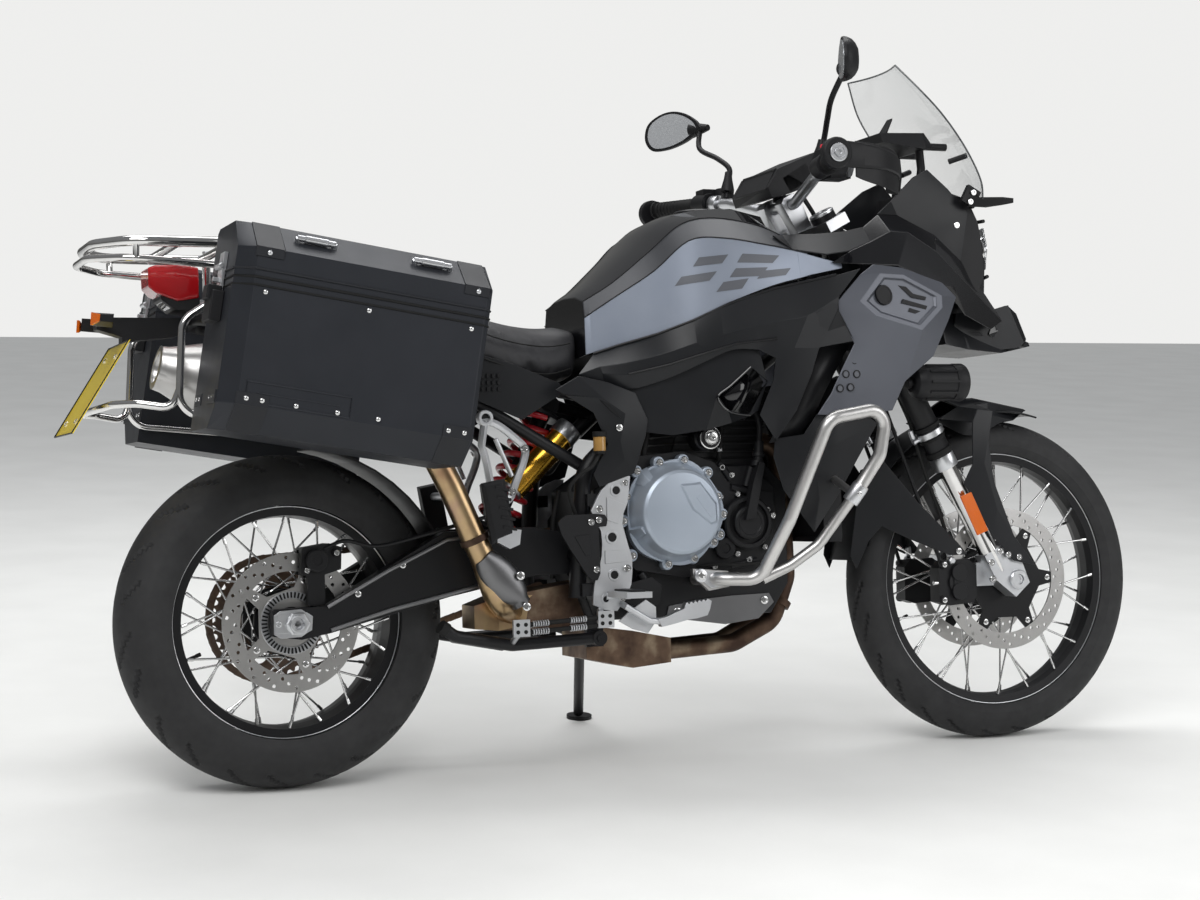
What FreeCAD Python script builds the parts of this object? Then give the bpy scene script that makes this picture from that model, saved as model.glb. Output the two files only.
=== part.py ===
import FreeCAD, Part
import Sketcher
import os
from math import cos, pi, radians, sin, tan
from FreeCAD import Placement, Rotation, Vector

# Adventure motorcycle with wire wheels, aluminium side cases and crash bars, leaning on
# its side stand. Millimetres. Every piece is drawn upright: X forward from the rear
# axle, Y to the left, Z up from the ground. One placement then leans the whole machine
# onto its stand and puts the origin at the middle of its box, on the ground.

doc = FreeCAD.newDocument("AdventureMotorcycle")
sheet = doc.addObject("Spreadsheet::Sheet", "Sizes")


class Size:
    """A length or angle with its sheet expression, so that a property can follow it."""

    def __init__(self, value, text):
        self.value = float(value)
        self.text = text

    def __float__(self):
        return self.value

    def __add__(self, other):
        return Size(self.value + float(other), "(%s + %s)" % (self.text, words(other)))

    def __radd__(self, other):
        return Size(float(other) + self.value, "(%s + %s)" % (words(other), self.text))

    def __sub__(self, other):
        return Size(self.value - float(other), "(%s - %s)" % (self.text, words(other)))

    def __rsub__(self, other):
        return Size(float(other) - self.value, "(%s - %s)" % (words(other), self.text))

    def __mul__(self, other):
        return Size(self.value * float(other), "(%s * %s)" % (self.text, words(other)))

    def __rmul__(self, other):
        return self * other

    def __truediv__(self, other):
        return Size(self.value / float(other), "(%s / %s)" % (self.text, words(other)))

    def __neg__(self):
        return Size(-self.value, "(0 - %s)" % self.text)


def words(value):
    return value.text if isinstance(value, Size) else repr(float(value))


# name, value, what it is
SIZES = (
    ("lean", 8.13, "lean to the left on the side stand, degrees"),
    ("origin_ahead", 767.0, "rear axle to the middle of the box, along X"),
    ("origin_left", 147.0, "wheel plane to the middle of the box, along Y"),
    ("wheelbase", 1593.0, "rear axle to front axle"),
    ("head_angle", 62.0, "steering axis from the ground, degrees"),
    ("trail", 126.0, "steering axis on the ground ahead of the front axle"),
    ("seat_gap", 0.3, "gap at seats and round shafts"),
    ("rear_tyre", 321.0, "rear tyre radius"),
    ("rear_section", 75.0, "half the rear tyre's width"),
    ("rear_rim", 222.0, "rear rim flange radius"),
    ("front_tyre", 347.5, "front tyre radius"),
    ("front_section", 45.0, "half the front tyre's width"),
    ("front_rim", 274.0, "front rim flange radius"),
    ("rim_wall", 5.0, "rim barrel thickness"),
    ("rim_depth", 18.0, "rim flange above the barrel"),
    ("spoke", 2.1, "spoke radius"),
    ("axle", 10.0, "axle radius"),
    ("axle_hole", 6.0, "radius of the hole through each hollow axle"),
    ("disc_thick", 4.5, "brake disc thickness"),
    ("front_disc", 152.5, "front disc radius"),
    ("front_disc_side", 69.0, "front disc from the wheel plane"),
    ("rear_disc", 132.5, "rear disc radius"),
    ("rear_disc_side", 84.0, "rear disc from the wheel plane"),
    ("sprocket", 114.0, "rear sprocket radius"),
    ("chain_side", 87.5, "chain line from the wheel plane"),
    ("fork_side", 100.0, "fork leg from the wheel plane"),
    ("fork_ahead", 28.0, "fork leg ahead of the steering axis"),
    ("fork_tube", 27.0, "upper fork tube radius"),
    ("stanchion", 21.5, "lower fork tube radius"),
    ("lower_clamp", 985.0, "lower triple clamp along the steering axis"),
    ("upper_clamp", 1236.0, "upper triple clamp along the steering axis"),
    ("stem", 15.0, "steering stem radius"),
    ("bar_half", 430.0, "handlebar half width"),
    ("arm_side", 112.0, "swing arm from the wheel plane"),
    ("pivot_ahead", 560.0, "swing arm pivot ahead of the rear axle"),
    ("pivot_up", 430.0, "swing arm pivot above the ground"),
    ("case_in", 262.0, "side case inner wall from the wheel plane"),
    ("case_depth", 218.0, "side case width"),
    ("case_long", 462.0, "side case length"),
    ("case_tall", 268.0, "side case height up to the seam"),
    ("lid_tall", 100.0, "lid height"),
    ("case_wall", 3.0, "case and lid wall"),
    ("case_tilt", 9.3, "side case nose down, degrees"),
    ("rack_up", 1035.0, "luggage rack height"),
    ("bar_tube", 13.5, "crash bar main tube radius"),
    ("bar_thin", 11.0, "crash bar lower tube radius"),
    ("frame_tube", 17.0, "main frame tube radius"),
    ("rear_tube", 12.0, "rear frame tube radius"),
    ("carrier_tube", 7.0, "side case carrier tube radius"),
    ("stand_foot_ahead", 771.0, "side stand foot ahead of the rear axle"),
    ("stand_foot_left", 400.0, "side stand foot from the wheel plane, on the ground"),
)


def fill_sheet():
    for row, (name, value, note) in enumerate(SIZES, 1):
        sheet.set("A%d" % row, str(value))
        sheet.setAlias("A%d" % row, name)
        sheet.set("B%d" % row, note)
    doc.recompute()


class Sizes:
    def __getattr__(self, name):
        return Size(sheet.get(name), "Sizes." + name)


fill_sheet()
S = Sizes()
NODES = {}

LEAN = float(S.lean)
TYRE_DROP = float(S.rear_section) * (1 - cos(radians(LEAN)))
PARK = Placement(
    Vector(-float(S.origin_ahead), -float(S.origin_left), TYRE_DROP),
    Rotation(Vector(1, 0, 0), -LEAN),
)

# Places are drawn for one wheelbase. Another one moves everything from the steering head
# forward, and stretches what lies between the swing arm pivot and the steering head.
DRAWN_WHEELBASE = 1593.0
STRETCH_FROM = 560.0
STRETCH_TO = 1187.0


class Reach:
    """Whether the pieces being drawn turn with the steering and so move as a whole."""

    steered = False


def ahead(x):
    """The place along X of a drawn point, for the wheelbase in the sheet."""
    grow = float(S.wheelbase) - DRAWN_WHEELBASE
    share = (float(x) - STRETCH_FROM) / (STRETCH_TO - STRETCH_FROM)
    return float(x) + grow * (1.0 if Reach.steered else min(1.0, max(0.0, share)))


def point(x, y, z):
    return Vector(float(x), float(y), float(z))


def drawn(x, y, z):
    return Vector(ahead(x), float(y), float(z))


def node(name, *pieces):
    """One named piece of the machine, from one or more solids, leaned onto the stand."""
    part = doc.addObject("Part::Compound", name)
    part.Label = name
    part.Links = list(pieces)
    part.Placement = PARK
    NODES[name] = part
    return part


def bind(obj, prop, value):
    if isinstance(value, Size):
        obj.setExpression(prop, value.text)


def solid(name, shape):
    """A piece whose form no primitive or sketch gives."""
    obj = doc.addObject("Part::Feature", name)
    obj.Shape = shape
    return obj


def mirrored(obj):
    twin = doc.addObject("Part::Mirroring", obj.Name + "_left")
    twin.Source = obj
    twin.Normal = Vector(0, 1, 0)
    return twin


def fused(name, *pieces):
    obj = doc.addObject("Part::MultiFuse", name)
    obj.Shapes = list(pieces)
    return obj


def cut(name, base, tool):
    obj = doc.addObject("Part::Cut", name)
    obj.Base = base
    obj.Tool = tool
    return obj


def across(name, x, z, side_a, side_b, radius):
    """A cylinder along Y between two distances from the wheel plane."""
    obj = doc.addObject("Part::Cylinder", name)
    low, high = sorted((side_a, side_b), key=float)
    along = x if isinstance(x, Size) else ahead(x)
    obj.Radius = float(radius)
    obj.Height = float(high) - float(low)
    obj.Placement = Placement(point(along, low, z), Rotation(Vector(1, 0, 0), -90))
    bind(obj, "Radius", radius)
    bind(obj, "Height", high - low)
    bind(obj, "Placement.Base.x", along)
    bind(obj, "Placement.Base.y", low)
    bind(obj, "Placement.Base.z", z)
    return obj


def block(name, x, y, z):
    """A box between the two values given for each axis."""
    obj = doc.addObject("Part::Box", name)
    x = tuple(ahead(value) for value in x)
    y = tuple(sorted(y, key=float))
    obj.Placement = Placement(point(x[0], y[0], z[0]), Rotation())
    for prop, span in (("Length", x), ("Width", y), ("Height", z)):
        setattr(obj, prop, float(span[1]) - float(span[0]))
        bind(obj, prop, span[1] - span[0])
    for letter, span in (("y", y), ("z", z)):
        bind(obj, "Placement.Base." + letter, span[0])
    return obj


def rod(name, start, end, radius, end_radius=None):
    """A cylinder or cone between two points."""
    start, end = drawn(*start), drawn(*end)
    run = end - start
    if end_radius is None:
        obj = doc.addObject("Part::Cylinder", name)
        obj.Radius = float(radius)
        bind(obj, "Radius", radius)
    else:
        obj = doc.addObject("Part::Cone", name)
        obj.Radius1 = float(radius)
        obj.Radius2 = float(end_radius)
    obj.Height = run.Length
    obj.Placement = Placement(start, Rotation(Vector(0, 0, 1), run))
    return obj


def sketch_on(body, role, name, offset):
    """An empty sketch on an origin plane of the body, moved off along its normal."""
    sketch = body.newObject("Sketcher::SketchObject", name)
    plane = next(f for f in body.Origin.OriginFeatures if f.Role == role)
    sketch.AttachmentSupport = [(plane, "")]
    sketch.MapMode = "FlatFace"
    sketch.AttachmentOffset = Placement(Vector(0, 0, float(offset)), Rotation())
    bind(sketch, "AttachmentOffset.Base.z", offset)
    return sketch


def pin_down(sketch, index, place, spot):
    """Two distances from the sketch's origin to a corner or centre."""
    for kind, value in zip(("DistanceX", "DistanceY"), spot):
        number = sketch.addConstraint(Sketcher.Constraint(kind, -1, 1, index, place, float(value)))
        bind(sketch, "Constraints[%d]" % number, value)


def draw(sketch, corners):
    """A closed outline of straight lines."""
    first = sketch.GeometryCount
    count = len(corners)
    flat = [Vector(float(u), float(v), 0) for u, v in corners]
    for i in range(count):
        sketch.addGeometry(Part.LineSegment(flat[i], flat[(i + 1) % count]), False)
    for i in range(count):
        sketch.addConstraint(Sketcher.Constraint(
            "Coincident", first + i, 2, first + (i + 1) % count, 1))
    for i, corner in enumerate(corners):
        pin_down(sketch, first + i, 1, corner)


def circle(sketch, u, v, radius):
    index = sketch.addGeometry(Part.Circle(
        Vector(float(u), float(v), 0), Vector(0, 0, 1), float(radius)), False)
    pin_down(sketch, index, 3, (u, v))
    number = sketch.addConstraint(Sketcher.Constraint("Radius", index, float(radius)))
    bind(sketch, "Constraints[%d]" % number, radius)


def pad(body, sketch, length):
    made = body.newObject("PartDesign::Pad", sketch.Name + "_pad")
    made.Profile = sketch
    made.Length = float(length)
    bind(made, "Length", length)
    return made


def plate(name, outline, side_a, side_b, holes=()):
    """A flat piece: (x, z) corners and (x, z, radius) holes, across two distances from the
    wheel plane."""
    low, high = sorted((side_a, side_b), key=float)
    body = doc.addObject("PartDesign::Body", name)
    sketch = sketch_on(body, "XZ_Plane", name + "_outline", 0.0 - high)
    draw(sketch, [(ahead(x), z) for x, z in outline])
    for x, z, radius in holes:
        circle(sketch, ahead(x), z, radius)
    pad(body, sketch, high - low)
    return body


def at_hub(body, centre):
    """Moves a body that was drawn round the origin to a hub."""
    x, z = centre
    body.Placement = Placement(point(x, 0, z), Rotation())
    bind(body, "Placement.Base.x", x)
    bind(body, "Placement.Base.z", z)
    return body


def turned(name, centre, profile):
    """A ring turned about a line along Y through a hub: corners of (radius, y)."""
    body = doc.addObject("PartDesign::Body", name)
    sketch = sketch_on(body, "XY_Plane", name + "_profile", 0.0)
    draw(sketch, profile)
    ring = body.newObject("PartDesign::Revolution", name + "_ring")
    ring.Profile = sketch
    ring.ReferenceAxis = (sketch, ["V_Axis"])
    ring.Angle = 360.0
    return at_hub(body, centre)


def star(count, outer, inner, half_tip, half_root):
    """Corners of a wheel of tabs: flat tips at the outer radius, flat roots at the inner."""
    corners = []
    for i in range(count):
        for radius, turn in ((outer, -half_tip), (outer, half_tip),
                             (inner, half_root), (inner, 360.0 / count - half_root)):
            angle = radians(360.0 * i / count + turn)
            corners.append((radius * cos(angle), radius * sin(angle)))
    return corners


def tube(name, route, radius, bend):
    """A round tube along straight runs joined by arcs of the bend radius."""
    points = [drawn(*p) for p in route]
    edges = []
    last = points[0]
    for before, corner, after in zip(points, points[1:], points[2:]):
        back = (before - corner).normalize()
        onward = (after - corner).normalize()
        half = back.getAngle(onward) / 2
        reach = float(bend) / tan(half)
        room = 0.48 * min((before - corner).Length, (after - corner).Length)
        reach = min(reach, room)
        enter = corner + back * reach
        leave = corner + onward * reach
        middle = (back + onward).normalize()
        turn = reach * tan(half)
        centre = corner + middle * (reach / cos(half))
        edges.append(Part.LineSegment(last, enter).toShape())
        edges.append(Part.Arc(enter, centre - middle * turn, leave).toShape())
        last = leave
    edges.append(Part.LineSegment(last, points[-1]).toShape())
    path = Part.Wire(edges)
    ring = Part.Wire(Part.Circle(points[0], points[1] - points[0], float(radius)).toShape())
    return solid(name, path.makePipeShell([ring], True, True))


def hull(name, sections):
    """A solid through closed sections, each a list of points with the same count."""
    wires = []
    for section in sections:
        corners = [drawn(*p) for p in section]
        wires.append(Part.makePolygon(corners + corners[:1]))
    return solid(name, Part.makeLoft(wires, True, True))


def lathe(name, start, end, profile):
    """A solid turned about the line from start to end: profile of (distance along, radius)."""
    start, end = drawn(*start), drawn(*end)
    corners = [point(r, 0, a) for a, r in profile]
    face = Part.Face(Part.makePolygon(corners + corners[:1]))
    shape = face.revolve(point(0, 0, 0), Vector(0, 0, 1), 360)
    shape.Placement = Placement(start, Rotation(Vector(0, 0, 1), end - start))
    return solid(name, shape)


def creased(name, corners, facets, depth):
    """A panel of flat facets over numbered corners, with the same facets set in along Y."""
    outer = [drawn(*p) for p in corners]
    inner = [p + Vector(0, depth, 0) for p in outer]
    sides = {}
    faces = []
    for facet in facets:
        for layer in (outer, inner):
            ring = [layer[i] for i in facet]
            faces.append(Part.Face(Part.makePolygon(ring + ring[:1])))
        for pair in zip(facet, facet[1:] + facet[:1]):
            key = tuple(sorted(pair))
            sides[key] = sides.get(key, 0) + 1
    for (a, b), uses in sides.items():
        if uses == 1:
            ring = [outer[a], outer[b], inner[b], inner[a]]
            faces.append(Part.Face(Part.makePolygon(ring + ring[:1])))
    shell = Part.makeShell(faces)
    shape = Part.makeSolid(shell)
    if shape.Volume < 0:
        shape.reverse()
    return solid(name, shape)


def creased_strip(name, columns, depth):
    """A creased panel from columns of corners, each column with the same count."""
    rows = len(columns[0])
    corners = [corner for column in columns for corner in column]
    facets = []
    for c in range(len(columns) - 1):
        for r in range(rows - 1):
            a = c * rows + r
            facets.append((a, a + rows, a + rows + 1))
            facets.append((a, a + rows + 1, a + 1))
    return creased(name, corners, facets, depth)


def creased_fan(name, centre, outline, depth):
    """A creased panel whose facets meet at one raised corner."""
    count = len(outline)
    facets = [(0, i + 1, (i + 1) % count + 1) for i in range(count)]
    return creased(name, [centre] + list(outline), facets, depth)


def facet_side(a, b, c, x, z):
    """The distance from the wheel plane at which the facet abc passes (x, z)."""
    first = point(*b) - point(*a)
    second = point(*c) - point(*a)
    normal = first.cross(second)
    return a[1] - (normal.x * (x - a[0]) + normal.z * (z - a[2])) / normal.y


def steer_point(along, forward, side):
    """A point by its distance up the steering axis, ahead of it and to the left."""
    tilt = radians(float(S.head_angle))
    foot = DRAWN_WHEELBASE + float(S.trail)
    return (
        foot - float(along) * cos(tilt) + float(forward) * sin(tilt),
        float(side),
        float(along) * sin(tilt) + float(forward) * cos(tilt),
    )


FRONT_HUB = (S.wheelbase, S.front_tyre)
FRONT_DRAWN = (DRAWN_WHEELBASE, S.front_tyre)
REAR_HUB = (0.0, S.rear_tyre)


def spokes(name, centre, count, hub_radius, hub_side, rim_radius, rim_side):
    """Wire spokes from both hub flanges to the rim's edges, each leaning along its flange."""
    x, z = centre
    wires = []
    sweep = radians(62)
    for i in range(count):
        side = 1 if i % 2 else -1
        lean = 1 if (i // 2) % 2 else -1
        rim_turn = 2 * pi * i / count
        hub_turn = rim_turn + lean * sweep
        ends = []
        for radius, turn, y in ((hub_radius, hub_turn, side * (hub_side + 3 * lean)),
                                (rim_radius, rim_turn, side * rim_side)):
            ends.append(point(float(x) + float(radius) * cos(turn), y,
                              float(z) + float(radius) * sin(turn)))
        run = ends[1] - ends[0]
        wires.append(Part.makeCylinder(float(S.spoke), run.Length, ends[0], run))
    return solid(name, Part.makeCompound(wires))


def wheel(front):
    """Tyre, rim, hub and spokes of one wheel."""
    name = "front" if front else "rear"
    centre = FRONT_HUB if front else REAR_HUB
    outer = S.front_tyre if front else S.rear_tyre
    section = S.front_section if front else S.rear_section
    flange = S.front_rim if front else S.rear_rim
    rim_half = 32.0 if front else 58.0
    x, z = centre
    ring = doc.addObject("Part::Torus", name + "_carcass")
    ring.Radius1 = float(outer - section)
    ring.Radius2 = float(section)
    ring.Placement = Placement(point(x, 0, z), Rotation(Vector(1, 0, 0), 90))
    bind(ring, "Radius1", outer - section)
    bind(ring, "Radius2", section)
    bind(ring, "Placement.Base.x", x)
    bind(ring, "Placement.Base.z", z)
    seat = across(name + "_seat", x, z, -section, section, flange + S.seat_gap)
    node(name + "_tyre", cut(name + "_tyre_ring", ring, seat))
    barrel = flange - S.rim_depth
    node(name + "_rim", turned(name + "_rim_ring", centre, (
        (flange, -rim_half), (flange, -rim_half + 4), (barrel + S.rim_wall, -rim_half + 9),
        (barrel + S.rim_wall, rim_half - 9), (flange, rim_half - 4), (flange, rim_half),
        (barrel, rim_half - 2), (barrel - 4, 12), (barrel - 4, -12), (barrel, -rim_half + 2))))
    hub_side = 38.0 if front else 48.0
    hub_end = 72.0 if front else 91.0
    bore = S.axle + S.seat_gap
    rise = 58.0 if front else 64.0
    waist = 27.0 if front else 33.0
    node(name + "_hub", turned(name + "_hub_shell", centre, (
        (bore, -hub_end), (30, -hub_end), (30, -hub_side - 12), (46, -hub_side - 6),
        (rise, -hub_side - 5), (rise, -hub_side + 5), (46, -hub_side + 8), (waist, -hub_side + 20),
        (waist, hub_side - 20), (46, hub_side - 8), (rise, hub_side - 5), (rise, hub_side + 5),
        (46, hub_side + 6), (30, hub_side + 12), (30, hub_end), (bore, hub_end))))
    node(name + "_spokes", spokes(name + "_wires", centre, 40, rise + 2.6, hub_side,
                                  float(barrel) - 2.0, rim_half - 6))


def disc(name, centre, side, radius, inner, tabs, rows, ring=None):
    """A drilled brake disc on a tabbed carrier, and a slotted ring where it has one."""
    body = doc.addObject("PartDesign::Body", name)
    face = sketch_on(body, "XZ_Plane", name + "_face", 0.0 - (side + S.disc_thick / 2))
    circle(face, 0.0, 0.0, radius)
    circle(face, 0.0, 0.0, inner)
    pad(body, face, S.disc_thick)
    carrier = sketch_on(body, "XZ_Plane", name + "_carrier", 0.0 - (side + S.disc_thick / 2))
    draw(carrier, star(tabs, inner + 4.0, inner - 30.0, 5.0, 12.0))
    circle(carrier, 0.0, 0.0, 30.3)
    pad(body, carrier, S.disc_thick)
    if ring:
        low, high, inside, outside = ring
        band = sketch_on(body, "XZ_Plane", name + "_band", 0.0 - high)
        circle(band, 0.0, 0.0, outside)
        circle(band, 0.0, 0.0, inside)
        pad(body, band, high - low)
    drill = sketch_on(body, "XZ_Plane", name + "_holes", 0.0 - (side + S.disc_thick / 2))
    for distance, turn in rows:
        circle(drill, distance * cos(radians(turn)), distance * sin(radians(turn)), 3.6)
    pocket = body.newObject("PartDesign::Pocket", name + "_drilled")
    pocket.Profile = drill
    pocket.Type = 1
    pocket.Midplane = True
    pattern = body.newObject("PartDesign::PolarPattern", name + "_pattern")
    pattern.Originals = [pocket]
    pattern.Axis = (drill, ["N_Axis"])
    pattern.Angle = 360
    pattern.Occurrences = 18
    body.Tip = pattern
    return at_hub(body, centre)


def wheels():
    wheel(True)
    wheel(False)
    front_rows = ((126.0, 0.0), (134.0, 6.7), (143.0, 13.4))
    rear_rows = ((107.0, 0.0), (115.0, 6.7), (124.0, 13.4))
    node("front_discs", *[disc("front_disc_%d" % i, FRONT_HUB, side * S.front_disc_side,
                               S.front_disc, 118.0, 6, front_rows)
                          for i, side in enumerate((-1, 1))])
    node("rear_disc", disc("rear_disc_ring", REAR_HUB, -S.rear_disc_side, S.rear_disc, 98.0, 5,
                           rear_rows, (-89.0, -86.0, 46.0, 60.0)))
    teeth = []
    for i in range(42):
        for radius, turn in ((float(S.sprocket), 1.6), (float(S.sprocket), 3.4),
                             (float(S.sprocket) - 6.0, 5.4), (float(S.sprocket) - 6.0, 8.2)):
            angle = radians(360.0 * i / 42 + turn)
            teeth.append((radius * cos(angle), radius * sin(angle)))
    body = doc.addObject("PartDesign::Body", "sprocket_plate")
    face = sketch_on(body, "XZ_Plane", "sprocket_face", -(S.chain_side + 3.0))
    draw(face, teeth)
    circle(face, 0.0, 0.0, 30.3)
    for i in range(5):
        angle = radians(72.0 * i + 36)
        circle(face, 74 * cos(angle), 74 * sin(angle), 16.0)
    pad(body, face, 6.0)
    node("rear_sprocket", at_hub(body, REAR_HUB))
    for name, (x, z), half in (("front", FRONT_HUB, S.fork_side + 26),
                               ("rear", REAR_HUB, S.arm_side + 26)):
        bar = across(name + "_axle_bar", x, z, -half, half, S.axle)
        hole = across(name + "_axle_hole", x, z, -half - 5, half + 5, S.axle_hole)
        node(name + "_axle", cut(name + "_axle_tube", bar, hole))


STAND_EYE = (690, 172, 270)
STAND_AXIS = (0.170, 0.625, 0.729)
STAND_EYE_HALF = 12.0


def frame():
    outer = rod("head_outer", steer_point(S.lower_clamp + 20, 0, 0),
                steer_point(S.upper_clamp - 21, 0, 0), 30.0)
    bore = rod("head_bore", steer_point(S.lower_clamp + 5, 0, 0),
               steer_point(S.upper_clamp + 5, 0, 0), S.stem + S.seat_gap)
    rails = []
    lugs = []
    for side in (-1, 1):
        rails.append(tube("top_rail_%d" % side, (
            steer_point(S.upper_clamp - 86, -20, side * 22), (1010, side * 95, 885),
            (760, side * 128, 760), (S.pivot_ahead + 20, side * 147, 600),
            (S.pivot_ahead, side * 147, S.pivot_up - 82)), S.frame_tube, 70))
        rails.append(tube("down_rail_%d" % side, (
            steer_point(S.lower_clamp + 55, -20, side * 22), (1130, side * 85, 850),
            (1035, side * 110, 772)), 14.0, 60))
        lugs.append(block("tank_saddle_%d" % side, (842, 864), (side * 100, side * 128),
                          (812, TANK_FLOOR - S.seat_gap)))
        lugs.append(block("step_lug_high_%d" % side, (575, 612), (side * 140, side * 177.7), (528, 552)))
        lugs.append(block("step_lug_low_%d" % side, (560, 606), (side * 140, side * 177.7), (352, 376)))
        foot = (S.pivot_ahead, side * 147, S.pivot_up - 55)
        lugs.append(rod("stand_stay_%d" % side, foot, (600, side * 126, 292), 9.0))
        lugs.append(block("stand_lug_%d" % side, (582, 618), (side * 126, side * 137.7), (250, 305)))
        lugs.append(across("stand_pin_%d" % side, 600, 268, side * 130, side * 168, 7.0))
    shaft = across("pivot_shaft", S.pivot_ahead, S.pivot_up, -150.0, 150.0, S.axle)
    hinge = Vector(*STAND_AXIS).normalize()
    eye = point(*STAND_EYE)
    cheek = eye - hinge * (STAND_EYE_HALF + float(S.seat_gap))
    lugs.append(rod("side_cheek", cheek - hinge * 8, cheek, 17.0))
    lugs.append(rod("side_pin", cheek - hinge * 4, eye + hinge * (STAND_EYE_HALF + 3), 6.0))
    lugs.append(rod("side_stay", (612, 127, 278), cheek - hinge * 10, 9.0))
    nose = hull("nose_carrier", (
        [(1215, y, z) for y, z in ((-18, 980), (18, 980), (18, 1020), (-18, 1020))],
        [(NOSE_BACK - 0.3, y, z) for y, z in ((-18, 1030), (18, 1030), (18, 1070), (-18, 1070))]))
    cross = across("shock_cross", 712, 753, -126.0, 126.0, 14.0)
    whole = fused("frame_solid", outer, shaft, nose, cross, *(rails + lugs))
    node("main_frame", cut("frame_bored", whole, bore))
    loop = tube("seat_loop", (
        (700, -122, 722), (300, -122, 812), (-60, -120, 880), (-160, -70, 900),
        (-160, 70, 900), (-60, 120, 880), (300, 122, 812), (700, 122, 722)), S.rear_tube, 60)
    struts = [tube("strut_%d" % side, (
        (592, side * 140, 600), (366, side * 126, 736), (150, side * 122, 840)),
        S.rear_tube, 60) for side in (-1, 1)]
    rests = [block("seat_rest_%d" % side, (184, 199), (side * 108, side * 130), (836, 851.7))
             for side in (-1, 1)]
    node("rear_subframe", fused("subframe_solid", loop, *struts, *rests))


CLUTCH = (771, 512)
PUMP = (935, 487)


def engine():
    crankcase = plate("crankcase", (
        (640, 300), (1000, 300), (1040, 360), (1040, 560), (980, 620), (700, 620),
        (612, 560), (608, 400)), -120, 120)
    bank = hull("cylinder_bank", (
        [(x, y, 600) for x, y in ((775, -115), (960, -115), (960, 115), (775, 115))],
        [(x, y, 755) for x, y in ((820, -115), (1010, -115), (1010, 115), (820, 115))]))
    gearbox = plate("gearbox_side", (
        (660, 400), (985, 400), (1005, 440), (1005, 560), (950, 604), (700, 604), (660, 560)),
        -136, -118)
    node("engine_block", fused("engine_solid", crankcase, bank, gearbox))
    x, z = CLUTCH
    node("clutch_cover", lathe("clutch_dome", (x, -136.3, z), (x, -220, z), (
        (0, 0), (0, 109), (24, 108), (32, 101), (36, 92), (54, 88), (62, 80), (65, 60), (67, 30), (67, 0))))
    x, z = PUMP
    pump = lathe("pump_dome", (x, -136.3, z), (x, -220, z), (
        (0, 0), (0, 47), (24, 46), (28, 36), (36, 34), (38, 0)))
    hose = tube("pump_hose", ((x + 19, -150, z + 24), (x + 22, -152, z + 70),
                              (x + 10, -146, z + 122), (x + 2, -122, z + 150)), 9.0, 30)
    alternator = lathe("alternator_dome", (890, 120.3, 480), (890, 220, 480), (
        (0, 0), (0, 92), (48, 90), (56, 82), (62, 70), (70, 66), (72, 0)))
    guard = plate("sprocket_guard", (
        (612, 380), (690, 380), (720, 440), (700, 520), (640, 540), (612, 500)), 120.3, 138)
    node("engine_covers", fused("pump_and_hose", pump, hose), alternator, guard)
    node("radiator", hull("radiator_core", (
        [(1100, y, z) for y, z in ((-170, 450), (170, 450), (170, 775), (-170, 775))],
        [(1132, y, z) for y, z in ((-170, 445), (170, 445), (170, 770), (-170, 770))])))


SILENCER_MOUTH = (181, -178, 690.5)
SILENCER_TAIL = (-262, -178, 800)


def on_silencer(along, distance):
    """A point on the silencer's centre line, ahead of its mouth by the distance."""
    mouth, end = point(*SILENCER_MOUTH), point(*SILENCER_TAIL)
    return tuple(mouth + (mouth - end).normalize() * (along + distance))


def exhaust():
    pipes = [tube("header_%d" % side, (
        (980, side * 45, 660), (1056, side * 45, 650), (1068, side * 45, 500),
        (1074, side * 42, 370), (1040, side * 40, 280), (950, side * 35, 236),
        (799, side * 32, 228)), 19.0, 50)
        for side in (-1, 1)]
    collector = hull("collector", (
        [(798, y, z) for y, z in ((-60, 205), (60, 205), (60, 255), (-60, 255))],
        [(700, y, z) for y, z in ((-90, 200), (60, 200), (60, 275), (-90, 275))],
        [(590, y, z) for y, z in ((-115, 225), (20, 225), (20, 290), (-115, 290))]))
    catalyst = hull("catalyst", (
        [(589, y, z) for y, z in ((-115, 290), (-20, 290), (-20, 380), (-115, 380))],
        [(400, y, z) for y, z in ((-135, 290), (-40, 290), (-40, 355), (-135, 355))],
        [(350, y, z) for y, z in ((-135, 295), (-60, 295), (-60, 340), (-135, 340))]))
    link = tube("link_pipe", (
        (430, -120, 325), (385, -172, 350), (356, -174, 435), (295, -176, 570),
        on_silencer(60, 0), on_silencer(0, 0.3)), 25.0, 60)
    node("exhaust_pipes", collector, fused("catalyst_and_link", catalyst, link), *pipes)
    elbow = creased_fan("elbow_shield", (398, -206.4, 385), (
        (345, -202.4, 425), (372, -202.4, 437), (400, -203.4, 420), (410, -203.4, 394),
        (447, -202.4, 364), (448, -202.4, 342), (426, -202.4, 320), (404, -202.4, 328),
        (370, -202.4, 370)), 3.0)
    guard = plate("header_shield", (
        (767, 323), (826, 333), (993, 341), (1004, 322), (968, 290), (893, 281), (816, 292),
        (762, 300)), -123.6, -120.3, ((800, 314, 5), (975, 318, 5)))
    node("exhaust_heat_shield", elbow, guard)
    node("silencer", lathe("silencer_can", SILENCER_MOUTH, SILENCER_TAIL, (
        (0, 0), (0, 60), (14, 68), (352, 68), (356, 70), (366, 70), (372, 67), (444, 42),
        (456, 40), (456, 28), (390, 28), (390, 0))))


def ring_part(centre, inner, outer, start, end):
    """The (x, z) outline of a part of a ring, between two angles from straight ahead."""
    x, z = (float(v) for v in centre)
    turns = [radians(start + (end - start) * i / 8) for i in range(9)]
    out = [(x + outer * cos(a), z + outer * sin(a)) for a in turns]
    back = [(x + inner * cos(a), z + inner * sin(a)) for a in reversed(turns)]
    return out + back


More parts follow.
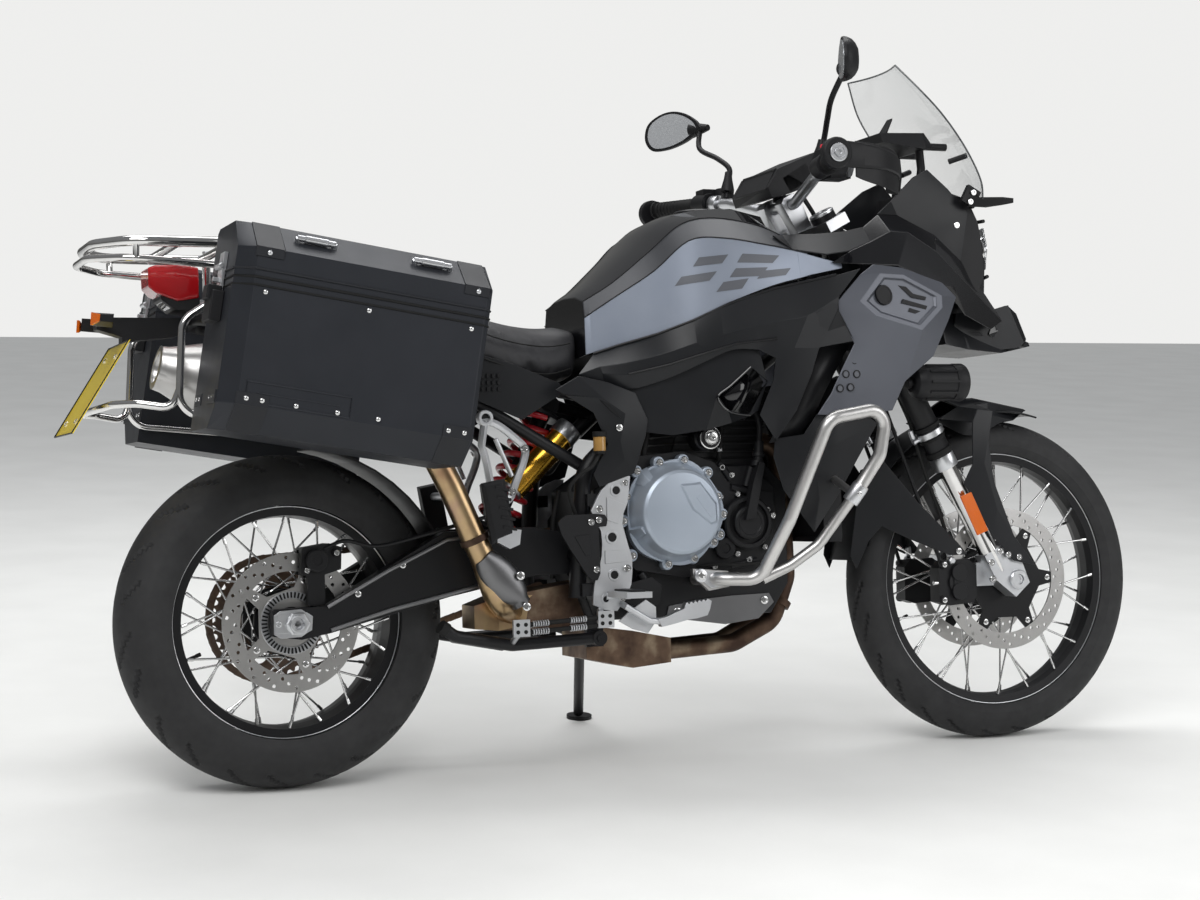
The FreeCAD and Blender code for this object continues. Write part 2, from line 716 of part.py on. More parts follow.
def chain():
    """Both runs of the chain and the stretch round the rear sprocket."""
    reach = float(S.sprocket) + 7.5
    y = float(S.chain_side)
    rise, climb = radians(3.5), radians(17)
    hub = point(0, y, S.rear_tyre)
    top = hub + point(-reach * sin(rise), 0, reach * cos(rise))
    low = hub + point(reach * sin(climb), 0, -reach * cos(climb))
    front = 604.0
    start = point(front, y, top.z + (front - top.x) * tan(rise))
    end = point(front, y, low.z + (front - low.x) * tan(climb))
    path = Part.Wire([
        Part.LineSegment(start, top).toShape(),
        Part.Arc(top, hub + point(-reach, 0, 0), low).toShape(),
        Part.LineSegment(low, end).toShape(),
    ])
    ring = Part.Wire(Part.Circle(start, top - start, 6).toShape())
    return solid("chain_run", path.makePipeShell([ring], True, True))


def rear_end():
    arms = [plate("arm_%d" % side, (
        (-45, 298), (10, 290), (66, 300), (306, 360), (480, 394), (600, 398), (600, 465),
        (480, 490), (295, 485), (153, 406), (60, 352), (-45, 348)),
        side * (S.arm_side - 15), side * (S.arm_side + 15)) for side in (-1, 1)]
    bridge = block("arm_bridge", (430, 500), (-110, 110), (402, 465))
    horn = plate("arm_horn", ((432, 460), (480, 460), (440, 572), (418, 572)), -14, 14)
    whole = fused("arm_solid", *arms, bridge, horn)
    bores = [across("arm_bore_%d" % int(float(z)), x, z, -150.0, 150.0, S.axle + S.seat_gap)
             for x, z in ((0.0, S.rear_tyre), (S.pivot_ahead, S.pivot_up))]
    node("swing_arm", cut("arm_drilled", whole, fused("arm_bores", *bores)))
    body = rod("shock_body", (456, 0, 585), (622, 0, 694), 32.0)
    stem = rod("shock_stem", (441.5, 0, 575.5), (699.8, 0, 745), 12.0)
    can = rod("shock_can", (520, -56.3, 627), (600, -56.3, 679.6), 24.0)
    node("rear_shock", fused("shock_solid", body, stem), can)
    node("drive_chain", chain())
    jaw = plate("rear_caliper_jaw", (
        (14, 412), (44, 406), (92, 420), (94, 462), (70, 470), (16, 462)), -114, -64)
    slot = block("rear_caliper_slot", (0, 110), (-92, -76), (380, 459))
    foot = block("rear_caliper_foot", (26, 60), (-114, -99), (S.rear_tyre + 31.6, 420))
    piston = rod("rear_caliper_piston", (44, -112, 438), (44, -124, 438), 20.0)
    node("rear_caliper", fused("rear_caliper_solid", cut("rear_caliper_split", jaw, slot), foot, piston))
    reach = float(S.rear_tyre) + 13
    skin = plate("hugger_skin", ring_part(REAR_HUB, reach, reach + 4, 22, 80), -72, 72)
    tongue = block("hugger_tongue", (306, 429.7), (-30, 30), (438, 452))
    node("rear_hugger", fused("hugger_solid", skin, tongue))


def case_point(along, up, side):
    """A point of the side case, by its tilted length and height axes."""
    tilt = radians(float(S.case_tilt))
    return (
        -178 + float(along) * cos(tilt) + float(up) * sin(tilt),
        float(side),
        944 - float(along) * sin(tilt) + float(up) * cos(tilt),
    )


def case_form(name, profile, stations):
    """A hull of the case along its length: the outer corners of each station set in."""
    sections = []
    for along, set_in in stations:
        sections.append([case_point(along, up, side + set_in * outside)
                         for up, side, outside in profile])
    return hull(name, sections)


def luggage():
    inner = -float(S.case_in)
    outer = inner - float(S.case_depth)
    end = float(S.case_long)
    tall = float(S.case_tall)
    wall = float(S.case_wall)
    lid = float(S.lid_tall)
    outside = case_form("case_outside", (
        (-tall, inner, 0), (-1, inner, 0), (-1, outer, 1), (-tall + 45, outer, 1),
        (-tall, outer + 45, 1)), ((0, 34), (30, 0), (end - 12, 0), (end, 12)))
    inside = case_form("case_inside", (
        (-tall + wall, inner - wall, 0), (5, inner - wall, 0), (5, outer + wall, 1),
        (-tall + 46 + wall, outer + wall, 1), (-tall + wall, outer + 46 + wall, 1)),
        ((wall, 34), (31, 0), (end - 13, 0), (end - wall, 12)))
    case = cut("case_shell", outside, inside)
    top = case_form("lid_outside", (
        (0, inner, 0), (lid - 8, inner, 0), (lid, inner - 12, 0), (lid, outer + 70, 0.3),
        (50, outer, 1), (0, outer, 1)), ((0, 34), (30, 0), (end - 12, 0), (end, 12)))
    hollow = case_form("lid_inside", (
        (-5, inner - wall, 0), (lid - 8 - wall, inner - wall, 0), (lid - wall, inner - 12 - wall, 0),
        (lid - wall, outer + 70 + wall, 0.3), (50 - wall, outer + wall, 1), (-5, outer + wall, 1)),
        ((wall, 34), (31, 0), (end - 13, 0), (end - wall, 12)))
    barrel = rod("lid_barrel", case_point(end + 4, 0, inner - 38), case_point(end + 4, 0, outer + 40), 3.6)
    leaf = hull("lid_leaf", [[case_point(a, u, s) for a, u in (
        (end - 1, 1), (end + 3.5, 1), (end + 3.5, 12), (end - 1, 16))]
        for s in (inner - 40, outer + 42)])
    cover = fused("lid_solid", cut("lid_shell", top, hollow), barrel, leaf)
    node("pannier_cases", case, mirrored(case))
    node("pannier_lid_right", cover)
    node("pannier_lid_left", mirrored(cover))
    tubes = []
    for side in (-1, 1):
        y = side * (float(S.case_in) - float(S.carrier_tube) - float(S.seat_gap))
        tubes.append(tube("carrier_loop_%d" % side, (
            (250, y, 700), (250, y, 850), (-160, y, 925), (-230, y, 880), (-240, y, 712),
            (0, y, 690), (200, y, 660)), S.carrier_tube, 40))
        tubes.append(rod("carrier_stay_high_%d" % side, (200, y, 859.1),
                         (200, side * 133.5, 833.4), 6.0))
        tubes.append(rod("carrier_stay_low_%d" % side, (250, y, 800), (250, side * 136.3, 792.8), 6.0))
    y = float(S.case_in) - float(S.carrier_tube) - float(S.seat_gap)
    tubes.append(tube("carrier_brace", (
        (-236, -y, 760), (-250, -y + 4, 722), (-310, -232, 732), (-345, -190, 732),
        (-345, 190, 732), (-310, 232, 732), (-250, y - 4, 722), (-236, y, 760)), S.carrier_tube, 40))
    node("pannier_carriers", fused("carriers_solid", *tubes))
    rack = S.rack_up
    rims = [tube("rack_rim_%d" % i, route, radius, 60) for i, (route, radius) in enumerate((
        (((-100, -150, rack), (-300, -150, rack), (-355, -70, rack), (-355, 70, rack),
          (-300, 150, rack), (-100, 150, rack)), 10.0),
        (((-120, -142, rack - 42), (-310, -142, rack - 30), (-368, -66, rack - 26),
          (-368, 66, rack - 26), (-310, 142, rack - 30), (-120, 142, rack - 42)), 7.0)))]
    bars = [rod("rack_bar_%d" % x, (x, -150, rack), (x, 150, rack), 8.0) for x in (-110, -210)]
    legs = [rod("rack_leg_%d" % side, (-110, side * 96, 903.6), (-110, side * 96, rack), 8.0)
            for side in (-1, 1)]
    for side in (-1, 1):
        for x, low in ((-128, 42), (-290, 32)):
            legs.append(rod("rack_tie_%d_%d" % (-x, side), (x, side * 142, rack - low),
                            (x, side * 149, rack), 6.0))
    node("luggage_rack", fused("rack_solid", *rims, *bars, *legs))


# Along X: side and height of the tank's lower edge, panel edge, band edge, crest, and
# the heights of the middle and of the floor
TANK_FLOOR = 880.0
TANK = (
    (604, (115, 829), (112, 905), (104, 938), (60, 950), 953, 826),
    (660, (140, 847), (138, 944), (128, 975), (70, 988), 992, 842),
    (732, (178, 868), (172, 994), (150, 1036), (82, 1052), 1056, 862),
    (795, (218, 893), (205, 1052), (168, 1090), (90, 1108), 1113, TANK_FLOOR),
    (867, (234, 926), (220, 1057), (172, 1104), (95, 1130), 1136, TANK_FLOOR),
    (960, (236, 960), (224, 1045), (172, 1092), (88, 1132), 1138, 925),
    (1030, (228, 978), (218, 1035), (165, 1068), (72, 1104), 1110, 955),
    (1056, (222, 984), (214, 1031), (158, 1056), (64, 1078), 1084, 968),
)
TANK_FOOT_SIDE = 0.72


def tank_under(x, y):
    """The height of the tank's sloping underside beside the given side distance."""
    for near, far in zip(TANK, TANK[1:]):
        if near[0] <= x <= far[0]:
            share = (x - near[0]) / (far[0] - near[0])
            side = near[1][0] + (far[1][0] - near[1][0]) * share
            edge = near[1][1] + (far[1][1] - near[1][1]) * share
            floor = near[6] + (far[6] - near[6]) * share
            return edge - (side - abs(y)) * (edge - floor) / (side * (1 - TANK_FOOT_SIDE))
    return TANK[-1][1][1]


def tank():
    sections = []
    for x, low, panel, band, crest, top, floor in TANK:
        ring = [(x, -low[0] * TANK_FOOT_SIDE, floor)]
        ring += [(x, -side, z) for side, z in (low, panel, band, crest)]
        ring += [(x, 0, top)]
        ring += [(x, side, z) for side, z in (crest, band, panel, low)]
        ring += [(x, low[0] * TANK_FOOT_SIDE, floor)]
        sections.append(ring)
    wings = [hull("tank_wing_%d" % side, (
        [(1040, side * y, z) for y, z in ((200, 990), (222, 982), (214, 1030), (190, 1034))],
        [(1140, side * y, z) for y, z in ((196, 1006), (203, 1003), (202, 1013), (196, 1015))]))
        for side in (-1, 1)]
    node("fuel_tank", fused("tank_solid", hull("tank_shell", sections), *wings))


COWL = {
    "peak": (1228, -256, 918), "top": (1212, -230, 1008), "rear": (1110.6, -245, 925.6),
    "notch": (1137.6, -248, 852), "low": (1194, -250, 813), "step": (1294, -238, 853),
    "nose": (1392, -192, 947), "brow": (1278, -214, 998),
}
PANEL_DEPTH = 10.0


def side_panels():
    columns = [((560, -150, 802), (556, -153, 791), (546, -146, 780))]
    middles = {660: (806, -184), 732: (822, -208), 795: (842, -228), 867: (862, -246),
               960: (884, -256), 1030: (896, -258), 1056: (898, -258)}
    bottoms = {660: (757, -162), 732: (772, -186), 795: (786, -212), 867: (803, -234),
               960: (815, -246), 1030: (803, -250), 1056: (806, -250)}
    for x, low, _panel, _band, _crest, _top, _floor in TANK[1:]:
        side = -low[0] - 1
        edge = tank_under(x, side + PANEL_DEPTH) - 0.4
        columns.append(((x, side, edge), (x, middles[x][1], middles[x][0]),
                        (x, bottoms[x][1], bottoms[x][0])))
    columns.append(((1116, -234, 974), (1110, -246, 926), (1137, -246, 852)))
    upper = creased_strip("fairing_upper", columns, PANEL_DEPTH)
    drop = creased_strip("fairing_drop", (
        ((962, -246, 818), (957, -216, 676), (968, -207, 648)),
        ((1043, -250, 806), (992, -220, 667), (976, -208, 649))), PANEL_DEPTH)
    tip = creased_strip("fairing_tip", (((1116, -234, 974), (1110, -246, 926)),
                                        ((1192, -214, 1010), (1187, -216, 989))), PANEL_DEPTH)
    fairing = fused("fairing_solid", upper, drop, tip)
    shroud = plate("shroud", (
        (1024, 676), (1112, 672), (1112, 554), (1026, 482), (980, 507), (950, 636)), -205, -170.3)
    node("side_fairings", fairing, mirrored(fairing), shroud, mirrored(shroud))
    cowl = creased_fan("cowl_upper", COWL["peak"], [COWL[k] for k in (
        "top", "rear", "notch", "low", "step", "nose", "brow")], PANEL_DEPTH)
    skirt = creased_fan("cowl_lower", (1200, -236, 770), (
        COWL["notch"], (1046, -232, 690), (1227, -214, 709), (1277, -214, 777),
        (1338, -206, 849), COWL["step"], COWL["low"]), PANEL_DEPTH)
    shell = fused("cowl_solid", cowl, skirt)
    node("cowls", shell, mirrored(shell))
    cover = creased_fan("side_cover", (640, -200, 700), (
        (525, -180, 751), (548, -184, 779), (665, -190, 752), (704, -190, 683), (688, -190, 618),
        (603, -186, 561), (591, -184, 584), (636, -190, 655), (571, -186, 698)), 8.0)
    peg = rod("side_cover_peg", (650, -188, 662), (650, -157.2, 662), 7.0)
    lined = fused("side_cover_solid", cover, peg)
    node("side_covers", lined, mirrored(lined))


def seat():
    stations = (
        (-85, 125, 902, 985), (60, 140, 877, 983), (200, 150, 852, 968), (300, 154, 832, 936),
        (360, 152, 820, 908), (440, 140, 802, 886), (520, 116, 796, 880), (596, 84, 806, 892))
    sections = []
    for x, half, low, top in stations:
        sections.append([(x, side * half * share, z) for side, share, z in (
            (-1, 0.94, low), (1, 0.94, low), (1, 1, low + 16), (1, 1, top - 34), (1, 0.9, top - 12),
            (1, 0.62, top), (-1, 0.62, top), (-1, 0.9, top - 12), (-1, 1, top - 34), (-1, 1, low + 16))])
    node("seat", hull("seat_cushion", sections))


NOSE_BACK = 1385.0
# height, place of the middle, half width, how far the sides sit back
SCREEN = ((1160, 1560, 138, 36), (1204, 1547, 156, 38), (1270, 1510, 162, 40),
          (1336, 1460, 158, 38), (1390, 1411, 142, 32), (1452, 1357, 104, 20))
SCREEN_WALL = 4.0


def screen_back(side, z):
    """The place along X of the screen's back face."""
    for (z0, x0, half0, back0), (z1, x1, half1, back1) in zip(SCREEN, SCREEN[1:]):
        if z0 <= z <= z1:
            share = (z - z0) / (z1 - z0)
            half = half0 + (half1 - half0) * share
            back = back0 + (back1 - back0) * share
            return x0 + (x1 - x0) * share - back * (side / half) ** 2 - SCREEN_WALL
    return SCREEN[0][1]


def nose():
    beak = hull("beak_blade", (
        [(1440, y, z) for y, z in ((-104, 856), (104, 856), (76, 949.7), (-76, 949.7))],
        [(1500, y, z) for y, z in ((-100, 845), (100, 845), (50, 949.7), (-50, 949.7))],
        [(1590, y, z) for y, z in ((-88, 839), (88, 839), (36, 918), (-36, 918))],
        [(1655, y, z) for y, z in ((-52, 850), (52, 850), (22, 888), (-22, 888))],
        [(1712, y, z) for y, z in ((-12, 860), (12, 860), (8, 868), (-8, 868))]))
    fins = [plate("beak_fin_%d" % side, (
        (1482, 925), (1470, 870), (1589, 846), (1640, 852), (1652, 862), (1614, 944), (1566, 931)),
        side * 68, side * 82) for side in (-1, 1)]
    node("beak", fused("beak_solid", beak, *fins))
    half_outline = ((NOSE_BACK, 985), (1439, 950), (1512, 950), (1535, 1000), (1534, 1060),
                    (1524, 1120), (1500, 1168), (1440, 1186), (1390, 1150), (NOSE_BACK, 1110))
    full_outline = ((NOSE_BACK, 975), (1425, 950), (1525, 950), (1553, 1000), (1553, 1060),
                    (1543, 1120), (1520, 1155), (1455, 1192), (1385.5, 1185), (NOSE_BACK, 1120))
    layers = ((-112, half_outline), (-70, full_outline), (70, full_outline), (112, half_outline))
    node("headlight", hull("headlight_solid", [
        [(x, y, z) for x, z in outline] for y, outline in layers]))
    hood = hull("hood_solid", (
        [(1441, y, z) for y, z in ((-70, 1284), (70, 1284), (62, 1298), (-62, 1298))],
        [(1415, y, z) for y, z in ((-88, 1278), (88, 1278), (80, 1314), (-80, 1314))],
        [(1308, y, z) for y, z in ((-88, 1290), (88, 1290), (80, 1310), (-80, 1310))]))
    legs = [tube("hood_leg_%d" % side, (
        (1420, side * 50, 1284), (1424, side * 50, 1240), (1416, side * 50, 1190.8)), 9.0, 30)
        for side in (-1, 1)]
    stays = [rod("screen_stay_%d" % side, (1420, side * 60, 1288),
                 (screen_back(60, 1296) - 0.9, side * 60, 1288), 8.0) for side in (-1, 1)]
    tab = hull("hood_tab", (
        [(1350, y, z) for y, z in ((-20, 1300), (20, 1300), (20, 1310), (-20, 1310))],
        [(1378, y, z) for y, z in ((-12, 1352), (12, 1352), (12, 1356), (-12, 1356))]))
    node("instrument_hood", fused("hood_and_stays", hood, tab, *legs, *stays))
    steps = [i / 4 for i in range(-4, 5)]
    node("windscreen", hull("screen_sheet", [
        [(x - back * t * t, half * t, z) for t in steps]
        + [(x - SCREEN_WALL - back * t * t, half * t, z) for t in reversed(steps)]
        for z, x, half, back in SCREEN]))


def front_lights():
    lamps = []
    a, b, c = (1200, -236, 770), (1277, -214, 777), (1338, -206, 849)
    seat_x, seat_z = 1285, 803
    wall = facet_side(a, b, c, seat_x, seat_z) + PANEL_DEPTH
    for side in (-1, 1):
        y = side * 186
        lamp = lathe("fog_%d" % side, (1305, y, 769), (1430, y, 769), (
            (0, 0), (0, 20), (6, 30), (22, 36), (112, 37), (120, 34), (120, 30), (116, 29), (116, 0)))
        stem = tube("fog_stem_%d" % side, (
            (1325, y, 792), (seat_x, side * 184, seat_z),
            (seat_x, side * (-wall - 2.4), seat_z)), 6.0, 10)
        lamps.append(fused("fog_lamp_%d" % side, lamp, stem))
    node("fog_lamps", *lamps)


def crash_bars():
    main = tube("crash_main", (
        (826, -124.4, 377), (850, -200, 376), (925, -222, 374), (965, -280, 491),
        (1033, -330, 690), (1165, -330, 712), (1150, -320, 616), (1107, -290, 537)),
        S.bar_tube, 40)
    thin = tube("crash_thin", (
        (1112, -292, 545), (1040, -258, 440), (985, -240, 400), (930, -223, 374)),
        S.bar_thin, 60)
    stay = rod("crash_stay", (1107, -285, 540), (1104, -208.5, 572), 8.0)
    foot = plate("crash_foot", (
        (796, 398), (823, 396), (874, 391), (876, 360), (831, 353), (797, 383)), -182, -170)
    sleeve = rod("crash_sleeve", (1098, -286, 524), (1120, -297, 558), 16.0)
    right = fused("crash_right", main, thin, stay, foot, sleeve)
    node("crash_bars", right, mirrored(right))


def tail():
    node("tail_light", hull("tail_lamp", (
        [(-155, y, z) for y, z in ((-60, 912.3), (60, 912.3), (60, 1000), (-60, 1000))],
        [(-195, y, z) for y, z in ((-58, 916), (58, 916), (58, 1005), (-58, 1005))],
        [(-250, y, z) for y, z in ((-40, 950), (40, 950), (40, 1003), (-40, 1003))])))
    arm = plate("holder_arm", (
        (-172.4, 905), (-344, 905), (-344, 882), (-296.5, 868), (-296.5, 856.2), (-378.4, 724.5),
        (-373.3, 721.3), (-284, 860), (-200, 868), (-172.4, 878)), -20, 20)
    lamps = []
    for side in (-1, 1):
        lamps.append(rod("indicator_stalk_%d" % side, (-330, side * 14, 893), (-336, side * 70, 895), 6.0))
        lamps.append(hull("indicator_%d" % side, (
            [(x, side * 62, z) for x, z in ((-360, 885), (-322, 882), (-318, 908), (-358, 910))],
            [(x, side * 108, z) for x, z in ((-352, 890), (-328, 888), (-326, 902), (-350, 903))])))
    node("plate_holder", fused("holder_solid", arm, *lamps))
    node("number_plate", hull("plate_sheet", (
        [(-297, y, 856) for y in (-110, 110)] + [(-299, y, 856) for y in (110, -110)],
        [(-404, y, 684) for y in (-110, 110)] + [(-406, y, 684) for y in (110, -110)])))


BAR_AHEAD = -1.2
BAR_RISE = 71.6


def bar_point(up, forward, side):
    """A point by its offset from the middle of the handlebar, square to the steering axis."""
    return steer_point(S.upper_clamp + BAR_RISE + up, BAR_AHEAD + forward, side)


def from_bar(x, side, z):
    """A point drawn beside the handlebar, that follows the upper clamp."""
    middle = bar_point(0, 0, 0)
    return (middle[0] + x - 1104, side, middle[2] + z - 1154)


def clamps_and_fork():
    clamps = []
    for along in (S.lower_clamp, S.upper_clamp):
        low, top = [[steer_point(along + rise, a, s) for a, s in (
            (-30, -35), (10, -135), (62, -135), (62, 135), (10, 135), (-30, 35))]
            for rise in (-12, 12)]
        clamps.append(hull("clamp_%d" % int(float(along)), (low, top)))
    stem = rod("stem_bar", steer_point(S.lower_clamp, 0, 0), steer_point(S.upper_clamp, 0, 0),
               S.stem)
    holes = [rod("clamp_hole_%d" % side, steer_point(S.lower_clamp - 60, S.fork_ahead, side * S.fork_side),
                 steer_point(S.upper_clamp + 60, S.fork_ahead, side * S.fork_side),
                 S.fork_tube + S.seat_gap) for side in (-1, 1)]
    risers = []
    for side in (-1, 1):
        risers.append(hull("bar_riser_%d" % side, [[bar_point(up, forward, side * (42 + w))
                           for up, forward in ((-BAR_RISE, -18), (-BAR_RISE, 18), (12, 22),
                                               (20, 12), (20, -12), (12, -22))]
                           for w in (-17, 17)]))
    saddle = rod("bar_seat", bar_point(0, 0, -80), bar_point(0, 0, 80), 12 + S.seat_gap)
    node("triple_clamps", cut("clamps_bored", fused("clamps_solid", *clamps, stem, *risers),
                              fused("clamp_holes", saddle, *holes)))
    outers = []
    lowers = []
    ring = S.lower_clamp - 299
    for side in (-1, 1):
        y = side * float(S.fork_side)
        outers.append(rod("fork_outer_%d" % side, steer_point(ring, S.fork_ahead, y),
                          steer_point(S.upper_clamp + 26, S.fork_ahead, y), S.fork_tube))
        leg = rod("fork_inner_%d" % side, steer_point(400, S.fork_ahead, y),
                  steer_point(ring - 0.5, S.fork_ahead, y), S.stanchion)
        collar = rod("fork_collar_%d" % side, steer_point(ring - 30, S.fork_ahead, y),
                     steer_point(ring - 0.5, S.fork_ahead, y), 27.0)
        lug = hull("fork_lug_%d" % side, [[steer_point(a, u, y + w) for a, u in (
            (335, 30), (345, 75), (390, 80), (450, 50), (450, 5), (390, 5))]
            for w in (-21, 21)])
        ear = block("caliper_ear_%d" % side, (1508.3, 1552), (side * 80, side * 90), (335, 385))
        joined = fused("fork_leg_%d" % side, leg, collar, lug, ear)
        lowers.append(cut("fork_leg_bored_%d" % side, joined, across(
            "lug_bore_%d" % side, S.wheelbase, S.front_tyre, y - 40, y + 40, S.axle + S.seat_gap)))
    node("fork_tubes", *outers)
    node("fork_legs", *lowers)


def bar_line():
    """The handlebar's route, from the right end to the left end."""
    half = float(S.bar_half)
    corners = ((1005, half, 1203), (1060, half - 130, 1200), (1085, 200, 1190), (1104, 70, 1154))
    right = [from_bar(x, -side, z) for x, side, z in corners]
    left = [from_bar(x, side, z) for x, side, z in reversed(corners)]
    return right + left


def bar_and_guards():
    line = bar_line()
    run = tube("bar_tube_run", line, 12.0, 60)
    levers = []
    ends = []
    guards = []
    for i, side in enumerate((-1, 1)):
        route = line if side < 0 else list(reversed(line))
        tip, inner, clip = (point(*p) for p in route[:3])
        outward = (tip - inner).normalize()
        start = inner + (tip - inner) * 0.12
        sleeve = rod("grip_sleeve_%d" % side, tuple(start), tuple(tip), 16.5)
        core = rod("grip_core_%d" % side, tuple(inner), tuple(tip + outward * 12), 12.0 + S.seat_gap)
        ends.append(cut("grip_%d" % side, sleeve, core))
        along = (clip - inner).normalize()
        perch = inner + along * 40
        ring = rod("perch_%d" % side, tuple(perch), tuple(perch + along * 26), 19.0)
        hole = rod("perch_hole_%d" % side, tuple(perch - along * 9), tuple(perch + along * 40),
                   12.0 + S.seat_gap)
        blade = tube("lever_%d" % side, (
            tuple(perch + along * 13 + Vector(15, 0, 0)), from_bar(1122, side * 268, 1186),
            from_bar(1110, side * 300, 1182), from_bar(1058, side * 408, 1186)), 6.0, 14)
        levers.append(cut("lever_bored_%d" % side, fused("lever_solid_%d" % side, ring, blade), hole))
        shell = hull("hand_guard_%d" % side, [[from_bar(x, side * y, z) for x, y, z in section]
                                              for section in (
            ((972, 446, 1150), (972, 446, 1224), (980, 456, 1222), (980, 456, 1152)),
            ((1050, 442, 1132), (1046, 440, 1226), (1052, 452, 1226), (1056, 454, 1132)),
            ((1120, 428, 1126), (1114, 424, 1220), (1122, 436, 1220), (1128, 440, 1126)),
            ((1190, 350, 1136), (1186, 345, 1215), (1195, 350, 1215), (1199, 355, 1136)),
            ((1214, 262, 1158), (1212, 260, 1200), (1221, 260, 1200), (1223, 262, 1158)))])
        bolt = rod("guard_bolt_%d" % side, tuple(tip + outward * 0.5), tuple(tip + outward * 24), 9.0)
        guards.append(fused("guard_%d" % side, shell, bolt))
    node("handlebar", run, *levers)
    node("grips", *ends)
    node("hand_guards", *guards)


MIRROR_OUTLINE = ((0, -8), (40, -30), (110, -43), (158, -36), (174, -6), (160, 30), (108, 45),
                  (48, 34), (8, 14))


def mirror(side):
    """A stalk on the handlebar and a head whose glass faces back."""
    turn = radians(24)
    middle = (88, 2)

    def head_point(u, v, back, scale):
        u = middle[0] + (u - middle[0]) * scale
        v = middle[1] + (v - middle[1]) * scale
        return from_bar(1088 - u * sin(turn) - back * cos(turn),
                        side * (332 + u * cos(turn) - back * sin(turn)), 1384 + v)

    stalk = tube("mirror_stalk_%d" % side, (
        from_bar(1082, side * 215, 1204.5), from_bar(1096, side * 225, 1272),
        from_bar(1066, side * 315, 1318), from_bar(1060, side * 352, 1362)), 6.0, 25)
    boot = rod("mirror_boot_%d" % side, from_bar(1087, side * 219, 1228),
               from_bar(1093, side * 223, 1256), 13.0, 8.0)
    head = hull("mirror_head_%d" % side, [
        [head_point(u, v, back, scale) for u, v in MIRROR_OUTLINE]
        for back, scale in ((-18, 0.55), (-6, 0.86), (8, 1.0), (14, 0.98))])
    return fused("mirror_%d" % side, stalk, boot, head)


def steering():
    Reach.steered = True
    clamps_and_fork()
    bar_and_guards()
    node("mirrors", mirror(-1), mirror(1))
    box = hull("display_box", [[from_bar(x, y, z) for x, z in (
        (1042, 1162), (1084, 1172), (1127, 1189), (1170, 1245), (1150, 1263), (1058, 1223),
        (1034, 1184))] for y in (-88, 88)])
    post = rod("display_post", from_bar(1104, 0, 1166.3), from_bar(1104, 0, 1200), 14.0)
    node("display", fused("display_and_post", box, post))
    crown = plate("fender_crown", ring_part(FRONT_DRAWN, 368, 373, 74, 172), -58, 58)
    beak = hull("fender_beak", (
        [(1640, y, z) for y, z in ((-56, 712), (56, 712), (40, 720), (-40, 720))],
        [(1694, y, z) for y, z in ((-22, 712), (22, 712), (14, 717), (-14, 717))]))
    sides = []
    for side in (-1, 1):
        sides.append(plate("fender_skirt_%d" % side, ring_part(FRONT_DRAWN, 350, 373, 76, 168),
                           side * 56, side * 60))
        sides.append(plate("fork_guard_%d" % side, (
            (1489, 688), (1506, 716), (1545, 712), (1527, 649), (1536, 559), (1582, 442),
            (1635, 377), (1580, 389), (1526, 444), (1475, 540), (1466, 555), (1486, 597)),
            side * 124, side * 128))
        sides.append(hull("guard_bridge_%d" % side, (
            [(x, side * 57, z) for x, z in ((1496, 700), (1510, 728), (1560, 728), (1540, 704))],
            [(x, side * 127, z) for x, z in ((1490, 686), (1506, 712), (1544, 710), (1530, 670))])))
        sides.append(rod("fender_arm_%d" % side, (1408, side * 50, 668), (1400, side * 70.5, 662), 8.0))
    node("front_fender", fused("fender_solid", crown, beak, *sides))
    calipers = []
    for side in (-1, 1):
        body = plate("caliper_body_%d" % side, (
            (1415, 304), (1440, 296), (1500, 300), (1508, 318), (1508, 380), (1486, 395),
            (1430, 392), (1415, 376)), side * 54, side * 92)
        slot = block("caliper_slot_%d" % side, (1432, 1560), (side * 61, side * 77), (290, 410))
        bore = rod("caliper_cap_%d" % side, (1462, side * 90, 345), (1462, side * 97, 345), 24.0)
        hose = tube("brake_hose_%d" % side, (
            (1424, side * 86, 380), (1412, side * 88, 420), (1384, side * 70, 520),
            (1330, side * 72, 660), (1300, side * 74, 735)), 4.0, 60)
        calipers.append(fused("caliper_solid_%d" % side,
                              cut("caliper_%d" % side, body, slot), bore, hose))
    node("front_calipers", *calipers)
    Reach.steered = False


def stands():
    foot = PARK.inverse().multVec(point(
        S.stand_foot_ahead - S.origin_ahead, S.stand_foot_left - S.origin_left, 0))
    hinge = Vector(*STAND_AXIS).normalize()
    eye = point(*STAND_EYE)
    leg = rod("side_leg", eye, (foot.x - 6, foot.y - 12, foot.z + 14), 11.0)
    boss = rod("side_eye", eye - hinge * STAND_EYE_HALF, eye + hinge * STAND_EYE_HALF, 18.0)
    pad_foot = doc.addObject("Part::Cylinder", "side_pad")
    pad_foot.Radius = 28
    pad_foot.Height = 8
    pad_foot.Placement = Placement(drawn(*foot), Rotation(Vector(1, 0, 0), LEAN))
    bore = rod("side_bore", eye - hinge * 40, eye + hinge * 40, 6.0 + S.seat_gap)
    node("side_stand", cut("side_stand_bored", fused("side_stand_solid", leg, boss, pad_foot), bore))
    legs = [tube("centre_leg_%d" % side, (
        (588, side * 152, 267.6), (420, side * 152, 262), (300, side * 165, 285),
        (280, side * 172, 298)), 12.0, 40) for side in (-1, 1)]
    eyes = [across("centre_eye_%d" % side, 600, 268, side * 138, side * 166, 15.0)
            for side in (-1, 1)]
    cross = rod("centre_cross", (400, -150, 262), (400, 150, 262), 10.0)
    bore = across("centre_bore", 600, 268, -200.0, 200.0, 7.0 + S.seat_gap)
    node("centre_stand", cut("centre_stand_bored", fused(
        "centre_stand_solid", cross, *legs, *eyes), bore))


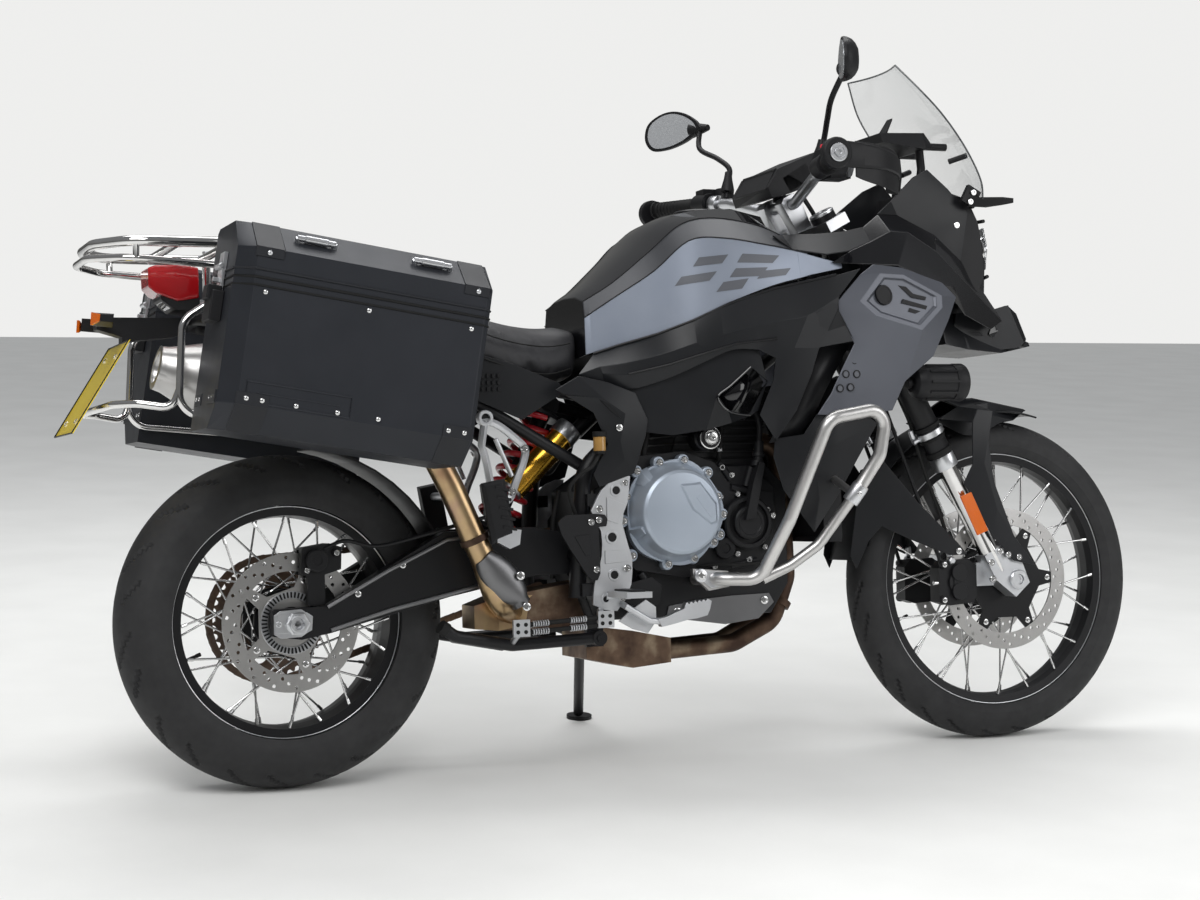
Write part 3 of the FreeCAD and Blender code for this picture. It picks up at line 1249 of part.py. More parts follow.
def foot_controls():
    right = plate("footrest_right", (
        (646, 586), (664, 586), (658, 533), (644, 493), (664, 424), (662, 372), (630, 321),
        (579, 335), (582, 375), (599, 430), (600, 478), (579, 519), (602, 559)), -186, -178,
        ((633, 558, 9), (620, 466, 10), (625, 392, 9), (606, 340, 6)))
    heel = plate("heel_guard", (
        (507, 497), (524, 512), (588, 513), (612, 502), (609, 488), (592, 487), (594, 415),
        (590, 383), (576, 382), (531, 445)), -192, -184)
    teeth = []
    for i in range(9):
        teeth += [(-298 + 12 * i, 665), (-292 + 12 * i, 655)]
    comb = [(x, side) for side, x in teeth]
    peg = hull("peg_right", [[(x, side, z) for x, side in
                              [(612, -298)] + comb + [(655, -186), (612, -186)]] for z in (347, 363)])
    rest = fused("footrest_solid", right, heel, peg)
    bracket = plate("rear_step_bracket", (
        (335, 684), (352, 740), (412, 714), (450, 642), (400, 546), (375, 560), (348, 640)),
        -149, -141.4, ((378, 690, 10), (392, 628, 14)))
    step = hull("rear_step", (
        [(x, -190, z) for x, z in ((345, 575), (392, 585), (412, 470), (366, 460))],
        [(x, -212, z) for x, z in ((350, 565), (386, 573), (404, 478), (370, 470))]))
    hinge = rod("rear_step_hinge", (384, -146, 572), (376, -200, 556), 9.0)
    rear = fused("rear_step_solid", bracket, step, hinge)
    node("footrests", rest, mirrored(rest), rear, mirrored(rear))
    outline = ((705, 303), (762, 321), (790, 334), (822, 332), (814, 304), (775, 300), (713, 287))
    pedal = hull("brake_pedal", [[(x, side, z) for x, z in outline] for side in (-212, -196)])
    arm = tube("brake_arm", (
        (720, -204, 296), (680, -204, 302), (640, -204, 334), (640, -186.4, 334)), 6.0, 14)
    lever = tube("gear_lever", (
        (640, 186.4, 334), (640, 206, 334), (700, 206, 322), (790, 206, 322),
        (796, 240, 322)), 6.0, 14)
    node("foot_controls", fused("brake_pedal_solid", pedal, arm), lever)


doc.recompute()
wheels()
frame()
engine()
exhaust()
rear_end()
luggage()
tank()
seat()
side_panels()
nose()
front_lights()
crash_bars()
tail()
steering()
stands()
foot_controls()
doc.recompute()

faults = [o.Name for o in doc.Objects if {"Invalid", "Error"} & set(o.State)]
for name, part in NODES.items():
    if part.Shape.isNull() or not part.Shape.isValid():
        faults.append(name + " shape")
if faults:
    raise RuntimeError("not built: " + ", ".join(faults))
os.makedirs("parts", exist_ok=True)
for name, part in NODES.items():
    part.Shape.exportStep("parts/%s.step" % name)
print(len(NODES), "nodes written")
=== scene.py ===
import math

import bmesh
import bpy
from mathutils import Matrix, Vector


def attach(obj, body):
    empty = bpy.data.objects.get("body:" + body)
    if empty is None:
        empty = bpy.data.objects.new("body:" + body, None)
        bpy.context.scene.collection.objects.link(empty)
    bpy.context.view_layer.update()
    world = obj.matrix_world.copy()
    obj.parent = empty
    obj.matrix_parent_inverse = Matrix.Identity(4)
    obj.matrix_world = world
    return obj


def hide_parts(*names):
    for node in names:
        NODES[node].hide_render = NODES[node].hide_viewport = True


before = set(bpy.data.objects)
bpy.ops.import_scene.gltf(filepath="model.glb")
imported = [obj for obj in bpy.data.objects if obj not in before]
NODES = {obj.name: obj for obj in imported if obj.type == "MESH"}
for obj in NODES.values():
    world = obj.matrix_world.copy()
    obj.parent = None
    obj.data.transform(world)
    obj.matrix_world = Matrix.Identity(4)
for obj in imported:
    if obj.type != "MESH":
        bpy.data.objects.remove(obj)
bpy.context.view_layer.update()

# The machine is drawn upright in millimetres: x forward from the rear axle, y to the
# left, z up from the ground. PARK leans it onto its side stand and puts it in the frame.
MM = 0.001
LEAN = math.radians(8.13)
ORIGIN_AHEAD = 767.0
ORIGIN_LEFT = 147.0
REAR_SECTION = 75.0
TYRE_DROP = REAR_SECTION * (1 - math.cos(LEAN))
PARK = (Matrix.Translation(Vector((-ORIGIN_AHEAD, -ORIGIN_LEFT, TYRE_DROP)) * MM)
        @ Matrix.Rotation(-LEAN, 4, "X") @ Matrix.Scale(MM, 4))

WHEELBASE = 1593.0
FRONT_AXLE = Vector((WHEELBASE, 0, 347.5))
REAR_AXLE = Vector((0, 0, 321))
HEAD_ANGLE = math.radians(62.0)
STEER_FOOT = WHEELBASE + 126.0


def steer_point(along, ahead, side):
    """A point by its distance up the steering axis, ahead of it and to the left."""
    c, s = math.cos(HEAD_ANGLE), math.sin(HEAD_ANGLE)
    return Vector((STEER_FOOT - along * c + ahead * s, side, along * s + ahead * c))


# Camera, floor and light

CAMERA_PLACE = Vector((-1019 - ORIGIN_AHEAD, -4049 - ORIGIN_LEFT, 1116 + TYRE_DROP)) * MM
CAMERA_YAW = math.radians(67.73)
CAMERA_PITCH = math.radians(-6.12)
CAMERA_ROLL = math.radians(1.66)
LENS_PIXELS = 2189.3
PHOTO_WIDTH = 1200.0
SENSOR = 36.0


def make_camera():
    """The fitted camera, which takes in the photograph's own frame."""
    data = bpy.data.cameras.new("camera")
    data.sensor_width = SENSOR
    data.lens = LENS_PIXELS * SENSOR / PHOTO_WIDTH
    data.clip_end = 100
    camera = bpy.data.objects.new("camera", data)
    bpy.context.scene.collection.objects.link(camera)
    ahead = Vector((math.cos(CAMERA_YAW) * math.cos(CAMERA_PITCH),
                    math.sin(CAMERA_YAW) * math.cos(CAMERA_PITCH), math.sin(CAMERA_PITCH)))
    right = ahead.cross(Vector((0, 0, 1))).normalized()
    up = right.cross(ahead)
    right_rolled = right * math.cos(CAMERA_ROLL) + up * math.sin(CAMERA_ROLL)
    up_rolled = up * math.cos(CAMERA_ROLL) - right * math.sin(CAMERA_ROLL)
    turn = Matrix((right_rolled, up_rolled, -ahead)).transposed().to_4x4()
    camera.matrix_world = Matrix.Translation(CAMERA_PLACE) @ turn
    bpy.context.scene.camera = camera


def lamp(name, place, target, size, power):
    """An area lamp that faces a target."""
    data = bpy.data.lights.new(name, "AREA")
    data.shape = "RECTANGLE"
    data.size, data.size_y = size
    data.energy = power
    obj = bpy.data.objects.new(name, data)
    bpy.context.scene.collection.objects.link(obj)
    obj.location = place
    obj.rotation_euler = (Vector(target) - Vector(place)).to_track_quat("-Z", "Y").to_euler()


WORLD_STRENGTH = 0.5
GLOSSY_STRENGTH = 0.2
BACKGROUND = (0.86, 0.86, 0.85, 1)
LAMPS = (
    ("key", (-2.4, -3.0, 4.4), (0, 0, 0.6), (3.8, 2.4), 150),
    ("fill", (3.2, -3.2, 2.4), (0.2, 0, 0.6), (2.6, 2.6), 55),
    ("top", (0.2, 1.4, 4.2), (0, 0, 0.8), (4.4, 1.8), 110),
)


def make_light():
    """Three soft lamps in a pale studio, which glossy surfaces mirror less brightly."""
    world = bpy.data.worlds.new("studio")
    bpy.context.scene.world = world
    world.use_nodes = True
    nodes, links = world.node_tree.nodes, world.node_tree.links
    back = nodes["Background"]
    back.inputs["Strength"].default_value = WORLD_STRENGTH
    white = nodes.new("ShaderNodeBackground")
    white.inputs["Color"].default_value = BACKGROUND
    height = nodes.new("ShaderNodeSeparateXYZ")
    where = nodes.new("ShaderNodeTexCoord")
    bands = nodes.new("ShaderNodeValToRGB")
    points = bands.color_ramp.elements
    points[0].position, points[0].color = 0.42, (0.24, 0.24, 0.23, 1)
    points[1].position, points[1].color = 0.53, (0.5, 0.5, 0.48, 1)
    for place, colour in ((0.56, (0.78, 0.78, 0.76, 1)), (0.75, (0.95, 0.97, 1.0, 1))):
        made = points.new(place)
        made.color = colour
    spread = nodes.new("ShaderNodeMapRange")
    spread.inputs["From Min"].default_value = -1.0
    links.new(where.outputs["Generated"], height.inputs[0])
    links.new(height.outputs["Z"], spread.inputs["Value"])
    links.new(spread.outputs["Result"], bands.inputs["Fac"])
    links.new(bands.outputs["Color"], back.inputs["Color"])
    soft = nodes.new("ShaderNodeBackground")
    soft.inputs["Strength"].default_value = GLOSSY_STRENGTH
    links.new(bands.outputs["Color"], soft.inputs["Color"])
    path = nodes.new("ShaderNodeLightPath")
    shine = nodes.new("ShaderNodeMixShader")
    links.new(path.outputs["Is Glossy Ray"], shine.inputs[0])
    links.new(back.outputs[0], shine.inputs[1])
    links.new(soft.outputs[0], shine.inputs[2])
    seen = nodes.new("ShaderNodeMixShader")
    links.new(path.outputs["Is Camera Ray"], seen.inputs[0])
    links.new(shine.outputs[0], seen.inputs[1])
    links.new(white.outputs[0], seen.inputs[2])
    links.new(seen.outputs[0], nodes["World Output"].inputs["Surface"])
    for name, place, target, size, power in LAMPS:
        lamp(name, place, target, size, power)


FLOOR_REACH = 14.0


def make_floor():
    """A pale floor that is staging, not part of the machine."""
    mesh = bpy.data.meshes.new("floor")
    corners = [(x * FLOOR_REACH, y * FLOOR_REACH, 0)
               for x, y in ((-1, -1), (1, -1), (1, 1), (-1, 1))]
    mesh.from_pydata(corners, [], [(0, 1, 2, 3)])
    floor = bpy.data.objects.new("floor", mesh)
    bpy.context.scene.collection.objects.link(floor)
    made = Finish("floor_pale", (0.79, 0.79, 0.77), 0.85)
    made.vary_colour(made.noise(3.0, 5.0), (0.83, 0.83, 0.81))
    made.bump(made.noise(240.0, 3.0), 0.15, 0.0004)
    mesh.materials.append(made.material)


# Materials

MATERIALS = {}


class Finish:
    """A material with its Principled shader, and short ways to add noise, waves and bumps."""

    def __init__(self, name, colour, roughness, metallic=0.0, coat=0.0):
        self.material = bpy.data.materials.new(name)
        self.material.use_nodes = True
        self.tree = self.material.node_tree
        self.shader = self.tree.nodes["Principled BSDF"]
        self.colour = colour
        self.roughness = roughness
        self.set("Base Color", (*colour, 1))
        self.set("Roughness", roughness)
        self.set("Metallic", metallic)
        self.set("Coat Weight", coat)
        if coat:
            self.set("Coat Roughness", 0.04)
        self.normal = None
        MATERIALS[name] = self.material

    def set(self, socket, value):
        """Sets one input of the shader."""
        self.shader.inputs[socket].default_value = value

    def add(self, kind, **values):
        """A shader node with some of its inputs or settings set."""
        made = self.tree.nodes.new(kind)
        for key, value in values.items():
            if key in made.inputs:
                made.inputs[key].default_value = value
            else:
                setattr(made, key.lower(), value)
        return made

    def link(self, source, target):
        """Joins an output to an input."""
        self.tree.links.new(source, target)

    def places(self, stretch=(1, 1, 1), turn=(0, 0, 0)):
        """Object coordinates in metres, stretched and turned."""
        where = self.add("ShaderNodeTexCoord")
        moved = self.add("ShaderNodeMapping")
        moved.inputs["Scale"].default_value = stretch
        moved.inputs["Rotation"].default_value = turn
        self.link(where.outputs["Object"], moved.inputs["Vector"])
        return moved.outputs["Vector"]

    def noise(self, scale, detail=4.0, stretch=(1, 1, 1), turn=(0, 0, 0)):
        """The value of a noise texture, stretched and turned."""
        made = self.add("ShaderNodeTexNoise", Scale=scale, Detail=detail)
        self.link(self.places(stretch, turn), made.inputs["Vector"])
        return made.outputs["Fac"]

    def cells(self, scale, stretch=(1, 1, 1)):
        """Distances in a pattern of cells."""
        made = self.add("ShaderNodeTexVoronoi", Scale=scale)
        self.link(self.places(stretch), made.inputs["Vector"])
        return made.outputs["Distance"]

    def ramp(self, value, stops):
        """A colour for each value, through several stops."""
        made = self.add("ShaderNodeValToRGB")
        points = made.color_ramp.elements
        while len(points) < len(stops):
            points.new(0.5)
        for point, (place, colour) in zip(points, stops):
            point.position = place
            point.color = (*colour, 1)
        self.link(value, made.inputs["Fac"])
        return made.outputs["Color"]

    def vary_colour(self, value, other, low=0.35, high=0.65):
        """The base colour runs to another colour where the value is high."""
        self.link(self.ramp(value, ((low, self.colour), (high, other))),
                  self.shader.inputs["Base Color"])

    def vary_roughness(self, value, low, high):
        """The roughness runs between two values."""
        spread = self.add("ShaderNodeMapRange")
        spread.inputs["To Min"].default_value = low
        spread.inputs["To Max"].default_value = high
        self.link(value, spread.inputs["Value"])
        self.link(spread.outputs["Result"], self.shader.inputs["Roughness"])

    def bump(self, value, strength, distance):
        """Bumps laid over those already there."""
        made = self.add("ShaderNodeBump")
        made.inputs["Strength"].default_value = strength
        made.inputs["Distance"].default_value = distance
        self.link(value, made.inputs["Height"])
        if self.normal:
            self.link(self.normal, made.inputs["Normal"])
        self.normal = made.outputs["Normal"]
        self.link(self.normal, self.shader.inputs["Normal"])


DARK_PAINT = 0.03
DARK_SPECULAR = 0.3


def painted(name, colour, roughness, other=None, grain=900.0, depth=0.00004, metallic=0.0,
            coat=0.0):
    """Paint, powder coat or moulded plastic: a fine grain, and slow changes of tone and gloss.

    Dark ones without a clear coat mirror less of the pale studio.
    """
    made = Finish(name, colour, roughness, metallic, coat)
    tone = made.noise(7.0, 6.0)
    made.vary_colour(tone, other or tuple(c * 1.25 for c in colour))
    made.vary_roughness(made.noise(22.0, 5.0), roughness * 0.88, min(1.0, roughness * 1.12))
    made.bump(made.noise(grain, 2.0), 0.35, depth)
    if max(colour) < DARK_PAINT and not coat:
        made.set("Specular IOR Level", DARK_SPECULAR)


def metal(name, colour, roughness, streak=(1, 1, 1), other=None, depth=0.00003, scale=260.0):
    """Bare metal with fine streaks drawn out along one axis."""
    made = Finish(name, colour, roughness, 1.0)
    lines = made.noise(scale, 4.0, streak)
    made.vary_colour(made.noise(9.0, 6.0), other or tuple(c * 0.86 for c in colour))
    made.vary_roughness(lines, roughness * 0.75, min(1.0, roughness * 1.3))
    made.bump(lines, 0.25, depth)


def make_materials():
    """Every paint, plastic, metal, rubber and lens by its plain name."""
    painted("frame_black", (0.006, 0.006, 0.007), 0.42, grain=700, depth=0.00006)
    painted("satin_black", (0.006, 0.006, 0.007), 0.4)
    painted("alloy_black", (0.007, 0.007, 0.008), 0.36, grain=500, depth=0.00005)
    painted("engine_black", (0.006, 0.006, 0.007), 0.45, grain=420, depth=0.00016)
    painted("plastic_black", (0.007, 0.007, 0.008), 0.5, grain=1300, depth=0.00008)
    painted("plastic_side", (0.008, 0.0085, 0.01), 0.38, grain=1300, depth=0.00006)
    painted("gloss_black", (0.004, 0.004, 0.005), 0.1, grain=60, depth=0.00001, coat=0.35)
    painted("band_grey", (0.04, 0.042, 0.048), 0.4, (0.05, 0.052, 0.058), metallic=0.3)
    painted("panel_light", (0.23, 0.26, 0.32), 0.36, (0.26, 0.29, 0.35), metallic=0.35)
    painted("panel_mid", (0.1, 0.105, 0.12), 0.4, (0.115, 0.12, 0.135), metallic=0.35)
    painted("cowl_grey", (0.104, 0.1105, 0.13), 0.36, (0.095, 0.1, 0.118), metallic=0.4)
    painted("cover_blue_grey", (0.38, 0.43, 0.5), 0.38, (0.42, 0.47, 0.54), 500, 0.00008, 0.55)
    painted("case_coat", (0.022, 0.024, 0.029), 0.45, (0.027, 0.029, 0.035), 1500, 0.00006, 0.3)
    painted("case_corner", (0.014, 0.015, 0.018), 0.5, grain=900, depth=0.0001)
    painted("plate_yellow", (0.85, 0.62, 0.02), 0.3, (0.9, 0.68, 0.03), coat=0.5)
    painted("gold_alloy", (0.85, 0.48, 0.06), 0.25, (0.8, 0.42, 0.05), metallic=1.0)
    painted("spring_red", (0.45, 0.01, 0.02), 0.3, coat=0.6)
    painted("switch_red", (0.6, 0.02, 0.04), 0.4)
    painted("rubber_black", (0.007, 0.007, 0.007), 0.7, grain=900, depth=0.0001)
    metal("alloy_satin", (0.72, 0.73, 0.75), 0.33, scale=420)
    metal("cast_grey", (0.2, 0.2, 0.205), 0.36, scale=500, depth=0.00008)
    metal("alloy_cast", (0.66, 0.67, 0.69), 0.42, scale=700, depth=0.00012)
    metal("steel_bright", (0.78, 0.78, 0.78), 0.18)
    metal("steel_brushed", (0.56, 0.55, 0.54), 0.34, (1, 1, 14), scale=120, depth=0.00006)
    metal("bar_steel", (0.66, 0.65, 0.64), 0.36, (3, 3, 3), scale=320, depth=0.00005)
    metal("chrome", (0.82, 0.81, 0.8), 0.08, scale=40, depth=0.00001)
    metal("disc_steel", (0.6, 0.59, 0.58), 0.3, scale=500, depth=0.00003)
    metal("chain_steel", (0.16, 0.12, 0.1), 0.45, (1, 1, 1), (0.25, 0.17, 0.12), 0.0001)
    make_heat_bronze()
    make_exhaust_brown()
    make_tyre_rubber()
    make_seat_vinyl()
    make_lenses()


def make_heat_bronze():
    """The heat-tinted link pipe, behind the engine."""
    made = Finish("heat_bronze", (0.42, 0.27, 0.16), 0.3, 1.0)
    tint = made.noise(12.0, 3.0)
    made.link(made.ramp(tint, ((0.3, (0.3, 0.18, 0.11)), (0.5, (0.5, 0.36, 0.2)),
                               (0.7, (0.42, 0.27, 0.2)))), made.shader.inputs["Base Color"])
    made.bump(made.noise(300.0, 3.0), 0.2, 0.00004)


def make_exhaust_brown():
    """The browned header pipes and collector, and the pipe bands."""
    made = Finish("exhaust_brown", (0.14, 0.09, 0.065), 0.45, 1.0)
    tint = made.noise(16.0, 5.0)
    made.link(made.ramp(tint, ((0.34, (0.07, 0.045, 0.035)), (0.52, (0.15, 0.1, 0.07)),
                               (0.72, (0.34, 0.27, 0.19)))), made.shader.inputs["Base Color"])
    made.vary_roughness(made.noise(40.0, 5.0), 0.35, 0.7)
    made.bump(made.noise(260.0, 5.0), 0.35, 0.00012)


def make_tyre_rubber():
    """Dull rubber with slow changes of tone and gloss."""
    made = Finish("tyre_rubber", (0.011, 0.011, 0.012), 0.6)
    made.vary_colour(made.noise(14.0, 8.0), (0.018, 0.018, 0.019))
    made.vary_roughness(made.noise(60.0, 4.0), 0.55, 0.82)
    made.bump(made.noise(1400.0, 3.0), 0.4, 0.00008)


def make_seat_vinyl():
    """The seat's grained cover."""
    made = Finish("seat_vinyl", (0.014, 0.014, 0.016), 0.55)
    made.vary_colour(made.noise(9.0, 5.0), (0.02, 0.02, 0.023))
    made.bump(made.cells(520.0), 0.5, 0.00025)
    made.bump(made.noise(1500.0, 2.0), 0.3, 0.0001)


def make_lenses():
    """Tinted and clear lenses, the screen, the mirrors' glass and the display."""
    for name, colour, rough in (("lens_red", (0.55, 0.01, 0.015), 0.12),
                                ("lens_amber", (0.85, 0.17, 0.005), 0.2),
                                ("lens_clear", (0.9, 0.92, 0.95), 0.03),
                                ("reservoir_amber", (0.5, 0.28, 0.08), 0.2)):
        made = Finish(name, colour, rough)
        made.set("Transmission Weight", 0.92 if name == "lens_clear" else 0.35)
        made.set("IOR", 1.49)
        made.set("Coat Weight", 0.6)
        made.bump(made.cells(160.0), 0.15, 0.0004)
    screen = Finish("screen_clear", (0.5, 0.55, 0.57), 0.03)
    screen.set("Coat Weight", 1.0)
    slope = screen.add("ShaderNodeLayerWeight", Blend=0.25)
    spread = screen.add("ShaderNodeMapRange")
    spread.inputs["To Min"].default_value = 0.07
    spread.inputs["To Max"].default_value = 0.5
    screen.link(slope.outputs["Facing"], spread.inputs["Value"])
    screen.link(spread.outputs["Result"], screen.shader.inputs["Alpha"])
    rim = Finish("screen_edge", (0.05, 0.055, 0.06), 0.1)
    rim.set("Alpha", 0.75)
    mirror = Finish("mirror_glass", (0.75, 0.77, 0.8), 0.08, 0.6)
    mirror.bump(mirror.noise(3.0, 1.0), 0.02, 0.0001)
    dark = Finish("display_glass", (0.01, 0.012, 0.014), 0.06, 0.0, 1.0)
    dark.vary_roughness(dark.noise(30.0, 3.0), 0.04, 0.12)


# Mesh helpers

def new_piece(name, mesh, body, material, replaces=(), park=True, angle=35.0):
    """A finished mesh drawn in upright millimetres, leaned into place, that rides on a body."""
    if park:
        mesh.transform(PARK)
    for polygon in mesh.polygons:
        polygon.use_smooth = True
    obj = bpy.data.objects.new(name, mesh)
    bpy.context.scene.collection.objects.link(obj)
    mesh.materials.append(MATERIALS[material])
    mesh.set_sharp_from_angle(angle=math.radians(angle))
    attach(obj, body)
    if replaces:
        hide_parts(*replaces)
    return obj


class Shape:
    """Collects simple solids into one mesh, drawn in upright millimetres."""

    def __init__(self):
        self.corners = []
        self.faces = []

    def take(self, corners, faces):
        """Adds loose corners and faces."""
        first = len(self.corners)
        self.corners += [Vector(c) for c in corners]
        self.faces += [tuple(first + i for i in face) for face in faces]
        return self

    def rings(self, rings, closed=False, caps=True):
        """A skin over rings of the same count of points."""
        count = len(rings[0])
        corners = [p for ring in rings for p in ring]
        faces = []
        spans = len(rings) if closed else len(rings) - 1
        for r in range(spans):
            a, b = r * count, (r + 1) % len(rings) * count
            for i in range(count):
                j = (i + 1) % count
                faces.append((a + i, a + j, b + j, b + i))
        if caps and not closed:
            faces.append(tuple(reversed(range(count))))
            faces.append(tuple(range((len(rings) - 1) * count, len(rings) * count)))
        return self.take(corners, faces)

    def turned(self, start, along, profile, sides=32, caps=True):
        """Turned about a line: a profile of (distance along, radius)."""
        along = Vector(along).normalized()
        side, up = cross_axes(along)
        rings = []
        for distance, radius in profile:
            middle = Vector(start) + along * distance
            rings.append([middle + (side * math.cos(a) + up * math.sin(a)) * max(radius, 0.01)
                          for a in turns(sides)])
        return self.rings(rings, caps=caps)

    def rod(self, start, end, radius, sides=20, other=None):
        """A round bar with softened ends, tapered where a second radius is given."""
        start, end = Vector(start), Vector(end)
        length = (end - start).length
        soft = min(0.8, radius * 0.25, length * 0.25)
        last = radius if other is None else other
        return self.turned(start, end - start, (
            (0, radius - soft), (soft, radius), (length - soft, last),
            (length, last - soft)), sides)

    def tube(self, route, radius, sides=12, closed=False):
        """A round tube through points, each a radius apart at least."""
        points = [Vector(p) for p in route]
        rings = []
        count = len(points)
        side = None
        for i, p in enumerate(points):
            before = points[i - 1] if i or closed else points[0]
            after = points[(i + 1) % count] if i < count - 1 or closed else points[-1]
            along = (after - before).normalized()
            if side is None:
                side = cross_axes(along)[0]
            side = (side - along * side.dot(along)).normalized()
            up = along.cross(side)
            rings.append([p + (side * math.cos(a) + up * math.sin(a)) * radius
                          for a in turns(sides)])
        return self.rings(rings, closed=closed)

    def slab(self, outline, side_a, side_b):
        """A flat piece: (x, z) corners between two distances from the wheel plane."""
        return self.rings([[(x, side, z) for x, z in outline] for side in (side_a, side_b)])

    def box(self, middle, size, turn=None):
        """A box about its middle, turned where a turn is given."""
        half = Vector(size) / 2
        turn = turn or Matrix.Identity(3)
        rings = []
        for z in (-1, 1):
            rings.append([Vector(middle) + turn @ Vector((x * half.x, y * half.y, z * half.z))
                          for x, y in ((-1, -1), (1, -1), (1, 1), (-1, 1))])
        return self.rings(rings)

    def bolt(self, place, along, radius, height=None):
        """A socket head: a soft rimmed cylinder with a six-sided recess."""
        height = height or radius * 1.1
        along = Vector(along).normalized()
        self.turned(place, along, ((-1.0, radius), (height * 0.8, radius),
                                   (height, radius * 0.85), (height, radius * 0.56),
                                   (height * 0.45, radius * 0.5)), 18)
        return self

    def rivet(self, place, along, radius):
        """A low domed head."""
        along = Vector(along).normalized()
        profile = [(math.sin(a) * radius * 0.55, math.cos(a) * radius)
                   for a in (0.0, 0.5, 1.0, 1.4)]
        return self.turned(place, along, [(-1.0, radius)] + profile, 14)

    def mirror(self):
        """Adds the same pieces on the other side of the wheel plane."""
        corners = [Vector((c.x, -c.y, c.z)) for c in self.corners]
        return self.take(corners, [tuple(reversed(face)) for face in self.faces])

    def flip(self):
        """Moves everything to the other side of the wheel plane."""
        self.corners = [Vector((c.x, -c.y, c.z)) for c in self.corners]

    def make(self, name, body, material, replaces=(), angle=35.0, bevel=0.0):
        """One piece of a body from all that was collected."""
        mesh = bpy.data.meshes.new(name)
        mesh.from_pydata([tuple(c) for c in self.corners], [], self.faces)
        mesh.validate()
        work = bmesh.new()
        work.from_mesh(mesh)
        bmesh.ops.recalc_face_normals(work, faces=work.faces)
        work.to_mesh(mesh)
        work.free()
        obj = new_piece(name, mesh, body, material, replaces, angle=angle)
        if bevel:
            soften(obj, bevel)
        return obj


def turns(count):
    """Angles evenly round a full circle."""
    return [2 * math.pi * i / count for i in range(count)]


def cross_axes(along):
    """Two unit vectors square to a direction."""
    aside = Vector((0, 0, 1)) if abs(along.z) < 0.9 else Vector((1, 0, 0))
    side = along.cross(aside).normalized()
    return side, along.cross(side)


WELD_REACH = 0.00003


def soften(obj, width, segments=2, angle=28.0):
    """Rounds the sharp edges of a piece by a width in millimetres."""
    weld = obj.modifiers.new("weld", "WELD")
    weld.merge_threshold = WELD_REACH
    bevel = obj.modifiers.new("bevel", "BEVEL")
    bevel.width = width * MM
    bevel.segments = segments
    bevel.limit_method = "ANGLE"
    bevel.angle_limit = math.radians(angle)
    bevel.use_clamp_overlap = True
    bevel.harden_normals = True


def curved(points, per=6):
    """Points of a smooth line through the given ones."""
    points = [Vector(p) for p in points]
    full = [points[0] * 2 - points[1]] + points + [points[-1] * 2 - points[-2]]
    out = []
    for i in range(1, len(full) - 2):
        a, b, c, d = full[i - 1:i + 3]
        for k in range(per):
            t = k / per
            out.append(0.5 * ((2 * b) + (c - a) * t + (2 * a - 5 * b + 4 * c - d) * t * t
                              + (3 * b - a - 3 * c + d) * t ** 3))
    return out + [points[-1]]


def around(centre, radius, degrees, side=0.0):
    """A point of a circle round a hub, by its angle from straight ahead."""
    angle = math.radians(degrees)
    return Vector((centre.x + radius * math.cos(angle), side, centre.z + radius * math.sin(angle)))


# The CAD nodes that are shown as they are

def dress_nodes():
    """Gives each CAD node its finish, and softens its edges by a width in millimetres."""
    for node, (material, width) in NODE_LOOKS.items():
        obj = NODES[node]
        obj.data.materials.clear()
        obj.data.materials.append(MATERIALS[material])
        if width:
            soften(obj, width)


def zones(node, rules):
    """Gives faces of a node other finishes, by where their middles lie in upright millimetres."""
    mesh = NODES[node].data
    first = len(mesh.materials)
    for material, _ in rules:
        mesh.materials.append(MATERIALS[material])
    for polygon in mesh.polygons:
        place = UNPARK @ polygon.center
        for i, (_, holds) in enumerate(rules):
            if holds(place):
                polygon.material_index = first + i
                break


def from_hub(hub, low, high):
    """A test for faces between two distances from a hub."""
    return lambda p: low < math.hypot(p.x - hub.x, p.z - hub.z) < high


def fork_along(p):
    """How far up the steering axis a point lies."""
    return (STEER_FOOT - p.x) * math.cos(HEAD_ANGLE) + p.z * math.sin(HEAD_ANGLE)


FORK_BRIGHT_FROM = 455
FORK_BRIGHT_TO = 652
CLAMP_DARK_BELOW = 1100
LINK_PIPE_BEHIND = 460
OUTLET_MIDDLE = Vector((-250, -178, 798))
OUTLET_HALF = 27


def in_outlet(p):
    """True for faces inside the silencer's outlet."""
    off = p - OUTLET_MIDDLE
    return off.x < 0 and abs(off.y) < OUTLET_HALF and abs(off.z) < OUTLET_HALF


def dress_zones():
    """The nodes that show more than one finish."""
    zones("front_discs", (("alloy_black", from_hub(FRONT_AXLE, 0, 114)),))
    zones("rear_disc", (("alloy_cast", from_hub(REAR_AXLE, 44.5, 61)),))
    zones("exhaust_pipes", (("heat_bronze", lambda p: p.x < LINK_PIPE_BEHIND),))
    zones("silencer", (("engine_black", in_outlet),))
    zones("fork_legs", (
        ("chrome", lambda p: FORK_BRIGHT_FROM < fork_along(p) < FORK_BRIGHT_TO),
        ("alloy_satin", lambda p: fork_along(p) >= FORK_BRIGHT_TO)))
    zones("triple_clamps", (("alloy_black", lambda p: fork_along(p) < CLAMP_DARK_BELOW),))


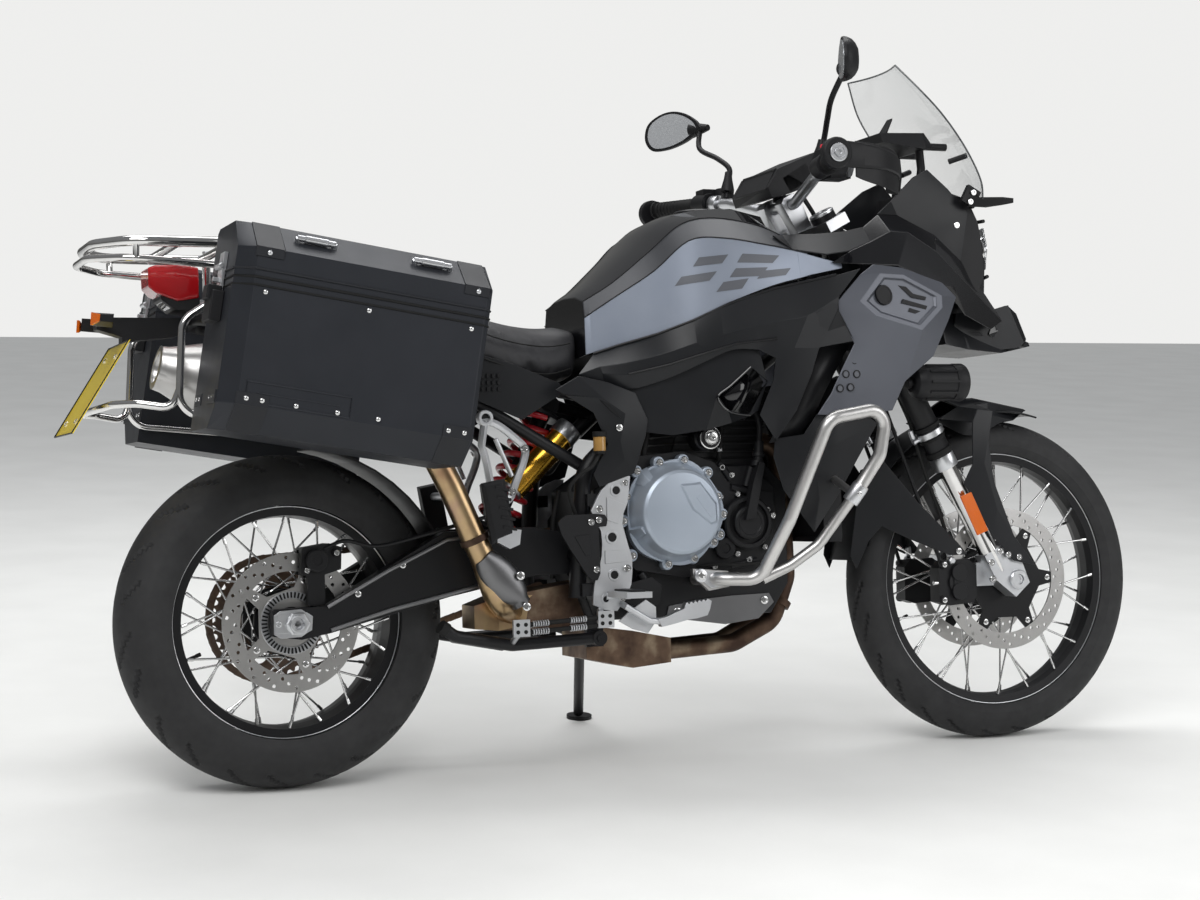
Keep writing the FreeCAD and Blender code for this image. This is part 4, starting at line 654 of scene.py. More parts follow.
UNPARK = PARK.inverted()
NODE_LOOKS = {
    "front_tyre": ("tyre_rubber", 0), "rear_tyre": ("tyre_rubber", 0),
    "front_rim": ("alloy_black", 0), "rear_rim": ("alloy_black", 0),
    "front_hub": ("alloy_black", 0), "rear_hub": ("alloy_black", 0),
    "front_spokes": ("steel_bright", 0), "rear_spokes": ("steel_bright", 0),
    "front_discs": ("disc_steel", 0.4), "rear_disc": ("disc_steel", 0.4),
    "rear_sprocket": ("chain_steel", 0.6), "drive_chain": ("chain_steel", 0),
    "front_axle": ("alloy_satin", 0.6), "rear_axle": ("alloy_satin", 0.6),
    "main_frame": ("frame_black", 2.0), "rear_subframe": ("frame_black", 1.5),
    "engine_block": ("engine_black", 4.0), "clutch_cover": ("cover_blue_grey", 1.0),
    "engine_covers": ("engine_black", 1.5), "radiator": ("engine_black", 1.5),
    "exhaust_pipes": ("exhaust_brown", 1.0), "exhaust_heat_shield": ("alloy_cast", 0.6),
    "silencer": ("steel_brushed", 0.8), "swing_arm": ("frame_black", 2.5),
    "rear_shock": ("gold_alloy", 1.0), "rear_caliper": ("engine_black", 2.0),
    "rear_hugger": ("plastic_black", 1.2), "pannier_cases": ("case_coat", 1.8),
    "pannier_lid_right": ("case_coat", 2.2), "pannier_lid_left": ("case_coat", 2.2),
    "pannier_carriers": ("chrome", 0.5), "luggage_rack": ("chrome", 0.5),
    "fuel_tank": ("gloss_black", 2.0), "seat": ("seat_vinyl", 4.0),
    "side_fairings": ("plastic_side", 1.6), "cowls": ("cowl_grey", 1.6),
    "side_covers": ("plastic_side", 1.6), "beak": ("plastic_side", 2.0),
    "headlight": ("plastic_black", 2.5), "instrument_hood": ("plastic_black", 2.0),
    "windscreen": ("screen_clear", 0), "fog_lamps": ("plastic_black", 1.0),
    "crash_bars": ("bar_steel", 0.8), "tail_light": ("lens_red", 2.5),
    "plate_holder": ("plastic_black", 1.5), "number_plate": ("plate_yellow", 0.4),
    "footrests": ("alloy_satin", 1.0), "foot_controls": ("engine_black", 1.2),
    "triple_clamps": ("alloy_satin", 2.0), "fork_tubes": ("satin_black", 0.6),
    "fork_legs": ("alloy_cast", 1.2), "handlebar": ("alloy_satin", 1.0),
    "grips": ("rubber_black", 1.0), "hand_guards": ("plastic_black", 2.0),
    "mirrors": ("plastic_black", 2.5), "display": ("plastic_black", 2.5),
    "front_fender": ("plastic_side", 1.2), "front_calipers": ("engine_black", 1.5),
    "side_stand": ("frame_black", 1.0), "centre_stand": ("frame_black", 1.0),
}


# Wheels

GROOVE_WIDTH = math.radians(1.9)


def groove_depth(turn, share, grooves, slant, depth):
    """How deep the tread is cut: slanted grooves from near the crown out to the shoulder."""
    if not 0.1 < share < 0.94:
        return 0.0
    step = 2 * math.pi / grooves
    beside = (turn + slant * share) / step
    number = math.floor(beside)
    inner = 0.42 if number % 2 else 0.1
    outer = 0.94 if number % 2 else 0.8
    if not inner < share < outer:
        return 0.0
    return depth if abs(beside - number - 0.5) < 0.5 * GROOVE_WIDTH / step else 0.0


def tyre(name, hub, outer, section, flange, body, shoulder, grooves):
    """A road tyre: slanted grooves over the crown, plain ringed sidewalls below."""
    steps = 540
    cells = 40
    middle = outer - section
    bead = math.acos((flange + 1.2 - middle) / section)
    made = Shape()
    corners = []
    for i in range(steps):
        turn = 2 * math.pi * i / steps
        for j in range(cells + 1):
            angle = -bead + 2 * bead * j / cells
            share = abs(angle) / shoulder
            lead = turn if angle > 0 else turn + math.pi / grooves
            depth = groove_depth(lead, share, grooves, 0.32, 4.5)
            if 1.28 < share < 1.36 or 1.62 < share < 1.7:
                depth = -0.9
            reach = section - depth
            radius = middle + reach * math.cos(angle)
            corners.append((hub.x + radius * math.cos(turn), reach * math.sin(angle),
                            hub.z + radius * math.sin(turn)))
    faces = []
    count = cells + 1
    for i in range(steps):
        for j in range(cells):
            a = i * count + j
            b = (i + 1) % steps * count + j
            faces.append((a, b, b + 1, a + 1))
    made.take(corners, faces)
    edge = section * math.sin(bead)
    inner = [[Vector((hub.x + (flange + 1.2) * math.cos(t), side,
                      hub.z + (flange + 1.2) * math.sin(t)))
              for t in turns(120)] for side in (-edge, edge)]
    made.rings(inner, caps=False)
    made.make(name + "_tread", body, "tyre_rubber", (name,), angle=24)


SPOKES = 40


def spoke_ends(hub, hub_radius, hub_side, rim_radius, rim_side):
    """Both ends of each spoke, from the hub to the rim, leaning to and fro in pairs."""
    for i in range(SPOKES):
        side = 1 if i % 2 else -1
        lean = 1 if (i // 2) % 2 else -1
        rim_turn = 2 * math.pi * i / SPOKES
        hub_turn = rim_turn + lean * math.radians(62)
        inner = Vector((hub.x + hub_radius * math.cos(hub_turn), side * (hub_side + 3 * lean),
                        hub.z + hub_radius * math.sin(hub_turn)))
        outer = Vector((hub.x + rim_radius * math.cos(rim_turn), side * rim_side,
                        hub.z + rim_radius * math.sin(rim_turn)))
        yield inner, outer


def wheel_trim(name, hub, flange, rim_half, rise, hub_side, body):
    """The bright edge lines, spoke nipples and valve of one wheel."""
    edge = Shape()
    for side in (-1, 1):
        edge.tube([around(hub, flange - 0.9, math.degrees(t), side * (rim_half - 0.3))
                   for t in turns(144)], 1.2, 8, closed=True)
    edge.make(name + "_rim_line", body, "alloy_satin")
    nipples = Shape()
    for inner, outer in spoke_ends(hub, rise + 2.6, hub_side, flange - 20.0, rim_half - 6):
        along = (outer - inner).normalized()
        nipples.rod(outer - along * 12, outer + along * 0.5, 3.3, 8)
        nipples.rod(inner - along * 2, inner + along * 4, 3.0, 8)
    nipples.make(name + "_nipples", body, "steel_bright")
    valve = Shape()
    valve.rod(around(hub, flange - 19, 200), around(hub, flange - 54, 200), 3.2, 12)
    valve.rod(around(hub, flange - 46, 200), around(hub, flange - 56, 200), 4.0, 12)
    valve.make(name + "_valve", body, "rubber_black")


def disc_bolts(name, hub, radius, count, sides, body, inner):
    """The bolts that hold the discs, the rivets between, and the hub's own bolts."""
    bolts = Shape()
    for side in sides:
        out = (0, 1 if side > 0 else -1, 0)
        for i in range(count):
            bolts.bolt(around(hub, radius, 360.0 / count * i, side), out, 6.5, 3.0)
        for i in range(inner[1]):
            bolts.rivet(around(hub, inner[0], 360.0 / inner[1] * (i + 0.5), inner[2]
                               if side > 0 else -inner[2]), out, 3.6)
    bolts.make(name + "_disc_bolts", body, "steel_bright")


def axle_nuts():
    """The stepped and six-sided ends of both axles, and the rear one's plate."""
    nuts = Shape()
    nuts.turned((FRONT_AXLE.x, -121.3, FRONT_AXLE.z), (0, -1, 0),
                ((0, 21), (6, 21), (8, 19), (8, 11), (2, 10.5)), 32)
    nuts.turned((FRONT_AXLE.x, 121.3, FRONT_AXLE.z), (0, 1, 0),
                ((0, 16), (9, 16), (10, 14), (10, 7), (4, 7)), 6)
    nuts.make("front_axle_nut", "steering", "alloy_satin")
    rear = Shape()
    rear.slab(((-44, 304), (16, 302), (28, 308), (30, 334), (18, 342), (-38, 340)), -134, -127.4)
    rear.turned((0, -134, REAR_AXLE.z), (0, -1, 0),
                ((0, 24), (8, 24), (10, 21), (10, 12), (3, 11)), 6)
    rear.turned((0, -134, REAR_AXLE.z), (0, -1, 0),
                ((0, 17), (14, 17), (15, 16), (15, 11), (3, 11)), 32)
    rear.mirror()
    rear.make("rear_axle_nut", "chassis", "alloy_satin", bevel=0.8)


FRONT_FLANGE = 274.0
REAR_FLANGE = 222.0
FRONT_SECTION = 45.0
FRONT_SHOULDER = math.radians(60)
REAR_SHOULDER = math.radians(54)


def wheels():
    """Treads, rim lines, spoke nipples, valves, disc bolts and axle nuts of both wheels."""
    tyre("front_tyre", FRONT_AXLE, FRONT_AXLE.z, FRONT_SECTION, FRONT_FLANGE, "front_wheel",
         FRONT_SHOULDER, 26)
    tyre("rear_tyre", REAR_AXLE, REAR_AXLE.z, REAR_SECTION, REAR_FLANGE, "rear_wheel",
         REAR_SHOULDER, 22)
    wheel_trim("front", FRONT_AXLE, FRONT_FLANGE, 32.0, 58.0, 38.0, "front_wheel")
    wheel_trim("rear", REAR_AXLE, REAR_FLANGE, 58.0, 64.0, 48.0, "rear_wheel")
    disc_bolts("front", FRONT_AXLE, 106, 6, (-71.5, 71.5), "front_wheel", (44, 6, 62))
    disc_bolts("rear", REAR_AXLE, 84, 5, (-86.5,), "rear_wheel", (70, 10, 62))
    axle_nuts()


# Chain

CHAIN_PITCH = 15.9
CHAIN_REACH = 121.5
CHAIN_SIDE = 87.5


def chain_points():
    """Places of the pins along both runs and round the sprocket."""
    reach = CHAIN_REACH
    rise, climb = math.radians(3.5), math.radians(17)
    top = Vector((-reach * math.sin(rise), 0, REAR_AXLE.z + reach * math.cos(rise)))
    low = Vector((reach * math.sin(climb), 0, REAR_AXLE.z - reach * math.cos(climb)))
    start = top + Vector((math.cos(rise), 0, math.sin(rise))) * 604
    end = low + Vector((math.cos(climb), 0, math.sin(climb))) * 570
    first, last = math.radians(90) + rise, math.radians(270) + climb
    points = []
    run = (start - top).length
    for i in range(int(run / CHAIN_PITCH)):
        points.append(start + (top - start) * (i * CHAIN_PITCH / run))
    bow = (last - first) * reach
    for i in range(int(bow / CHAIN_PITCH) + 1):
        points.append(around(REAR_AXLE, reach, math.degrees(first + i * CHAIN_PITCH / reach)))
    run = (end - low).length
    for i in range(1, int(run / CHAIN_PITCH) + 1):
        points.append(low + (end - low) * (i * CHAIN_PITCH / run))
    return points


def chain():
    """Side plates and pins of every link along the runs."""
    made = Shape()
    points = chain_points()
    for i, (a, b) in enumerate(zip(points, points[1:])):
        along = (b - a).normalized()
        up = Vector((-along.z, 0, along.x))
        offset = 5.4 if i % 2 else 7.2
        outline = []
        for t in turns(12):
            end = b if math.cos(t) > 0 else a
            p = end + along * math.cos(t) * 5.4 + up * math.sin(t) * 6.4
            outline.append((p.x, p.z))
        for side in (-1, 1):
            y = CHAIN_SIDE + side * offset
            made.slab(outline, y - 0.8, y + 0.8)
        made.rod((a.x, CHAIN_SIDE - 8.6, a.z), (a.x, CHAIN_SIDE + 8.6, a.z), 3.4, 8)
    made.make("drive_chain_links", "chassis", "chain_steel", ("drive_chain",))


# Tank

# Along x: side and height of the low edge, the panel, the band and the crest, then the
# heights of the ridge and of the floor
TANK = (
    (604, (115, 829), (112, 905), (104, 938), (60, 950), 953, 826),
    (660, (140, 847), (138, 944), (128, 975), (70, 988), 992, 842),
    (732, (178, 868), (172, 994), (150, 1036), (82, 1052), 1056, 862),
    (795, (218, 893), (205, 1052), (168, 1090), (90, 1108), 1113, 880),
    (867, (234, 926), (220, 1057), (172, 1104), (95, 1130), 1136, 880),
    (960, (236, 960), (224, 1045), (172, 1092), (88, 1132), 1138, 925),
    (1030, (228, 978), (218, 1035), (165, 1068), (72, 1104), 1110, 955),
    (1056, (222, 984), (214, 1031), (158, 1056), (64, 1078), 1084, 968),
)
TANK_STEPS = 5
FLOOR_SHARE = 0.72
TANK_STRIPS = ("gloss_black", "panel_light", "band_grey", "gloss_black", "gloss_black",
               "gloss_black", "gloss_black", "band_grey", "panel_light", "gloss_black",
               "gloss_black")


def tank_lines():
    """Lines along the tank: floor, low, panel, band and crest of one side, and the ridge."""
    sides = [curved([(row[0], *row[1 + i]) for row in TANK], TANK_STEPS) for i in range(4)]
    ridge = curved([(row[0], 0, row[5]) for row in TANK], TANK_STEPS)
    floor = curved([(row[0], row[1][0] * FLOOR_SHARE, row[6]) for row in TANK], TANK_STEPS)
    return [floor] + sides + [ridge]


def tank_side(x, z, lift=0.0):
    """A point of the tank's right side panel, by x and height, lifted off it by a distance."""
    low, panel = tank_lines()[1:3]
    for i in range(len(low) - 2):
        if low[i + 1].x >= x:
            break
    share = (x - low[i].x) / (low[i + 1].x - low[i].x)
    foot = low[i].lerp(low[i + 1], share)
    head = panel[i].lerp(panel[i + 1], share)
    rise = (z - foot.z) / (head.z - foot.z)
    return Vector((x, -(foot.y + (head.y - foot.y) * rise + lift), z))


def tank():
    """The tank's skin with its paint bands, and the light wings in front."""
    lines = tank_lines()
    rings = []
    for floor, low, panel, band, crest, ridge in zip(*lines):
        half = [floor, low, panel, band, crest]
        rings.append([Vector((p.x, -p.y, p.z)) for p in half] + [ridge] + list(reversed(half)))
    made = Shape()
    made.rings(rings)
    obj = made.make("tank_skin", "chassis", "gloss_black", ("fuel_tank",), angle=24)
    finishes = ("gloss_black", "band_grey", "panel_light")
    for name in finishes[1:]:
        obj.data.materials.append(MATERIALS[name])
    strips = len(TANK_STRIPS)
    for polygon in list(obj.data.polygons)[:(len(rings) - 1) * strips]:
        polygon.material_index = finishes.index(TANK_STRIPS[polygon.index % strips])
    soften(obj, 2.4, 3, 13.0)
    wings = Shape()
    wings.rings([[(1030, -y, z) for y, z in ((200, 990), (228, 980), (219, 1034), (190, 1034))],
                 [(1140, -y, z) for y, z in ((196, 1006), (204, 1003), (203, 1013), (196, 1015))]])
    wings.mirror()
    wings.make("tank_wings", "chassis", "panel_light", bevel=1.5)
    tank_trim()


def tank_trim():
    """The shadow gaps beside the grey band, the filler cap and a plain motif of slanted bars."""
    lines = tank_lines()
    # Painted shade: thin black tubes along both edges of the grey band stand in for the shade in
    # the gaps there.
    seam = Shape()
    for side in (-1, 1):
        for line in (lines[2], lines[3]):
            seam.tube([(p.x, side * (p.y + 0.4), p.z + 0.3) for p in line], 1.3, 6)
    seam.make("tank_gap_shade_lines", "chassis", "plastic_black")
    motif = Shape()
    for outline in MOTIF:
        patch(motif, outline)
    motif.mirror()
    motif.make("tank_motif", "chassis", "panel_mid")
    cap = Shape()
    cap.turned((905, 0, 1133), (-0.02, 0, 1),
               ((0, 46), (5, 46), (8, 42), (8, 30), (6, 28), (6, 0.1)), 48)
    cap.box((905, 0, 1141), (46, 13, 6))
    cap.make("filler_cap", "chassis", "alloy_black", bevel=0.8)


def patch(shape, outline, rows=6):
    """A thin four-cornered patch laid on the tank's right side panel."""
    a, b, c, d = [Vector((x, 0, z)) for x, z in outline]
    rings = []
    for i in range(rows + 1):
        left, right = a.lerp(d, i / rows), b.lerp(c, i / rows)
        ring = [tank_side(p.x, p.z, lift) for p, lift in
                ((left, 0.7), (left.lerp(right, 0.5), 0.7), (right, 0.7),
                 (right, -1.5), (left.lerp(right, 0.5), -1.5), (left, -1.5))]
        rings.append(ring)
    shape.rings(rings)


MOTIF = (
    ((800, 1000), (812, 1018), (872, 1024), (858, 1006)),
    ((766, 962), (778, 980), (846, 990), (830, 971)),
    ((842, 948), (858, 968), (912, 976), (896, 955)),
    ((890, 1008), (903, 1026), (985, 1024), (968, 1008)),
    ((872, 978), (886, 996), (956, 999), (940, 981)),
    ((930, 975), (946, 992), (1010, 999), (996, 984)),
)


# Seat

# Along x: half width, and the heights of the foot and of the top
SEAT = (
    (-85, 125, 902, 985), (60, 140, 877, 983), (200, 150, 850, 968), (300, 154, 826, 936),
    (360, 154, 806, 908), (440, 144, 782, 886), (520, 120, 772, 880), (596, 88, 790, 892),
)


def seat_rings(shrink, drop):
    """Rings of the seat's soft form, narrowed and lowered by two margins."""
    spine = curved([(x, half, low) for x, half, low, _ in SEAT], 4)
    tops = curved([(x, 0, top) for x, _, _, top in SEAT], 4)
    rings = []
    for foot, head in zip(spine, tops):
        x, half, low, top = foot.x, foot.y - shrink, foot.z + 3, head.z - drop
        section = ((0.93 * half, low), (half, low + 16), (half, top - 34), (0.93 * half, top - 15),
                   (0.8 * half, top - 5), (0.55 * half, top))
        right = [Vector((x, -y, z)) for y, z in section]
        left = [Vector((x, y, z)) for y, z in reversed(section)]
        rings.append(right + left)
    return rings


def seat():
    """The pad is remeshed and swollen a little under pressure, then held close to its form."""
    made = Shape()
    made.rings(seat_rings(5.0, 5.0))
    obj = made.make("seat_pad", "chassis", "seat_vinyl", ("seat",), angle=60)
    swell(obj, 0.005, 0.012)
    seams = Shape()
    for side in (-1, 1):
        for height in (2, 1):
            corners = [ring[height] for ring in seat_rings(0.0, 0.0)[2:-1]]
            seams.tube([(c.x, side * (abs(c.y) + 0.6), c.z) for c in corners], 1.5, 8)
    seams.make("seat_seams", "chassis", "rubber_black")


CLOTH_STEPS = 20


def swell(obj, size, limit):
    """Remeshes a pad and swells it by Cloth under pressure, no further than a limit."""
    place = obj.matrix_world.copy()
    remesh = obj.modifiers.new("remesh", "REMESH")
    remesh.mode = "VOXEL"
    remesh.voxel_size = size
    apply_all(obj)
    rest = [v.co.copy() for v in obj.data.vertices]
    cloth = obj.modifiers.new("cloth", "CLOTH")
    cloth.settings.use_pressure = True
    cloth.settings.uniform_pressure_force = 4.0
    cloth.settings.effector_weights.gravity = 0.0
    cloth.settings.tension_stiffness = 40.0
    cloth.settings.compression_stiffness = 40.0
    cloth.settings.mass = 0.4
    for step in range(1, CLOTH_STEPS + 1):
        bpy.context.scene.frame_set(step)
    apply_all(obj)
    bpy.context.scene.frame_set(1)
    for vertex, start in zip(obj.data.vertices, rest):
        away = vertex.co - start
        if away.length > limit:
            vertex.co = start + away * (limit / away.length)
    smooth = obj.modifiers.new("smooth", "SMOOTH")
    smooth.factor = 0.5
    smooth.iterations = 6
    finer = obj.modifiers.new("finer", "SUBSURF")
    finer.levels = finer.render_levels = 1
    apply_all(obj)
    for polygon in obj.data.polygons:
        polygon.use_smooth = True
    obj.matrix_world = place


def apply_all(obj):
    """Takes the mesh as its modifiers leave it, and drops them."""
    bpy.context.view_layer.update()
    graph = bpy.context.evaluated_depsgraph_get()
    mesh = bpy.data.meshes.new_from_object(obj.evaluated_get(graph))
    obj.modifiers.clear()
    obj.data = mesh


# Bodywork

def net(name, corners, faces, material, replaces=(), depth=3.0, bevel=2.5, angle=14.0,
        body="chassis", smooth=30.0):
    """A creased panel on both sides: faces name their corners, and the sheet has a thickness."""
    made = Shape()
    keys = list(corners)
    for side in (-1, 1):
        places = [Vector((x, -side * y, z)) for x, y, z in corners.values()]
        loops = []
        for face in faces:
            loop = [keys.index(key) for key in face.split()]
            a, b, c = (places[i] for i in loop[:3])
            loops.append(loop if (b - a).cross(c - a).y * side > 0 else loop[::-1])
        made.take(places, loops)
    mesh = bpy.data.meshes.new(name)
    mesh.from_pydata([tuple(c) for c in made.corners], [], made.faces)
    obj = new_piece(name, mesh, body, material, replaces, angle=smooth)
    sheet = obj.modifiers.new("sheet", "SOLIDIFY")
    sheet.thickness = depth * MM
    sheet.offset = -1.0
    if bevel:
        soften(obj, bevel, 3, angle)


FAIRING_STEPS = 4


def fairings():
    """The side fairing: lines along its top, ridge, groove and foot, then the lower blades.

    The slot behind the cowl and the shroud below are sheets of their own.
    """
    top = ((615, -128, 830), (660, -144, 845), (732, -182, 866), (795, -221, 891),
           (867, -238, 924), (960, -240, 953), (1030, -239, 968), (1104, -242, 984))
    ridge = ((612, -168, 803), (658, -187, 809), (732, -210, 826), (795, -230, 846),
             (867, -248, 866), (960, -257, 888), (1030, -259, 900), (1102, -254, 938))
    groove = ((616, -172, 789), (664, -190, 786), (738, -210, 802), (800, -231, 821),
              (876, -247, 843), (961, -253, 853))
    low = ((622, -166, 773), (668, -180, 757), (742, -198, 776), (806, -221, 804),
           (868, -238, 831), (923, -246, 832))
    corners = {"tip": (570, -158, 788), "end": (1164, -238, 1000), "notch": (1100, -254, 913),
               "tail": (1138, -250, 850), "slot": (1055, -255, 836), "hip": (1000, -256, 836),
               "b1": (959, -250, 815), "b2": (954, -246, 769), "b3": (927, -236, 702),
               "b4": (963, -226, 656), "m2": (996, -253, 780), "m3": (966, -243, 706),
               "s2": (1039, -252, 785), "s3": (1007, -242, 710), "s4": (968, -226, 651)}
    per = FAIRING_STEPS
    for key, row in (("t", top), ("r", ridge), ("g", groove), ("l", low)):
        for i, point in enumerate(curved(row, per)):
            corners["%s%d" % (key, i)] = tuple(point)
    faces = ["tip t0 r0", "tip r0 g0 l0"]
    for i in range(7 * per):
        faces.append("t%d t%d r%d r%d" % (i, i + 1, i + 1, i))
    for i in range(5 * per):
        faces.append("r%d r%d g%d g%d" % (i, i + 1, i + 1, i))
        faces.append("g%d g%d l%d l%d" % (i, i + 1, i + 1, i))
    last, hip = 7 * per, 5 * per
    faces += ["t%d end r%d" % (last, last), "g%d hip b1" % hip, "g%d b1 l%d" % (hip, hip),
              " ".join("r%d" % i for i in range(hip, hip + per + 1)) + " hip g%d" % hip,
              " ".join("r%d" % i for i in range(hip + per, last + 1)) + " notch slot hip",
              "notch tail slot", "b1 hip m2 b2", "b2 m2 m3 b3", "b3 m3 s4 b4",
              "hip slot s2 m2", "m2 s2 s3 m3", "m3 s3 s4"]
    net("fairing_skins", corners, faces, "plastic_side", ("side_fairings",))
    slit = {"a": (1052, -222, 846), "b": (1142, -222, 846), "c": (1084, -216, 746),
            "d": (1056, -212, 690), "e": (1020, -210, 655), "f": (960, -208, 646),
            "g": (1000, -212, 712), "h": (1034, -220, 786)}
    net("fairing_slots", slit, ["a b c h", "h c d g", "g d e f"], "satin_black", bevel=0)
    shroud = {"a": (970, -216, 655), "b": (966, -214, 618), "c": (990, -208, 550),
              "d": (1061, -202, 463), "e": (1119, -206, 543), "f": (1147, -210, 590),
              "g": (1207, -214, 684), "h": (1161, -220, 712), "i": (1063, -222, 704),
              "j": (1032, -222, 663), "m": (1050, -228, 620), "n": (1064, -220, 530)}
    net("shroud_skins", shroud, ["a b m j", "b c n m", "c d n", "d e n", "e f m n", "f g h m",
                                 "h i m", "i j m"], "plastic_side")
    groove_line = Shape()
    for side in (-1, 1):
        groove_line.tube([(x, -side * (y - 1.2), z + 1) for x, y, z in groove[1:]], 2.2, 8)
        groove_line.tube([(x, -side * (y - 0.5), z + 1.5) for x, y, z in top], 2.4, 8)
    groove_line.make("fairing_grooves", "chassis", "satin_black")


def mid_covers():
    """The airbox cover with its intake, and the smaller cover under the seat."""
    corners = {
        "a": (664, -172, 764), "b": (742, -190, 784), "c": (806, -212, 812), "d": (872, -228, 838),
        "e": (930, -236, 832), "f": (948, -232, 770), "g": (930, -224, 712), "h": (879, -206, 690),
        "i": (827, -196, 675), "j": (757, -188, 665), "k": (696, -184, 673), "l": (690, -180, 700),
        "p": (840, -224, 742), "q": (862, -226, 712), "r": (906, -230, 702), "s": (912, -234, 798)}
    net("airbox_covers", corners, [
        "a b j k", "a k l", "b c p i j", "c d s p", "p q h i", "q r g h", "d e s", "e f s",
        "f g r"], "plastic_side", ("side_covers",))
    scoop = {"a": (832, -204, 742), "b": (856, -204, 704), "c": (912, -206, 694),
             "d": (952, -206, 770), "e": (920, -210, 808)}
    net("intake_backs", scoop, ["a b c d e"], "gloss_black", bevel=0)
    lip = Shape()
    for side in (-1, 1):
        lip.tube([Vector((x, -side * (y - 1), z)) for x, y, z in curved((
            (910, -234, 798), (868, -229, 762), (841, -225, 741), (848, -226, 722),
            (864, -227, 710), (886, -229, 704), (908, -231, 702)), 6)], 2.2, 8)
    lip.make("intake_lips", "chassis", "gloss_black")
    rear = {
        "a": (512, -180, 757), "b": (560, -184, 784), "c": (620, -190, 771), "d": (676, -194, 750),
        "e": (702, -194, 695), "f": (696, -194, 664), "g": (671, -190, 590), "h": (598, -186, 565),
        "i": (586, -184, 590), "j": (616, -190, 649), "k": (588, -188, 711), "l": (533, -182, 745),
        "m": (606, -200, 738), "n": (650, -203, 708), "o": (640, -198, 655), "p": (648, -197, 620)}
    net("rear_side_covers", rear, [
        "a b m l", "b c m", "c d n m", "d e n", "e f o n", "f g p o", "g h i p", "i j o p",
        "j k n o", "k l m n"], "plastic_side", bevel=2.0)
    slash = Shape()
    for side in (-1, 1):
        slash.rings([[(x, -side * y, z) for x, y, z in (
            (596, -201, 735), (618, -202, 722), (640, -203, 700), (622, -201, 712))],
                     [(x, -side * (y - 1.5), z) for x, y, z in (
            (598, -201, 734), (618, -202, 723), (637, -203, 702), (621, -201, 713))]])
    slash.make("side_cover_darts", "chassis", "satin_black")
    bolts = Shape()
    for x, y, z in ((637, -199, 681), (596, -184, 655)):
        bolts.bolt((x, y, z), (0, -1, 0), 7.0, 3.5)
    bolts.mirror()
    bolts.make("side_cover_bolts", "chassis", "steel_bright")


def cowls():
    """The grey cowl with a sunk, rimmed field, plain marks, a blank disc and five holes."""
    corners = {
        "c1": (1197, -232, 1010), "c2": (1162, -241, 988), "c3": (1104, -248, 931),
        "c4": (1105, -250, 901), "c5": (1138, -251, 845), "c6": (1113, -248, 799),
        "c7": (1084, -246, 743), "c8": (1055, -240, 701), "c9": (1139, -238, 700),
        "c10": (1233, -232, 709), "c11": (1266, -230, 769), "c12": (1342, -218, 822),
        "c13": (1387, -210, 902), "c14": (1411, -201, 948), "c15": (1372, -210, 977),
        "c16": (1269, -224, 1005), "q": (1193, -252, 833), "w": (1190, -246, 770),
        "b1": (1206, -244, 990), "b2": (1150, -255, 931), "b3": (1185, -260, 902),
        "b4": (1299, -250, 874), "b5": (1360, -230, 922), "b6": (1362, -225, 948),
        "b7": (1263, -239, 988)}
    rim = ["b%d" % i for i in range(1, 8)]
    middle = sum((Vector(corners[key]) for key in rim), Vector()) / len(rim)
    for i, key in enumerate(rim):
        for name, share, depth in (("i", 0.84, 0.0), ("j", 0.78, 5.0)):
            p = middle + (Vector(corners[key]) - middle) * share
            corners[name + str(i + 1)] = (p.x, p.y + depth, p.z)
    faces = ["c1 c2 b1", "c2 c3 b2 b1", "c3 c4 b3 b2", "c4 c5 q b3", "c5 c6 q", "c6 c7 w q",
             "c7 c8 c9 w", "c9 c10 w", "c10 c11 w", "c11 q w", "c11 b4 q", "b3 q b4",
             "c11 c12 b4", "c12 c13 b5 b4", "c13 c14 b6 b5", "c14 c15 b6", "c15 c16 b7 b6",
             "c16 c1 b1 b7"]
    for i in range(7):
        a, b = i + 1, (i + 1) % 7 + 1
        faces.append("b%d b%d i%d i%d" % (a, b, b, a))
        faces.append("i%d i%d j%d j%d" % (a, b, b, a))
    faces.append(" ".join("j%d" % i for i in range(1, 8)))
    net("cowl_skins", corners, faces, "cowl_grey", ("cowls",), depth=3.5, bevel=1.6)
    p, q, r = (Vector(corners[key]) for key in ("j1", "j3", "j5"))
    facing = (q - p).cross(r - p)

    def on_recess(x, z, lift):
        """A place on the sunk field, or a little off it."""
        return (x, p.y - (facing.x * (x - p.x) + facing.z * (z - p.z)) / facing.y - lift, z)

    marks = Shape()
    for outline in (((1250, 966), (1262, 972), (1288, 950), (1322, 944), (1318, 937), (1284, 942)),
                    ((1256, 930), (1261, 938), (1322, 925), (1317, 917)),
                    ((1270, 912), (1275, 920), (1334, 906), (1329, 898))):
        marks.rings([[on_recess(x, z, lift) for x, z in outline] for lift in (-2.0, 1.0)])
    marks.mirror()
    marks.make("cowl_marks", "chassis", "plastic_black")
    disc = Shape()
    place = on_recess(1212, 945, -2.0)
    disc.turned(place, -facing if facing.y > 0 else facing, (
        (0, 21), (4, 21), (5, 20), (5, 17), (4.2, 16.5), (4.2, 0.1)), 40)
    disc.mirror()
    disc.make("cowl_blank_discs", "chassis", "plastic_black")
    holes = Shape()
    rings = Shape()
    for x, z in ((1138, 811), (1118, 783), (1143, 783), (1104, 754), (1128, 756)):
        depth = 248.0
        rings.turned((x, -depth + 3, z), (0, -1, 0),
                     ((0, 8.4), (3.5, 8.4), (3.9, 7.6), (3.9, 6.2), (0, 6)), 24)
        holes.turned((x, -depth + 3, z), (0, -1, 0), ((0, 6.2), (2.6, 6.2)), 24)
    rings.mirror()
    rings.make("cowl_hole_rings", "chassis", "plastic_side")
    holes.mirror()
    holes.make("cowl_holes", "chassis", "panel_mid")


